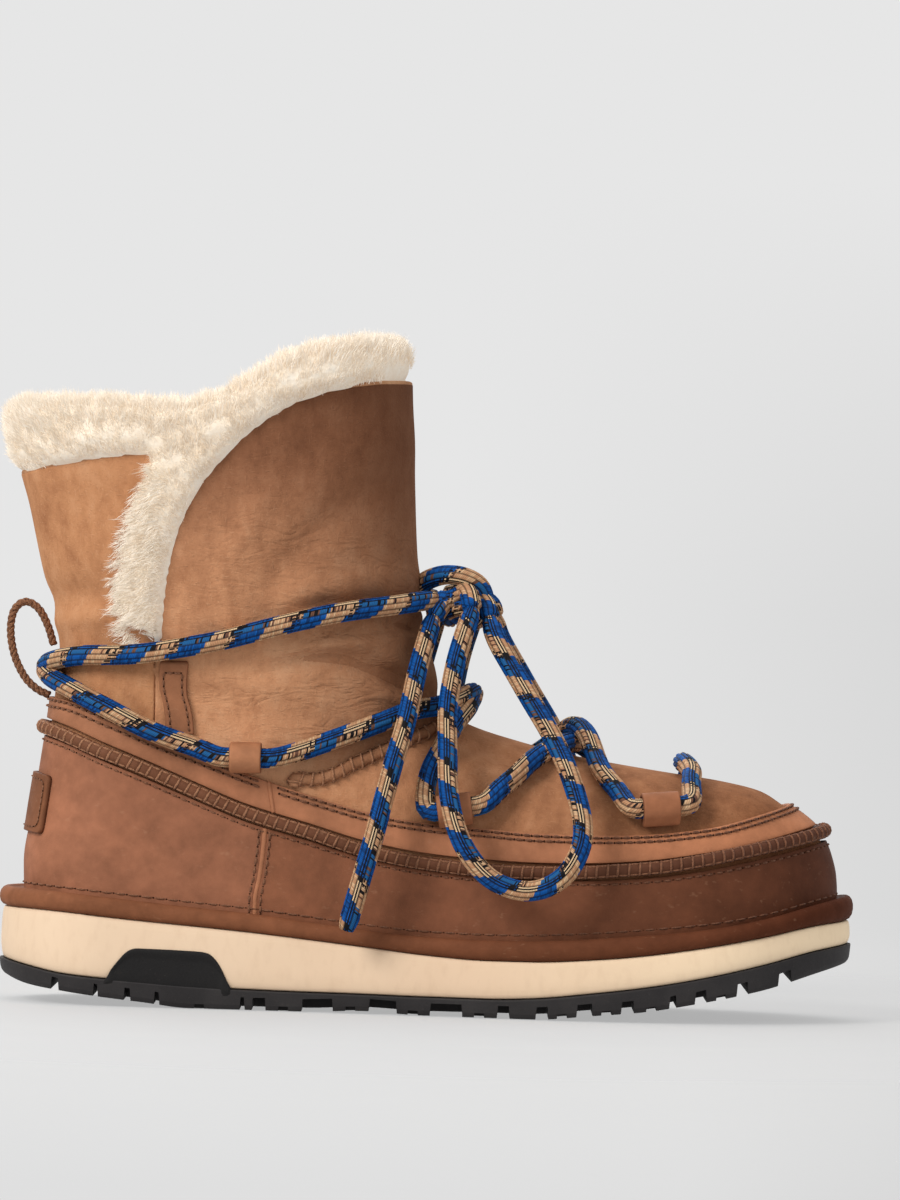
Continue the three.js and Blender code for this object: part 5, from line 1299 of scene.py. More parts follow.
def flap_top(folded):
    """Ring at which each leaning column meets the flap's edge."""
    leaned = folded + slit_lean(folded, slit_turn(np.array([SLIT_RING]), FLAP_EDGE)[0])
    return np.maximum(ring_where(leaned, flap_height), SLIT_RING + 0.02)


def flap_turns(base, folded, edge):
    """Turns of the leaning columns, mirrored about the boot's middle."""
    shift = slit_lean(folded, edge)
    return np.where(base <= 0.5, base + shift, base - shift)


def build_shaft(material):
    """Columns lean so that the first and last follow the slit, then open out on to the flap's edge."""
    base = SLIT_TURN + (1 - 2 * SLIT_TURN) * row_shares(156, 0.003)
    folded = np.where(base > 0.5, 1 - base, base)
    low = np.where(folded > SEAM_START, np.maximum(seam_ring(base), LOW_RING), LOW_RING)
    rings = low + (flap_top(folded) - low) * row_shares(104, 0.004)[:, None]
    steps = np.linspace(LOW_RING, SLIT_RING, 60)
    edge = np.interp(np.minimum(rings, SLIT_RING), steps, slit_turn(steps, FLAP_EDGE))
    turns = flap_turns(base, folded, edge)
    return suede_sheet("suede_shaft", rings, turns, material, soften=0.75)


def build_rear(material):
    across = row_shares(84, 0.006) * 2 - 1
    up = row_shares(72, 0.005)
    rings = np.empty((len(up), len(across)))
    top_corner = locate(-93, 181.6, True)
    for j, share in enumerate(across):
        guess = np.array([abs(share) * top_corner[1]])
        top = ring_where(guess, rear_height)[0]
        rings[:, j] = LOW_RING + (top - LOW_RING) * up
    steps = np.linspace(LOW_RING, rings.max(), 160)
    turns = np.interp(rings, steps, slit_turn(steps, REAR_SLIT)) * across
    return suede_sheet("suede_rear", rings, turns, material, soften=0.75)


def build_lower_wall(material):
    rings = np.linspace(0, 1.7, 9)[:, None] * np.ones((1, 160))
    turns = np.ones((9, 1)) * (np.arange(160) / 160)[None, :]
    outer = lifted(rings, turns, np.full(rings.shape, -0.05))
    inner = lifted(rings, turns, np.full(rings.shape, -WALL))
    piece = add_slab("suede_lasted_wall", outer, inner, material, wrap=True)
    # Painted shade over the whole hidden wall.
    set_attribute(piece, "edge_shade", np.full(len(piece.data.vertices), 0.5))
    return piece


# Leather guards, bands, piping and welt
PIPING_RADIUS = 2.0
PIPING_LIFT = PIPING_RADIUS + OVERLAY_LOW
PIPING_CLEAR = PIPING_RADIUS + 0.9
GUARD_SEAM_X = -54
BAND_SEAM_X = -51
SEAM_TURN_GAP = 0.0004


def guard_top(turn):
    here = wall_point(turn, 1.0)
    height = here[..., 2] - midsole_z(here[..., 0]) - FOOT_LIFT
    return 1 - PIPING_CLEAR / height


def band_start(turn):
    low, high = form_point(1.0, turn), form_point(2.0, turn)
    return 1 + PIPING_CLEAR / np.linalg.norm(high - low, axis=-1)


def leather_sheet(name, turn_from, turn_to, bottom, top, count, rows, material, bulge=0.0, edge=0.006):
    turns = turn_from + (turn_to - turn_from) * row_shares(count, 0.0025)
    shares = row_shares(rows, edge)
    low, high = bottom(turns), top(turns)
    rings = low[None, :] + (high - low)[None, :] * shares[:, None]
    turns = np.broadcast_to(turns, rings.shape).copy()
    points = form_point(rings, turns)
    normals = form_normal(rings, turns)
    fade = border_fade(*rings.shape, 1.6, 1.6)
    lift = OVERLAY_LOW + OVERLAY * (0.35 + 0.65 * fade) + bulge * np.sin(np.pi * shares)[:, None]
    lift = lift + 0.16 * wave(points, 22, 11) * fade
    outer = points + normals * lift[..., None]
    inner = points + normals * (OVERLAY_LOW - 0.1)
    piece = add_slab(name, outer, inner, material)
    shade_rim(piece, border_fade(*rings.shape, 4, 4), 0.8)
    return piece


def build_guards(material_heel, material_toe):
    seam_outer, seam_inner = turn_at(GUARD_SEAM_X, True), turn_at(GUARD_SEAM_X, False)
    zero = lambda turns: np.full(turns.shape, -0.02)
    heel = leather_sheet("guard_heel", seam_inner - 1 + SEAM_TURN_GAP, seam_outer - SEAM_TURN_GAP,
                         zero, guard_top, 160, 30, material_heel, bulge=0.25)
    toe = leather_sheet("guard_toe", seam_outer + SEAM_TURN_GAP, seam_inner - SEAM_TURN_GAP,
                        zero, guard_top, 260, 26, material_toe, bulge=0.35)
    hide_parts("heel_guard")
    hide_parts("toe_guard")
    return heel, toe


def build_bands(material_heel, material_toe):
    seam_outer, seam_inner = turn_at(BAND_SEAM_X, True), turn_at(BAND_SEAM_X, False)
    two = lambda turns: np.full(turns.shape, 2.0)
    heel = leather_sheet("band_heel", seam_inner - 1 + SEAM_TURN_GAP, seam_outer - SEAM_TURN_GAP,
                         band_start, two, 160, 9, material_heel, edge=0.03)
    toe = leather_sheet("band_toe", seam_outer + SEAM_TURN_GAP, seam_inner - SEAM_TURN_GAP,
                        band_start, two, 260, 9, material_toe, edge=0.03)
    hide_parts("heel_band")
    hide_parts("toe_band")
    return heel, toe


def small_tubes(name, paths, radius, sides, material, taper=0.4):
    """Many short threads of equal stations as one piece, their ends narrowed and closed."""
    paths = np.asarray(paths, float)
    count, stations = paths.shape[:2]
    tangent = unit(np.gradient(paths, axis=1))
    guide = np.where(np.abs(tangent[:, 0, 2:3]) > 0.9, np.array([[1.0, 0, 0]]), np.array([[0, 0, 1.0]]))
    side = [unit(guide - (guide * tangent[:, 0]).sum(-1, keepdims=True) * tangent[:, 0])]
    for k in range(1, stations):
        last = side[-1]
        side.append(unit(last - (last * tangent[:, k]).sum(-1, keepdims=True) * tangent[:, k]))
    side = np.stack(side, 1)
    other = np.cross(tangent, side)
    angle = 2 * np.pi * np.arange(sides) / sides
    reach = np.full(stations, float(radius))
    reach[[0, -1]] *= taper
    reach = reach[None, :, None, None]
    ring = (paths[:, :, None] + side[:, :, None] * reach * np.cos(angle)[:, None]
            + other[:, :, None] * reach * np.sin(angle)[:, None])
    starts = (np.arange(count) * stations * sides)[:, None, None]
    walls = (grid_faces(stations, sides, True, flip=True)[None] + starts).reshape(-1, 4).tolist()
    first = (np.arange(sides)[None] + starts[:, 0]).tolist()
    last = (np.arange(sides)[::-1][None] + (stations - 1) * sides + starts[:, 0]).tolist()
    piece = add_mesh(name, ring.reshape(-1, 3), walls + first + last, material)
    return piece


WHIP_PITCH = 3.5


def build_piping(material, whip_material):
    """Bead wrapped in leather, pinched into boxes by whip stitches with a thread along each edge."""
    centre, normals = rows_on_form(np.ones(801), np.linspace(0, 1, 801), PIPING_LIFT)
    centre, normals = centre[:-1], normals[:-1]
    ahead = np.roll(centre, -1, axis=0) - np.roll(centre, 1, axis=0)
    along = unit(ahead)
    up = unit(np.cross(normals, along))
    at = lengths_along(centre)
    total = at[-1] + np.linalg.norm(centre[0] - centre[-1])
    count = int(round(total / WHIP_PITCH))
    pitch = total / count
    pinch = np.abs(np.sin(np.pi * at / pitch)) ** 0.35
    sides = 16
    angle = 2 * np.pi * np.arange(sides) / sides
    swell = 1.0 + 0.1 * pinch[:, None]
    reach = PIPING_RADIUS * (0.9 + 0.12 * pinch)[:, None] * np.ones(sides)
    flat = 1 - 0.06 * np.cos(2 * angle)[None, :]
    ring = (centre[:, None] + normals[:, None] * (reach * flat * swell * np.cos(angle))[..., None]
            + up[:, None] * (reach * flat * np.sin(angle))[..., None])
    rows = len(centre)
    faces = ring_faces(rows, sides)[:, ::-1]
    piece = add_mesh("piping_bead", ring.reshape(-1, 3), faces, material)
    # Painted shade in the recesses where the whip stitches pinch the bead.
    set_attribute(piece, "edge_shade", np.repeat(1 - pinch, sides) * 0.9)
    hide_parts("piping")

    def at_length(s, rise_angle, out):
        """Points on the bead's skin at distances s round it."""
        i = np.interp(s % total, np.append(at, total), np.arange(rows + 1))
        low = i.astype(int) % rows
        high = (low + 1) % rows
        f = (i - i.astype(int))[..., None]
        pick = lambda table: mix(table[low], table[high], f)
        n, u = unit(pick(normals)), unit(pick(up))
        return (pick(centre) + n * (out * np.cos(rise_angle))[..., None]
                + u * (out * np.sin(rise_angle))[..., None])

    reach_out = PIPING_RADIUS * 1.03
    k = np.arange(count)[:, None]
    t = np.linspace(0, 1, 7)[None, :]
    sway = 0.35 * np.sin(k * 2.3) + 0.25 * np.sin(k * 0.9)
    bars = at_length(k * pitch + mix(-0.5, 0.5, t) + sway * 0.4, mix(-1.75, 1.75, t) + 0 * k, reach_out)
    t = np.linspace(0, 1, 5)[None, :]
    edges = [at_length(k * pitch + start * 0.6 + mix(0.3, pitch - 0.3, t),
                       side + 0 * t + 0 * k, reach_out - 0.02)
             for side, start in ((0.98, 0.45), (-0.98, -0.45))]
    edges = np.concatenate(edges)
    small_tubes("piping_whip_bars", bars, 0.42, 6, whip_material)
    small_tubes("piping_edge_threads", edges, 0.4, 6, whip_material)


def build_welt(material):
    """Rounded leather rand with a stitched ledge running in to the wall."""
    count = 520
    turns = np.arange(count) / count
    foot = wall_point(turns, 0.0)
    normals = form_normal(np.zeros(count), turns)
    outside = foot + normals * (OVERLAY_HIGH + 0.15)
    hidden = foot - normals * WALL
    base_z = midsole_z(foot[:, 0]) + 0.3

    def bead(inset, height):
        plan = inset_outline(turns, inset)
        z = mix(midsole_z(plan[:, 0]) + 0.15, welt_z(plan[:, 0]), height)
        return np.column_stack([plan, z])

    profile = [(2.2, 0.0), (1.1, 0.06), (0.35, 0.2), (0.0, 0.4), (0.05, 0.6), (0.45, 0.78), (1.2, 0.92),
               (2.1, 0.995), (2.9, 1.0), (3.6, 0.965), (4.2, 0.9)]
    rows = [bead(inset, height) for inset, height in profile]
    ledge = np.column_stack([outside[:, :2], welt_z(outside[:, 0]) - 0.75])
    edge_plan = inset_outline(turns, 4.8)
    inner_ledge = np.column_stack([edge_plan, welt_z(edge_plan[:, 0]) - 0.78])
    rows.append(inner_ledge)
    rows.append(mix(inner_ledge, ledge, 0.75))
    rows.append(ledge + np.array([0, 0, 0.25]))
    rows.append(np.column_stack([hidden[:, :2], base_z + 1.9]))
    rows.append(np.column_stack([hidden[:, :2], base_z]))
    piece = ring_body("welt_rand", rows, material)
    shade = np.zeros((len(rows), count))
    # Painted shade on the stitched ledge and at the rand's foot against the foam.
    shade[9:13] = 0.5
    shade[0:2] = 0.45
    set_attribute(piece, "edge_shade", shade)
    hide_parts("welt")


def stitches(name, path, normals, pitch, share, radius, material, holes_material):
    """A row of thread stitches along a path, each dipping into a needle hole at both ends, the holes dark
    tubes of painted shade.
    """
    path = np.asarray(path, float)
    at = lengths_along(path)
    count = max(1, int(at[-1] / pitch))
    pitch = at[-1] / count

    def place(s):
        p = np.stack([np.interp(s, at, path[:, k]) for k in range(3)], -1)
        n = np.stack([np.interp(s, at, normals[:, k]) for k in range(3)], -1)
        return p, unit(n)

    k = np.arange(count)[:, None]
    t = np.linspace(0, 1, 5)[None, :]
    p, n = place((k + (1 - share) / 2) * pitch + t * share * pitch)
    dip = (1 - np.sin(math.pi * (0.1 + 0.8 * t))) * 0.55
    threads = p + n * (radius - dip * radius * 2 + 0 * k)[..., None]
    p, n = place(k[:, 0] * pitch)
    q, _ = place(np.minimum(at[-1], k[:, 0] * pitch + 0.4))
    side = unit(q - p)
    # Needle holes: small dark tubes, painted shade in the holes.
    holes = np.stack([p + side * along + n * rise for along, rise in
                      ((-0.34, 0.0), (0.0, 0.06), (0.34, 0.0))], 1)
    small_tubes(name, threads, radius, 6, material, taper=0.7)
    small_tubes(name + "_holes", holes, radius * 1.1, 6, holes_material, taper=0.4)


def build_vamp_seam(material, whip_material):
    """Rounded seam bead over the instep with slanted whip threads along it."""
    turns = np.linspace(SEAM_START + 0.0012, 1 - SEAM_START - 0.0012, 420)
    rings = seam_ring(turns)
    centre = form_point(rings, turns)
    normals = form_normal(rings, turns)
    at = lengths_along(centre)
    along = unit(np.gradient(centre, axis=0))
    across = unit(np.cross(normals, along))
    angle = 2 * np.pi * np.arange(18) / 18
    count = int(round(at[-1] / WHIP_PITCH))
    pitch = at[-1] / count
    pinch = 0.93 + 0.09 * np.abs(np.sin(np.pi * at / pitch)) ** 0.5
    half, rise = 1.75, 1.25
    ring = (centre[:, None] + normals[:, None] * (0.75 + rise * pinch[:, None] * np.sin(angle))[..., None]
            + across[:, None] * (half * pinch[:, None] * np.cos(angle))[..., None])
    faces = grid_faces(len(turns), 18, True).tolist()
    faces += [list(range(18))[::-1], list(range((len(turns) - 1) * 18, len(turns) * 18))]
    bead = add_mesh("vamp_seam_bead", ring.reshape(-1, 3), faces, material)
    # Painted shade where the whip threads pinch the bead.
    set_attribute(bead, "edge_shade", np.repeat(np.clip(1 - (pinch - 0.93) / 0.09, 0, 1) * 0.6, 18))
    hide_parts("vamp_seam")

    def place(s, side, lift):
        pick = lambda table: np.stack([np.interp(s, at, table[:, k]) for k in range(3)], -1)
        side, lift = np.broadcast_to(side, s.shape)[..., None], np.broadcast_to(lift, s.shape)[..., None]
        return pick(centre) + pick(across) * side + pick(normals) * lift

    k = np.arange(count)[:, None]
    t = np.linspace(0, 1, 9)[None, :]
    lean = 1.25 + 0.2 * np.sin(k * 1.7)
    threads = place((k + 0.5) * pitch + mix(-lean, lean, t) * 0.5, np.cos(np.pi * (1 - t)) * (half + 0.42),
                    0.55 + np.maximum(0, np.sin(np.pi * t)) ** 0.7 * (rise + 0.42))
    small_tubes("vamp_seam_threads", threads, 0.42, 6, whip_material)
    t = np.linspace(0, 1, 4)[None, :]
    edges = np.concatenate([place(k * pitch + mix(0.4, pitch - 0.4, t), side * (half + 0.55), 0.55)
                            for side in (-1, 1)])
    small_tubes("vamp_seam_edge_threads", edges, 0.26, 5, whip_material)


SLIT_TAB = [(-88.4, 90.8), (-78.6, 90.4), (-80.8, 114.6), (-90.2, 114.6)]


def rounded_shares(rows, cols, radius_u, radius_v, edge=0.02):
    """Grid over a unit square with rounded corners, closer rows at its borders."""
    u = row_shares(cols, edge)
    v = row_shares(rows, edge)
    near = np.clip((np.abs(v * 2 - 1) - (1 - radius_v)) / radius_v, 0, 1)
    half = 1 - radius_u * (1 - np.sqrt(np.maximum(0, 1 - near ** 2)))
    grid_u = 0.5 + (u[None, :] - 0.5) * half[:, None]
    return grid_u, np.broadcast_to(v[:, None], grid_u.shape)


def small_panel(name, place, rows, cols, low, high, material, radius_u=0.2, radius_v=0.12, dome=0.15):
    """Small raised leather piece with rounded corners and edges. place(u, v) gives rings and turns."""
    u, v = rounded_shares(rows, cols, radius_u, radius_v)
    rings, turns = place(u, v)
    fade = border_fade(*u.shape, 2.0, 2.0)
    lift = low + (high - low) * (0.45 + 0.55 * fade) + dome * np.sin(np.pi * u) * np.sin(np.pi * v)
    points = form_point(rings, turns)
    normals = form_normal(rings, turns)
    piece = add_slab(name, points + normals * lift[..., None], points + normals * low, material)
    shade_rim(piece, border_fade(*u.shape, 4, 4), 0.7)
    return piece


def build_slit_tab(side, outer, material, thread_material, hole_material):
    corners = [locate(x, z, outer) for x, z in SLIT_TAB]
    (ra, ta), (rb, tb), (rc, tc), (rd, td) = corners

    def place(u, v):
        u = u if outer else 1 - u
        return mix(mix(ra, rb, u), mix(rd, rc, u), v), mix(mix(ta, tb, u), mix(td, tc, u), v)

    high = OVERLAY_LOW + 1.4
    piece = small_panel("slit_strip_" + side, place, 44, 22, OVERLAY_LOW - 0.2, high, material, 0.14, 0.05)
    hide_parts("slit_tab_" + side)
    route = ([(0.17, v) for v in np.linspace(0.05, 0.9, 30)] + [(u, 0.92) for u in np.linspace(0.2, 0.8, 10)]
             + [(0.83, v) for v in np.linspace(0.9, 0.05, 30)])
    uv = np.array(route)
    rings, turns = place(uv[:, 0], uv[:, 1])
    path = lifted(rings, turns, np.full(len(uv), high + 0.05))
    stitches("slit_strip_stitch_" + side, path, form_normal(rings, turns), 2.5, 0.62, 0.3,
             thread_material, hole_material)


def build_tunnel(tab, side, outer, material):
    """Leather strap arched over the lace, its feet spread on the band."""
    p, along, across, up = tunnel_frame(tab, outer)
    inner = LACE_RADIUS + TUNNEL_GAP
    thick = TUNNEL_WALL
    angle = 2 * np.pi * (np.arange(72) + 0.5) / 72
    sine, cosine = np.sin(angle), np.cos(angle)
    low = np.clip(-sine, 0, 1)
    reach = inner + thick
    square = np.minimum(np.abs(cosine) ** np.where(sine < 0, 0.42, 1.0), 1)
    outer_x = np.sign(cosine) * square * (reach + 0.9 * low)
    outer_y = np.where(sine < 0, -reach * low ** 0.62, reach * sine)
    inner_x, inner_y = inner * cosine, inner * sine
    half = tab["length"] / 2
    stations = [(-half, 0.55), (-half + 0.12, 0.22), (-half + 0.4, 0.05), (-half + 0.9, 0.0)]
    stations += [(mix(-half + 1.6, half - 1.6, t), -0.04 * math.sin(math.pi * t))
                 for t in np.linspace(0, 1, 9)]
    stations += [(half - 0.9, 0.0), (half - 0.4, 0.05), (half - 0.12, 0.22), (half, 0.55)]
    rows_outer, rows_inner = [], []
    for at, shrink in stations:
        k = 1 - shrink / reach
        centre = p + along * at
        rows_outer.append(centre + np.outer(outer_x * k, across) + np.outer(outer_y * k, up))
        k = 1 + shrink * 0.35 / inner
        rows_inner.append(centre + np.outer(inner_x * k, across) + np.outer(inner_y * k, up))
    verts = np.vstack([np.vstack(rows_outer), np.vstack(rows_inner)])
    rows, cols = len(stations), 72
    piece = add_mesh(tab["name"] + "_strap_" + side, verts, slab_faces(rows, cols, True), material)
    shade = np.zeros((rows, cols))
    shade[:2] = shade[-2:] = 0.8
    set_attribute(piece, "edge_shade", np.concatenate([shade.ravel(), np.ones(rows * cols)]))
    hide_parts(tab["name"] + "_" + side)


PULL_LOOP = [
    (-127.4, 118.6), (-129.4, 124.6), (-132.2, 129.8), (-135.6, 132.4), (-138.6, 132.2), (-141, 129.4),
    (-141.9, 124.6), (-141.4, 118.6), (-139.6, 112.6), (-136.4, 107), (-132.4, 103.4), (-128.4, 101.6)]


def build_pull_loop(material):
    """Loop of three-ply twisted cord at the back of the heel."""
    path, at = resample(spline([(x, 0.0, z) for x, z in PULL_LOOP]), 0.5)
    _, side, other = carried_frames(path)
    verts, faces, uvs, total = [], [], [], 0
    for ply in range(3):
        turn = 2 * np.pi * at / 6.0 + ply * 2 * np.pi / 3
        strand = path + side * (0.68 * np.cos(turn))[:, None] + other * (0.68 * np.sin(turn))[:, None]
        v, f, uv = tube_mesh(strand, 0.72, 10)
        verts.append(v)
        uvs.append(uv + np.array([0, ply]))
        faces.extend((f + total).tolist())
        faces.append(list(range(total, total + 10)))
        faces.append(list(range(total + (len(path) - 1) * 11, total + (len(path) - 1) * 11 + 10))[::-1])
        total += len(v)
    piece = add_mesh("heel_pull_cord", np.vstack(verts), faces, material, np.vstack(uvs))
    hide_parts("pull_loop")


def build_heel_patch(material, thread_material, hole_material):
    def place(u, v):
        return mix(0.385, 0.735, v), mix(-0.05, 0.05, u)

    low, high = OVERLAY_HIGH + 0.3, OVERLAY_HIGH + 0.6 + 1.3
    piece = small_panel("heel_label_patch", place, 40, 60, low, high, material, 0.12, 0.16, 0.1)
    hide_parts("heel_patch")
    angle = np.linspace(0, 2 * np.pi, 161)
    u = 0.5 + 0.455 * np.sign(np.cos(angle)) * np.abs(np.cos(angle)) ** 0.22
    v = 0.5 + 0.41 * np.sign(np.sin(angle)) * np.abs(np.sin(angle)) ** 0.22
    rings, turns = place(u, v)
    path = lifted(rings, turns, np.full(len(u), high + 0.1))
    stitches("heel_label_stitch", path, form_normal(rings, turns), 2.2, 0.6, 0.24, thread_material,
             hole_material)


# Sole: foam wedge, lugged rubber and its side tabs
tread_z = curve_through(LEVELS, "x", "tread")
SOLE_COLUMNS = 560
SOLE_TURNS = np.arange(SOLE_COLUMNS) / SOLE_COLUMNS


def sole_loop(inset, height_of):
    plan = inset_outline(SOLE_TURNS, inset)
    return np.column_stack([plan, height_of(plan[:, 0])])


def build_midsole(material):
    at_height = lambda share: (lambda x: mix(outsole_z(x) + 0.05, midsole_z(x), share))
    profile = [(3.2, 0.0), (1.95, 0.004), (1.6, 0.03), (1.25, 0.12), (1.0, 0.24), (0.9, 0.36), (0.92, 0.5),
               (0.98, 0.62), (1.08, 0.74), (1.22, 0.85), (1.45, 0.94), (1.85, 0.985), (2.6, 1.0),
               (16.0, 1.0), (16.0, 0.0)]
    rows = [sole_loop(inset, at_height(share)) for inset, share in profile]
    piece = ring_body("midsole_wedge", rows, material)
    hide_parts("midsole")


GROOVES = [
    (-124, -120.4, 1), (-109.8, -107.2, 1), (-99.6, -96.4, 0), (-89.6, -86.8, 0), (-61.2, -58.6, 0),
    (-57.2, -51.7, 0), (-40.8, -29.5, 0), (-18.6, -8.4, 0), (1.6, 13.2, 0), (23.7, 28.8, 0), (36.4, 41.5, 0),
    (49.8, 56.0, 0), (64.4, 69.6, 0), (80.2, 83.5, 0), (88.6, 93.4, 0), (102.4, 107.2, 1), (116.3, 121.7, 1)]
GROOVE_DEPTH = 4.2
CHANNEL_HALF = 2
CHANNEL_OFFSET = 15
CHANNEL_XS = [-97, -80, -60, -40, -20, 0, 20, 36, 56, 72, 84, 94, 103]


CUT_DRAFT = 0.5


def cutter(xs, y_low, y_high, depth):
    """Box under the tread, its walls drafted, following the tread's curve."""
    verts, faces = [], []
    last = len(xs) - 1
    for i, x in enumerate(xs):
        for y in (y_low, y_high):
            for z, draw in ((tread_z(x) - 9, 1), (tread_z(x) + depth, -1)):
                shift = CUT_DRAFT * draw * (-1 if i == 0 else (1 if i == last else 0))
                y_draw = CUT_DRAFT * draw * (1 if y == y_high else -1) if last > 1 else 0
                verts.append((x + shift, y + y_draw + float(plan_centre(x)), float(z)))
    for i in range(last):
        a, b = 4 * i, 4 * (i + 1)
        faces += [[a, b, b + 1, a + 1], [a + 2, a + 3, b + 3, b + 2],
                  [a, a + 2, b + 2, b], [a + 1, b + 1, b + 3, a + 3]]
    faces += [[0, 1, 3, 2], [4 * last, 4 * last + 2, 4 * last + 3, 4 * last + 1]]
    return verts, faces


def build_outsole(material):
    count = 300
    turns = np.arange(count) / count
    profile = [(2.5, tread_z), (1.9, lambda x: tread_z(x) + 0.15), (1.3, lambda x: tread_z(x) + 0.7),
               (0.9, lambda x: tread_z(x) + 1.6), (0.7, lambda x: mix(tread_z(x), outsole_z(x), 0.5)),
               (0.5, lambda x: outsole_z(x) - 0.7), (0.65, lambda x: outsole_z(x) - 0.35),
               (1.1, lambda x: outsole_z(x) - 0.2)]
    rows = []
    for inset, height_of in profile:
        plan = inset_outline(turns, inset)
        rows.append(np.column_stack([plan, height_of(plan[:, 0])]))
    verts = np.vstack(rows)
    faces = grid_faces(len(rows), count, True).tolist()
    top = (len(rows) - 1) * count
    for j in range(count // 2):
        far, far_next = (count - j) % count, count - j - 1
        if j == 0:
            faces.append([top + 0, top + 1, top + far_next])
            faces.append([0, far_next, 1])
        elif far_next == j + 1:
            faces.append([top + j, top + j + 1, top + far])
            faces.append([j, far, j + 1])
        else:
            faces.append([top + j, top + j + 1, top + far_next, top + far])
            faces.append([j, far, far_next, j + 1])
    blank = add_mesh("outsole_lugs", verts, faces, material, shade=False)
    cuts, cut_faces, total = [], [], 0

    def add_cut(xs, y_low, y_high, depth=GROOVE_DEPTH):
        nonlocal total
        v, f = cutter(xs, y_low, y_high, depth)
        cuts.extend(v)
        cut_faces.extend([[a + total for a in face] for face in f])
        total += len(v)

    for x0, x1, through in GROOVES:
        xs = [x0 + 0.25, x1 - 0.25]
        if through:
            add_cut(xs, -60, 60)
        else:
            add_cut(xs, -60, -CHANNEL_OFFSET)
            add_cut(xs, CHANNEL_OFFSET, 60)
    for side in (-1, 1):
        add_cut(CHANNEL_XS, side * CHANNEL_OFFSET - CHANNEL_HALF, side * CHANNEL_OFFSET + CHANNEL_HALF)
    for i in range(2, len(GROOVES) - 2):
        gap = GROOVES[i + 1][0] - GROOVES[i][1]
        middle = (GROOVES[i][1] + GROOVES[i + 1][0]) / 2
        if gap > 8:
            add_cut([middle - 1.6, middle + 1.6], -CHANNEL_OFFSET, CHANNEL_OFFSET)
            # Shallow steps let into the outer ends of the long lugs.
            for side in (-1, 1):
                low, high = sorted((side * 60, side * 33))
                add_cut([middle - 2.2, middle + 1.9], low, high, depth=1.5)
    mesh = bpy.data.meshes.new("outsole_cuts")
    mesh.from_pydata(to_metres(cuts).tolist(), [], cut_faces)
    tool = bpy.data.objects.new("outsole_cuts", mesh)
    bpy.context.scene.collection.objects.link(tool)
    cut = blank.modifiers.new("cuts", "BOOLEAN")
    cut.operation = "DIFFERENCE"
    cut.solver = "EXACT"
    cut.use_self = True
    cut.object = tool
    result = bpy.data.meshes.new_from_object(blank.evaluated_get(bpy.context.evaluated_depsgraph_get()))
    blank.modifiers.clear()
    blank.data = result
    bpy.data.objects.remove(tool)
    bevel = blank.modifiers.new("worn_edges", "BEVEL")
    bevel.width = 0.0004
    bevel.segments = 2
    bevel.limit_method = "ANGLE"
    bevel.angle_limit = math.radians(38)
    bevel.harden_normals = False
    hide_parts("outsole")
    return blank


TAB_SHAPE = np.array([
    (-106.4, 5), (-105.6, 9.5), (-99.8, 17.2), (-97.3, 19.4), (-84, 19.2), (-72.3, 18.8), (-69.3, 17.3),
    (-66.2, 12.1), (-63.4, 5)], float)


def build_side_tab(side, outer, material):
    """Raised rubber tab climbing from the outsole on to the foam, its face bare."""
    cols, rows = 64, 16
    xs = np.linspace(TAB_SHAPE[0, 0], TAB_SHAPE[-1, 0], cols)
    edge = np.pad(np.interp(xs, TAB_SHAPE[:, 0], TAB_SHAPE[:, 1]), 3, mode="edge")
    soft = np.convolve(edge, np.ones(7) / 7, "valid")
    turn_grid = np.linspace(0.001, 0.499, 2000)
    turn_grid = turn_grid if outer else 1 - turn_grid
    plan_x = outline(turn_grid)[:, 0]
    turns = np.interp(xs, plan_x, turn_grid)
    v = row_shares(rows, 0.03)
    low = tread_z(xs) + 4.45
    heights = low[None, :] + (np.maximum(soft, low + 0.2) - low)[None, :] * v[:, None]
    turn_rows = np.broadcast_to(turns, heights.shape)
    tall = len(v)
    fade = border_fade(tall * 3, cols, 2.2, 2.2)[-tall:]
    frame_line = border_fade(tall * 3, cols, 5.5, 6.5)[-tall:]
    dip = 0.35 * smooth(frame_line, 0.97, 1.0)
    face_inset = mix(0.62, 0.3, smooth(v, 0, 0.35))[:, None] + 0.75 * (1 - fade) + dip
    face = inset_outline(turn_rows, face_inset)
    back = inset_outline(turn_rows, np.full(heights.shape, 3.2))
    front_points = np.dstack([face, heights])
    back_points = np.dstack([back, heights])
    verts = np.vstack([front_points.reshape(-1, 3), back_points.reshape(-1, 3)])
    faces = slab_faces(*heights.shape)
    if not outer:
        faces = faces[:, ::-1]
    piece = add_mesh("outsole_side_tab_" + side, verts, faces, material)


def build_insole(material):
    rows, cols = 26, 240
    turns = np.arange(cols) / cols
    edge = lifted(np.zeros(cols), turns, np.full(cols, -WALL - 0.5))
    centre_x = np.clip(edge[:, 0], -100, 100)
    middle = np.column_stack([centre_x, plan_centre(centre_x)])
    grid = []
    for share in np.linspace(1, 0.02, rows):
        plan = middle + (edge[:, :2] - middle) * share
        z = midsole_z(plan[:, 0]) + 4.0
        row = np.column_stack([plan, z])
        row[:, 2] += 0.6 * wave(row, 7, 5) * (share < 0.99) - (0.9 if share > 0.99 else 0)
        grid.append(row)
    grid = np.array([np.column_stack([edge[:, :2], midsole_z(edge[:, 0]) + 0.3])] + grid)
    n = len(grid)
    faces = grid_faces(n, cols, True).tolist()
    faces.append(list(range((n - 1) * cols, n * cols)))
    faces.append(list(range(cols))[::-1])
    piece = add_mesh("insole_fleece", grid.reshape(-1, 3), faces, material)
    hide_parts("insole")


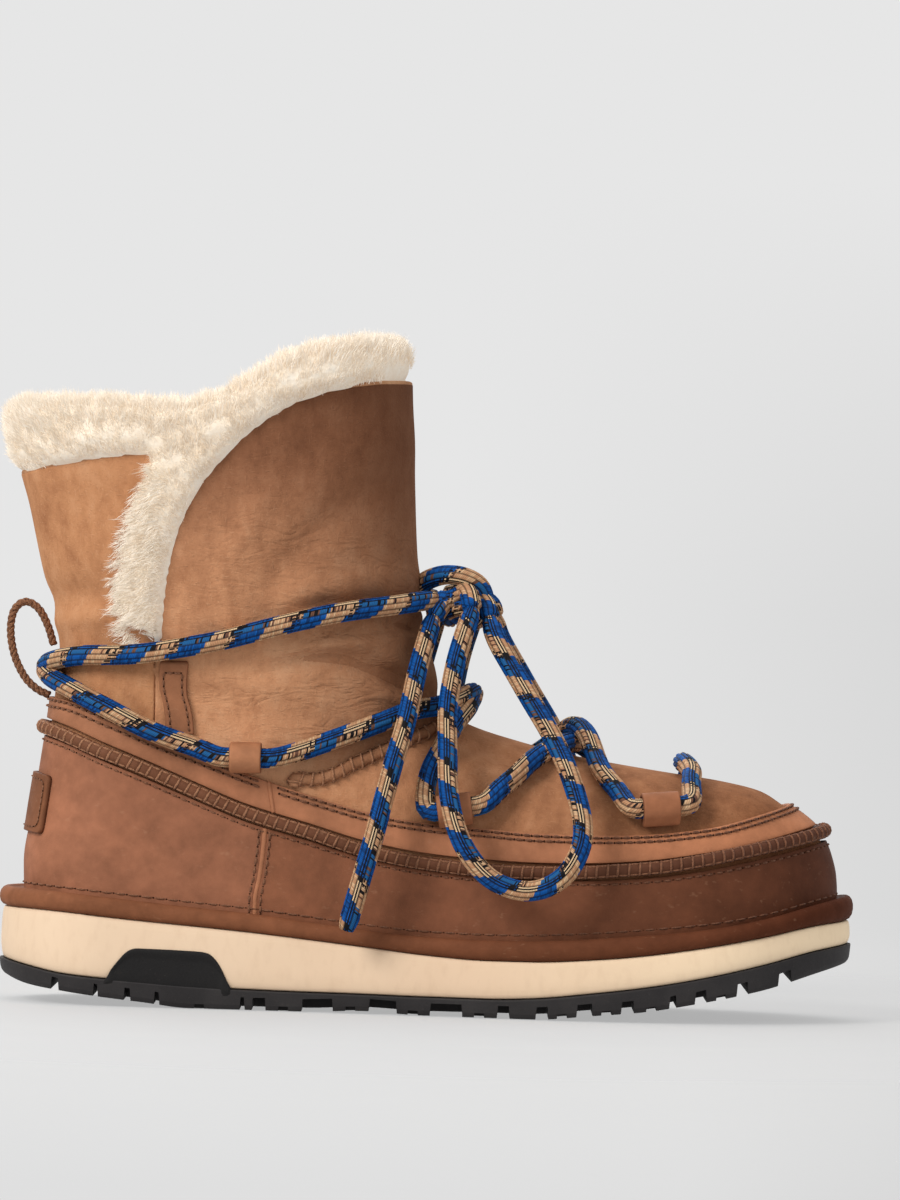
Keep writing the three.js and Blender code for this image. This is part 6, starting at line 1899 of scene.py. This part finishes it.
# Shearling lining: lumpy pile body, then fibres in pieces of their own
WOOL_TOP = columns("x ring", [
    (-150, 16.78), (-110, 16.88), (-88, 16.83), (-74, 17.0), (-62, 17.3), (-50, 17.57),
    (-30, 17.75), (-5, 17.78)])
wool_top_ring = curve_through(WOOL_TOP, "x", "ring")
WOOL_FOOT_RING = 9.45
WOOL_THICK = 9.0
OPENING = np.vstack([[(-91.5, 112)], REAR_EDGE[:9][::-1], [(-200, 300), (60, 300)], FLAP_EDGE[1:][::-1]])


def inside_opening(x, z):
    inside = np.zeros(np.shape(x), bool)
    for (ax, az), (bx, bz) in zip(OPENING, np.roll(OPENING, 1, axis=0)):
        if az == bz:
            continue
        crosses = (az > z) != (bz > z)
        inside ^= crosses & (x < (bx - ax) * (z - az) / (bz - az) + ax)
    return inside


WOOL_EDGE = columns("z x", [
    (112, -101.5), (122, -103.5), (127, -105), (134, -106.2), (147, -106), (155, -104), (166, -100.5),
    (176, -95.5),
    (184, -92.5)])
wool_edge_x = curve_through(WOOL_EDGE, "z", "x")


def wool_lift(x, z):
    """How far the pile stands over the upper's outer surface, by its place in the side view."""
    hidden = -WALL - 1.5
    edge = np.minimum(distance_to(FLAP_EDGE[1:], x, z), distance_to(REAR_TOP, x, z))
    shoulder = mix(-0.2, 4.2, np.sqrt(np.clip(edge / 5.5, 0, 1)))
    over = shoulder - 4.6 * smooth(x, -38, -12) - 2.0 * smooth(-x, 118, 140)
    under = mix(-0.3, hidden, smooth(edge, 0.4, 3.4))
    reach = np.maximum(1.5, -93 - wool_edge_x(z))
    fringe = np.minimum(shoulder, mix(4.2, -1.5, smooth(-93 - x, 0.25 * reach, reach + 0.5)))
    by_slit = (x < -91.5) & (x > -112) & (z > 122) & (z < 181)
    beside = mix(hidden, fringe, smooth(z, 120, 129))
    return np.where(inside_opening(x, z), over, np.where(by_slit, beside, under))


def wool_grid(levels, turns):
    near_x = form_point(17.0, turns)[..., 0]
    top = wool_top_ring(near_x)
    rings = WOOL_FOOT_RING + (top - WOOL_FOOT_RING)[None, :] * levels[:, None]
    turns = np.broadcast_to(turns, rings.shape)
    return rings, turns


def build_wool(material):
    cols = 290
    turns = np.arange(cols) / cols
    levels = np.concatenate([np.linspace(0, 0.9, 50), np.linspace(0.9, 1.0, 11)[1:]])
    rings, turn_rows = wool_grid(levels, turns)
    base = form_point(rings, turn_rows)
    normals = form_normal(rings, turn_rows)
    x, z = base[..., 0], base[..., 2]
    crown = np.clip((levels - 0.93) / 0.07, 0, 1)[:, None]
    crown_in = 4.6 * (1 - np.sqrt(np.maximum(0, 1 - crown ** 2)))
    shown = smooth(wool_lift(x, z), 0, 2.4)
    lumps = 0.9 * wave(base, 9, 21) + 0.5 * wave(base, 4.5, 22)
    outer = base + normals * (wool_lift(x, z) + shown * lumps - crown_in)[..., None]
    inner_lumps = 0.9 * wave(base, 8, 23) + 0.5 * wave(base, 4, 24)
    inner_lift = -WALL - 0.3 - WOOL_THICK + crown_in + inner_lumps
    inner = base + normals * inner_lift[..., None]
    up = unit(form_point(rings[-1] + 0.05, turns) - form_point(rings[-1] - 0.05, turns))
    top = [mix(outer[-1], inner[-1], t) + up * (1.3 * math.sin(math.pi * t)
           + 0.8 * wave(mix(outer[-1], inner[-1], t), 6, 25) * math.sin(math.pi * t))[..., None]
           for t in (0.2, 0.4, 0.6, 0.8)]
    rows = list(outer) + top + list(inner[::-1])
    piece = ring_body("shearling_pile", rows, material)
    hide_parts("wool_lining")


FIBRE_WIDTHS = (0.16, 0.28)


def fibres(name, roots, directions, lengths, widths, bends, material, tones):
    """Tapered ribbon fibres, each of two bent lengths ending in a point."""
    count = len(roots)
    side = unit(np.cross(directions, RANDOM.normal(size=(count, 3)))) * (widths / 2)[:, None]

    def along(share):
        return roots + directions * (lengths * share)[:, None] + bends * (lengths * share ** 1.8)[:, None]

    root, middle = along(0), along(0.5)
    stacked = np.stack([root - side, root + side, middle - side * 0.9, middle + side * 0.9, along(1)], 1)
    base = (np.arange(count) * 5)[:, None]
    faces = (base + np.array([0, 1, 3, 2])).tolist() + (base + np.array([2, 3, 4])).tolist()
    piece = add_mesh(name, stacked.reshape(-1, 3), faces, material)
    set_attribute(piece, "fibre_share", np.tile([0, 0, 0.5, 0.5, 1.0], count))
    set_attribute(piece, "fibre_tone", np.repeat(tones, 5))
    return piece


def tone_at(points, seed):
    return np.clip(0.55 + 0.3 * wave(points, 7, seed) + RANDOM.normal(0, 0.10, len(points)), 0, 1)


def lock_sway(points, size, seed):
    return np.stack([wave(points, size, seed + k) for k in range(3)], -1)


def shell_samples(count, level_low, level_high, keep):
    """Random surface samples of ring, turn and level, thinned by the function keep(x, z, turn)."""
    kept = []
    total = 0
    while total < count:
        turns = RANDOM.uniform(0, 1, count * 2)
        levels = RANDOM.uniform(level_low, level_high, count * 2)
        top = wool_top_ring(form_point(17.0, turns)[:, 0])
        rings = WOOL_FOOT_RING + (top - WOOL_FOOT_RING) * levels
        base = form_point(rings, turns)
        chosen = RANDOM.uniform(0, 1, count * 2) < keep(base[:, 0], base[:, 2], turns)
        kept.append(np.column_stack([rings, turns, levels])[chosen])
        total += chosen.sum()
    return np.vstack(kept)[:count]


def surface_at(rings, turns):
    base = form_point(rings, turns)
    up = unit(form_point(rings + 0.05, turns) - form_point(rings - 0.05, turns))
    return base, form_normal(rings, turns), up


def build_outside_fibres(material, number):
    def share(x, z, turns):
        edge_turn = np.minimum(turns, 1 - turns)
        even = 0.25 + 0.75 * np.clip(np.sin(np.pi * np.minimum(edge_turn * 2, 1)) * 1.4, 0, 1)
        return np.where(wool_lift(x, z) > -0.15, 1.0, 0.0) * even

    rings, turns, levels = shell_samples(20500, 0.25, 0.995, share).T
    base, normals, up = surface_at(rings, turns)
    x, z = base[:, 0], base[:, 2]
    slit = smooth(-x, 86, 92) * (1 - smooth(-x, 108, 114)) * (1 - smooth(z, 168, 184))
    crown = smooth(levels, 0.93, 1.0)
    front = smooth(x, -40, -14)
    roots = base + normals * (wool_lift(x, z) - 0.6 - 3.2 * crown ** 2)[:, None]
    leftward = np.array([-1.0, 0, -0.45])
    outward = mix(mix(0.55, 0.65, slit), 0.3, front)
    flow = (normals * outward[:, None] + up * (0.75 - 0.75 * slit + 0.5 * crown)[:, None]
            + leftward * (slit * 0.75)[:, None])
    direction = unit(flow + 0.42 * lock_sway(base, 5.0, 31) + RANDOM.normal(0, 0.13, base.shape))
    bend = 0.4 * lock_sway(base, 6.5, 41) + RANDOM.normal(0, 0.12, base.shape)
    lengths = RANDOM.uniform(2.2, 3.9, len(base)) * (1 + 0.3 * slit + 0.2 * crown)
    widths = RANDOM.uniform(*FIBRE_WIDTHS, len(base))
    return fibres("wool_outside_%d" % number, roots, direction, lengths, widths,
                  bend, material, tone_at(base, 51))


def build_rim_fibres(material, number):
    """Fibres over the rounded crown, from its outer to its inner edge."""
    count = 15000
    turns = RANDOM.uniform(0, 1, count)
    top = wool_top_ring(form_point(17.0, turns)[:, 0])
    base, normals, up = surface_at(top, turns)
    inward = RANDOM.uniform(0, 1, count)
    outer_lift = wool_lift(base[:, 0], base[:, 2] - 2)
    lift = mix(outer_lift, -WALL - WOOL_THICK - 0.3, inward)
    near = np.minimum(inward, 1 - inward) * (outer_lift + WALL + WOOL_THICK)
    drop = 8 * (1 - np.sqrt(1 - np.clip(1 - near / 4.6, 0, 1) ** 2))
    roots = base + normals * lift[:, None] + up * (0.9 * np.sin(np.pi * inward) - drop - 0.7)[:, None]
    outward = mix(0.6, -0.6, inward) * np.where(inward < 0.5, 1 - 0.6 * smooth(base[:, 0], -40, -14), 1)
    direction = unit(up + normals * outward[:, None] + 0.45 * lock_sway(roots, 4.5, 61)
                     + RANDOM.normal(0, 0.16, base.shape))
    bend = 0.45 * lock_sway(roots, 6, 71) + RANDOM.normal(0, 0.12, base.shape)
    return fibres("wool_rim_%d" % number, roots, direction, RANDOM.uniform(2.4, 4.2, count),
                  RANDOM.uniform(*FIBRE_WIDTHS, count), bend, material, tone_at(base, 52))


def build_fringe(material):
    """Long tufts along the slit's rear edge, pointing back and down over the rear panel."""
    roots, directions, lengths, tones = [], [], [], []
    for outer in (True, False):
        for k in range(60):
            z = mix(119, 182, k / 59)
            x = float(wool_edge_x(z)) + 1.2 * math.sin(k * 0.9) + 0.9 * math.sin(k * 2.1 + 1) + 1.5
            ring, turn = locate(float(np.clip(x, -118, -92)), z, outer)
            base = lifted(ring, turn, 0.5)
            normal = form_normal(ring, turn)
            lean = unit(np.array([-1.0, 0, -0.55 + 0.45 * math.sin(k * 1.3)]))
            reach = RANDOM.uniform(0.8, 1.25)
            for _ in range(46):
                shift = RANDOM.normal(0, 0.9, 3)
                shift -= normal * (shift @ normal)
                roots.append(base + shift + np.array([RANDOM.uniform(0, 4.5), 0, RANDOM.uniform(-1.0, 1.0)]))
                directions.append(unit(lean + normal * RANDOM.uniform(0.1, 0.45) + RANDOM.normal(0, 0.17, 3)))
                lengths.append(RANDOM.uniform(2.6, 5.2) * reach)
                tones.append(np.clip(RANDOM.normal(0.65, 0.2), 0, 1))
    roots, directions = np.array(roots), np.array(directions)
    bends = 0.35 * lock_sway(roots, 5, 81) + RANDOM.normal(0, 0.12, roots.shape)
    widths = RANDOM.uniform(*FIBRE_WIDTHS, len(roots))
    return fibres("wool_slit_fringe", roots, directions, np.array(lengths), widths,
                  bends, material, np.array(tones))


def build_edge_fibres(name, edge, number, material):
    """Soft fibres that rise beside a panel's edge, over the pile next to it."""
    edge, _ = resample(np.column_stack([edge, np.zeros(len(edge))]), 1.0)
    along = unit(np.gradient(edge, axis=0))
    roots, directions = [], []
    for outer in (True, False):
        for (x, z, _), (ahead_x, ahead_z, _) in zip(edge, along):
            away = np.array([-ahead_z, 0, ahead_x])
            ring, turn = locate(x - ahead_z, z + ahead_x, outer)
            base, normal = lifted(ring, turn, 0.0), form_normal(ring, turn)
            spread = RANDOM.uniform(-0.4, 3.0, number)
            shift = np.outer(spread, away) + RANDOM.normal(0, 0.5, (number, 3))
            shift -= np.outer(shift @ normal, normal)
            places = base + shift
            lift = np.maximum(wool_lift(places[:, 0], places[:, 2]), 0.0) + 0.3
            roots.append(places + normal * lift[:, None])
            lean = away * 0.7 + normal * 0.4 + np.array([0, 0, 0.35])
            directions.append(unit(lean + RANDOM.normal(0, 0.28, (number, 3))))
    roots, directions = np.vstack(roots), np.vstack(directions)
    bends = 0.3 * lock_sway(roots, 5, 85) + RANDOM.normal(0, 0.12, roots.shape)
    return fibres(name, roots, directions, RANDOM.uniform(2.2, 3.8, len(roots)),
                  RANDOM.uniform(*FIBRE_WIDTHS, len(roots)), bends, material, tone_at(roots, 54))


def build_inside_fibres(material):
    sample = shell_samples(12500, 0.2, 0.97, lambda x, z, t: smooth(z, 120, 175) * 0.8 + 0.2)
    rings, turns, _ = sample.T
    base, normals, up = surface_at(rings, turns)
    roots = base - normals * (WALL + WOOL_THICK - 0.5)
    direction = unit(-normals + up * 0.35 + 0.6 * lock_sway(base, 5, 91) + RANDOM.normal(0, 0.18, base.shape))
    bend = 0.45 * lock_sway(base, 6, 95) + RANDOM.normal(0, 0.12, base.shape)
    return fibres("wool_inside", roots, direction, RANDOM.uniform(2.4, 4.2, len(base)),
                  RANDOM.uniform(0.24, 0.38, len(base)), bend, material, tone_at(base, 53))


def build_wool_fibres(material):
    for number in range(2):
        build_outside_fibres(material, number)
        build_rim_fibres(material, number)
    build_fringe(material)
    build_edge_fibres("wool_flap_side", FLAP_EDGE[1:-1], 24, material)
    build_edge_fibres("wool_rear_side", REAR_TOP[1:], 18, material)
    build_inside_fibres(material)


def edge_tube(name, rings, turns, lift, radius, material):
    """Pale raw edge of the leather along a panel's rim."""
    path = lifted(rings, turns, np.full(len(rings), float(lift)))
    path, _ = resample(path, 0.8)
    verts, faces, _ = tube_mesh(path, radius, 10)
    faces = faces.tolist()
    faces += [list(range(10)), list(range((len(path) - 1) * 11, (len(path) - 1) * 11 + 10))[::-1]]
    piece = add_mesh(name, verts, faces, material)
    set_attribute(piece, "edge_shade", np.zeros(len(verts)))
    return piece


def build_raw_edges(material):
    """Rolled cut edges along the tops of the flap and the rear panel."""
    base = SLIT_TURN + (1 - 2 * SLIT_TURN) * row_shares(210, 0.003)
    folded = np.where(base > 0.5, 1 - base, base)
    rings = flap_top(folded)
    turns = flap_turns(base, folded, slit_turn(np.minimum(rings, SLIT_RING), FLAP_EDGE))
    edge_tube("flap_raw_edge", rings, turns, -1.1, 0.95, material)
    across = row_shares(120, 0.006) * 2 - 1
    corner = locate(-93, 181.6, True)
    tops = np.array([ring_where(np.array([abs(s) * corner[1]]), rear_height)[0] for s in across])
    turns = slit_turn(tops, REAR_SLIT) * across
    edge_tube("rear_raw_edge", tops, turns, -1.1, 0.95, material)


def rows_on_form(rings, turns, lift):
    return lifted(rings, turns, np.full(len(rings), float(lift))), form_normal(rings, turns)


def build_stitch_rows(thread_material, hole_material):
    """Double rows of stitches along the bands, down both counter seams and along the welt."""
    seams = {True: turn_at(BAND_SEAM_X, True), False: turn_at(BAND_SEAM_X, False)}
    high = OVERLAY_HIGH + 0.04
    loops = [("heel", seams[False] - 1 + 0.004, seams[True] - 0.004, 260),
             ("toe", seams[True] + 0.004, seams[False] - 0.004, 420)]
    for name, start, end, count in loops:
        turns = np.linspace(start, end, count)
        width = np.linalg.norm(form_point(2.0, turns) - form_point(1.0, turns), axis=-1)
        for row, down in ((0, 1.5), (1, 3.4)):
            path, normals = rows_on_form(2 - down / width, turns, high)
            stitches("band_%s_stitch_%d" % (name, row), path, normals, 3.3, 0.66, 0.42, thread_material,
                     hole_material)
    for side, outer in SIDES:
        seam = turn_at(GUARD_SEAM_X, outer)
        step = 0.001
        speed = np.linalg.norm(wall_point(seam + step, 0.5) - wall_point(seam - step, 0.5)) / (2 * step)
        top = float(guard_top(np.array([seam]))[0])
        for row, shift in ((0, -1.9), (1, 1.9)):
            turns = np.full(60, seam + shift / speed)
            path, normals = rows_on_form(np.linspace(0.1, top - 0.015, 60), turns, high)
            stitches("counter_%s_stitch_%d" % (side, row), path, normals, 3.0, 0.64, 0.4, thread_material,
                     hole_material)
    turns = np.linspace(0, 1, 900)
    foot = wall_point(turns, 0.0)
    tall = np.maximum(8, wall_point(turns, 1.0)[:, 2] - foot[:, 2])
    path, normals = rows_on_form(guard_top(turns) - 1.4 / tall, turns, high)
    stitches("guard_top_stitch", path, normals, 3.5, 0.55, 0.3, thread_material, hole_material)
    rings = (welt_z(foot[:, 0]) + 1.5 - foot[:, 2]) / tall
    path, normals = rows_on_form(rings, turns, high)
    stitches("welt_stitch", path, normals, 4.4, 0.72, 0.3, thread_material, hole_material)


def build_counter_ridges(material):
    """Narrow rolled edge that closes each counter seam, from the welt to the band's top."""
    for side, outer in SIDES:
        guard_turn, band_turn = turn_at(GUARD_SEAM_X, outer), turn_at(BAND_SEAM_X, outer)
        top = float(guard_top(np.array([guard_turn]))[0])
        low = float(band_start(np.array([band_turn]))[0])
        for name, seam, rings, radius in (("guard", guard_turn, np.linspace(0.02, top - 0.005, 40), 0.95),
                                          ("band", band_turn, np.linspace(low, 1.99, 14), 0.75)):
            path = lifted(rings, np.full(len(rings), seam), np.full(len(rings), OVERLAY_HIGH - 0.45))
            path, _ = resample(path, 0.6)
            verts, faces, _ = tube_mesh(path, radius, 12)
            last = (len(path) - 1) * 13
            faces = faces.tolist() + [list(range(12)), list(range(last, last + 12))[::-1]]
            piece = add_mesh("counter_ridge_%s_%s" % (name, side), verts, faces, material)
            set_attribute(piece, "edge_shade", np.zeros(len(verts)))


# Everything is put together here; the lace comes first
def build_boot():
    braid = braid_material()
    build_lace(braid)
    build_knot(braid)
    rear_suede = suede("rear_suede", (srgb(158, 104, 70), srgb(196, 139, 98), srgb(216, 162, 122)))
    # Vamp tones darken from heel side to toe side: the far tones are painted shade away from the light.
    vamp_suede = suede("vamp_suede", (srgb(160, 108, 76), srgb(196, 138, 99), srgb(216, 163, 123)),
                       (srgb(96, 58, 37), srgb(136, 88, 58), srgb(164, 113, 79)))
    seam_suede = suede("seam_suede", (srgb(126, 84, 58), srgb(164, 114, 82), srgb(186, 136, 102)), shade=0.4)
    edge_suede = suede("edge_suede", (srgb(150, 104, 74), srgb(188, 138, 102), srgb(214, 168, 130)),
                       (srgb(150, 104, 74), srgb(188, 138, 102), srgb(214, 168, 130)), shade=0.3)
    front_suede = shaft_suede()
    # Heel and toe tones: darker toe tones are partly painted shade away from the light; the band's lighter
    # toe is painted light that makes up for the shade there.
    heel_leather = leather("heel_leather", srgb(163, 107, 79), srgb(92, 52, 34))
    toe_leather = leather("toe_leather", srgb(154, 99, 71), srgb(86, 46, 27))
    band_leather = leather("band_leather", srgb(164, 110, 80), srgb(180, 118, 83))
    rand_leather = leather("rand_leather", srgb(143, 91, 63), srgb(82, 42, 25), gloss=0.66, specular=0.07)
    tab_leather = leather("tab_leather", srgb(186, 128, 92), srgb(152, 96, 66))
    strip_leather = leather("strip_leather", srgb(166, 111, 79), srgb(130, 84, 58))
    piping_leather = leather("piping_leather", srgb(120, 77, 54), srgb(82, 48, 33))
    label_leather = leather("label_leather", srgb(126, 80, 54), srgb(100, 61, 41))
    dark_thread = thread("dark_thread", srgb(148, 102, 75), srgb(108, 70, 49),
                         srgb(118, 76, 54), srgb(80, 50, 35))
    tan_thread = thread("tan_thread", srgb(172, 124, 92), srgb(132, 90, 65),
                        srgb(128, 84, 60), srgb(92, 57, 40))
    seam_thread = thread("seam_thread", srgb(178, 128, 94), srgb(132, 90, 64))
    # Needle holes: dark tubes of painted shade.
    holes = plain_dark("needle_hole_shade", srgb(74, 45, 31))
    cord = thread("pull_cord", srgb(150, 104, 74), srgb(78, 48, 34))
    fleece = wool_material(srgb(229, 211, 188), srgb(239, 226, 208), srgb(247, 239, 226))
    hair = fibre_material()

    vamp = build_vamp(vamp_suede)
    shaft = build_shaft(front_suede)
    rear = build_rear(rear_suede)
    wall = build_lower_wall(vamp_suede)
    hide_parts("upper")
    build_raw_edges(edge_suede)
    build_guards(heel_leather, toe_leather)
    build_bands(band_leather, band_leather)
    build_piping(piping_leather, tan_thread)
    build_welt(rand_leather)
    build_vamp_seam(seam_suede, seam_thread)
    build_counter_ridges(band_leather)
    for side, outer in SIDES:
        build_slit_tab(side, outer, strip_leather, dark_thread, holes)
        for tab in TABS:
            build_tunnel(tab, side, outer, tab_leather)
    build_pull_loop(cord)
    build_heel_patch(label_leather, dark_thread, holes)
    build_stitch_rows(dark_thread, holes)
    build_midsole(foam())
    build_outsole(rubber("outsole_rubber", srgb(35, 32, 33), srgb(49, 46, 46)))
    tab_rubber = rubber("side_tab_rubber", srgb(14, 12, 13), srgb(21, 19, 19))
    for side, outer in SIDES:
        build_side_tab(side, outer, tab_rubber)
    build_insole(fleece)
    build_wool(fleece)
    build_wool_fibres(hair)


def floor_material():
    """Pale sweep that melts into the pale world away from the boot."""
    n = Nodes("floor", roughness=0.9, specular=0.05)
    grain = n.noise(60, 3, 0.5)
    place = n.object_place()
    far = n.node("ShaderNodeVectorMath", operation="LENGTH")
    n.put(far.inputs[0], place)
    n.put(n.shader.inputs["Alpha"], n.ramp(far.outputs["Value"], 0.20, 0.75, 0.44, 0.0))
    return n.finish(n.blend(n.ramp(grain, 0.3, 0.7, 0.0, 0.3), FLOOR_TONE, srgb(208, 208, 208)))


FLOOR_TONE = srgb(214, 214, 214)


def build_stage():
    mesh = bpy.data.meshes.new("floor")
    half = 0.9
    corners = [(-half, -half, 0), (half, -half, 0), (half, half, 0), (-half, half, 0)]
    mesh.from_pydata(corners, [], [(0, 1, 2, 3)])
    floor = bpy.data.objects.new("floor", mesh)
    floor.location = (0, 0, -0.0002)
    bpy.context.scene.collection.objects.link(floor)
    mesh.materials.append(floor_material())
    world = bpy.data.worlds.new("studio")
    bpy.context.scene.world = world
    world.use_nodes = True
    tree = world.node_tree
    seen = tree.nodes["Background"]
    side = tree.nodes.new("ShaderNodeMapRange")
    side.inputs["From Min"].default_value = 0.0
    side.inputs["From Max"].default_value = 0.07
    split = tree.nodes.new("ShaderNodeSeparateXYZ")
    tree.links.new(tree.nodes.new("ShaderNodeTexCoord").outputs["Generated"], split.inputs[0])
    tree.links.new(split.outputs["X"], side.inputs["Value"])
    low = tree.nodes.new("ShaderNodeMapRange")
    low.inputs["From Min"].default_value = 0.06
    low.inputs["From Max"].default_value = 0.0
    low.inputs["To Min"].default_value = 0.0
    low.inputs["To Max"].default_value = 1.0
    tree.links.new(split.outputs["Z"], low.inputs["Value"])
    ground = tree.nodes.new("ShaderNodeMapRange")
    ground.inputs["From Min"].default_value = 0.0
    ground.inputs["From Max"].default_value = -0.06
    ground.inputs["To Max"].default_value = 0.5
    tree.links.new(split.outputs["Z"], ground.inputs["Value"])
    both_ways = tree.nodes.new("ShaderNodeMath")
    both_ways.operation = "MULTIPLY"
    tree.links.new(side.outputs["Result"], both_ways.inputs[0])
    tree.links.new(low.outputs["Result"], both_ways.inputs[1])
    either = tree.nodes.new("ShaderNodeMath")
    either.operation = "MAXIMUM"
    tree.links.new(both_ways.outputs[0], either.inputs[0])
    tree.links.new(ground.outputs["Result"], either.inputs[1])
    # Painted shade on the backdrop: darker towards the right near the horizon and below it.
    shade = tree.nodes.new("ShaderNodeMix")
    shade.data_type = "RGBA"
    tree.links.new(either.outputs[0], shade.inputs["Factor"])
    shade.inputs["A"].default_value = srgb(230, 230, 230)
    shade.inputs["B"].default_value = srgb(216, 216, 216)
    tree.links.new(shade.outputs["Result"], seen.inputs["Color"])
    seen.inputs["Strength"].default_value = 1.0
    lit = tree.nodes.new("ShaderNodeBackground")
    lit.inputs["Color"].default_value = (0.80, 0.80, 0.80, 1)
    lit.inputs["Strength"].default_value = 0.66
    path = tree.nodes.new("ShaderNodeLightPath")
    both = tree.nodes.new("ShaderNodeMixShader")
    tree.links.new(path.outputs["Is Camera Ray"], both.inputs[0])
    tree.links.new(lit.outputs[0], both.inputs[1])
    tree.links.new(seen.outputs[0], both.inputs[2])
    tree.links.new(both.outputs[0], tree.nodes["World Output"].inputs["Surface"])

    def area(name, size, energy, place, target, colour=(1, 1, 1)):
        data = bpy.data.lights.new(name, "AREA")
        data.shape = "SQUARE"
        data.size = size
        data.energy = energy
        data.color = colour
        lamp = bpy.data.objects.new(name, data)
        bpy.context.scene.collection.objects.link(lamp)
        lamp.location = place
        direction = np.array(target) - np.array(place)
        lamp.rotation_euler = Vector(direction).to_track_quat("-Z", "Y").to_euler()

    area("key", 0.9, 33, (-1.3, -1.4, 1.35), (0, 0, 0.1), (1.0, 0.985, 0.96))
    area("fill", 1.6, 5, (1.4, -1.3, 0.8), (0, 0, 0.1))
    area("top", 1.2, 9, (-0.2, 0.4, 1.8), (0, 0, 0.1))
    area("back", 1.4, 9, (-0.5, 1.6, 1.0), (0, 0, 0.1))
    bpy.context.scene.view_settings.view_transform = "Standard"


build_boot()
build_stage()
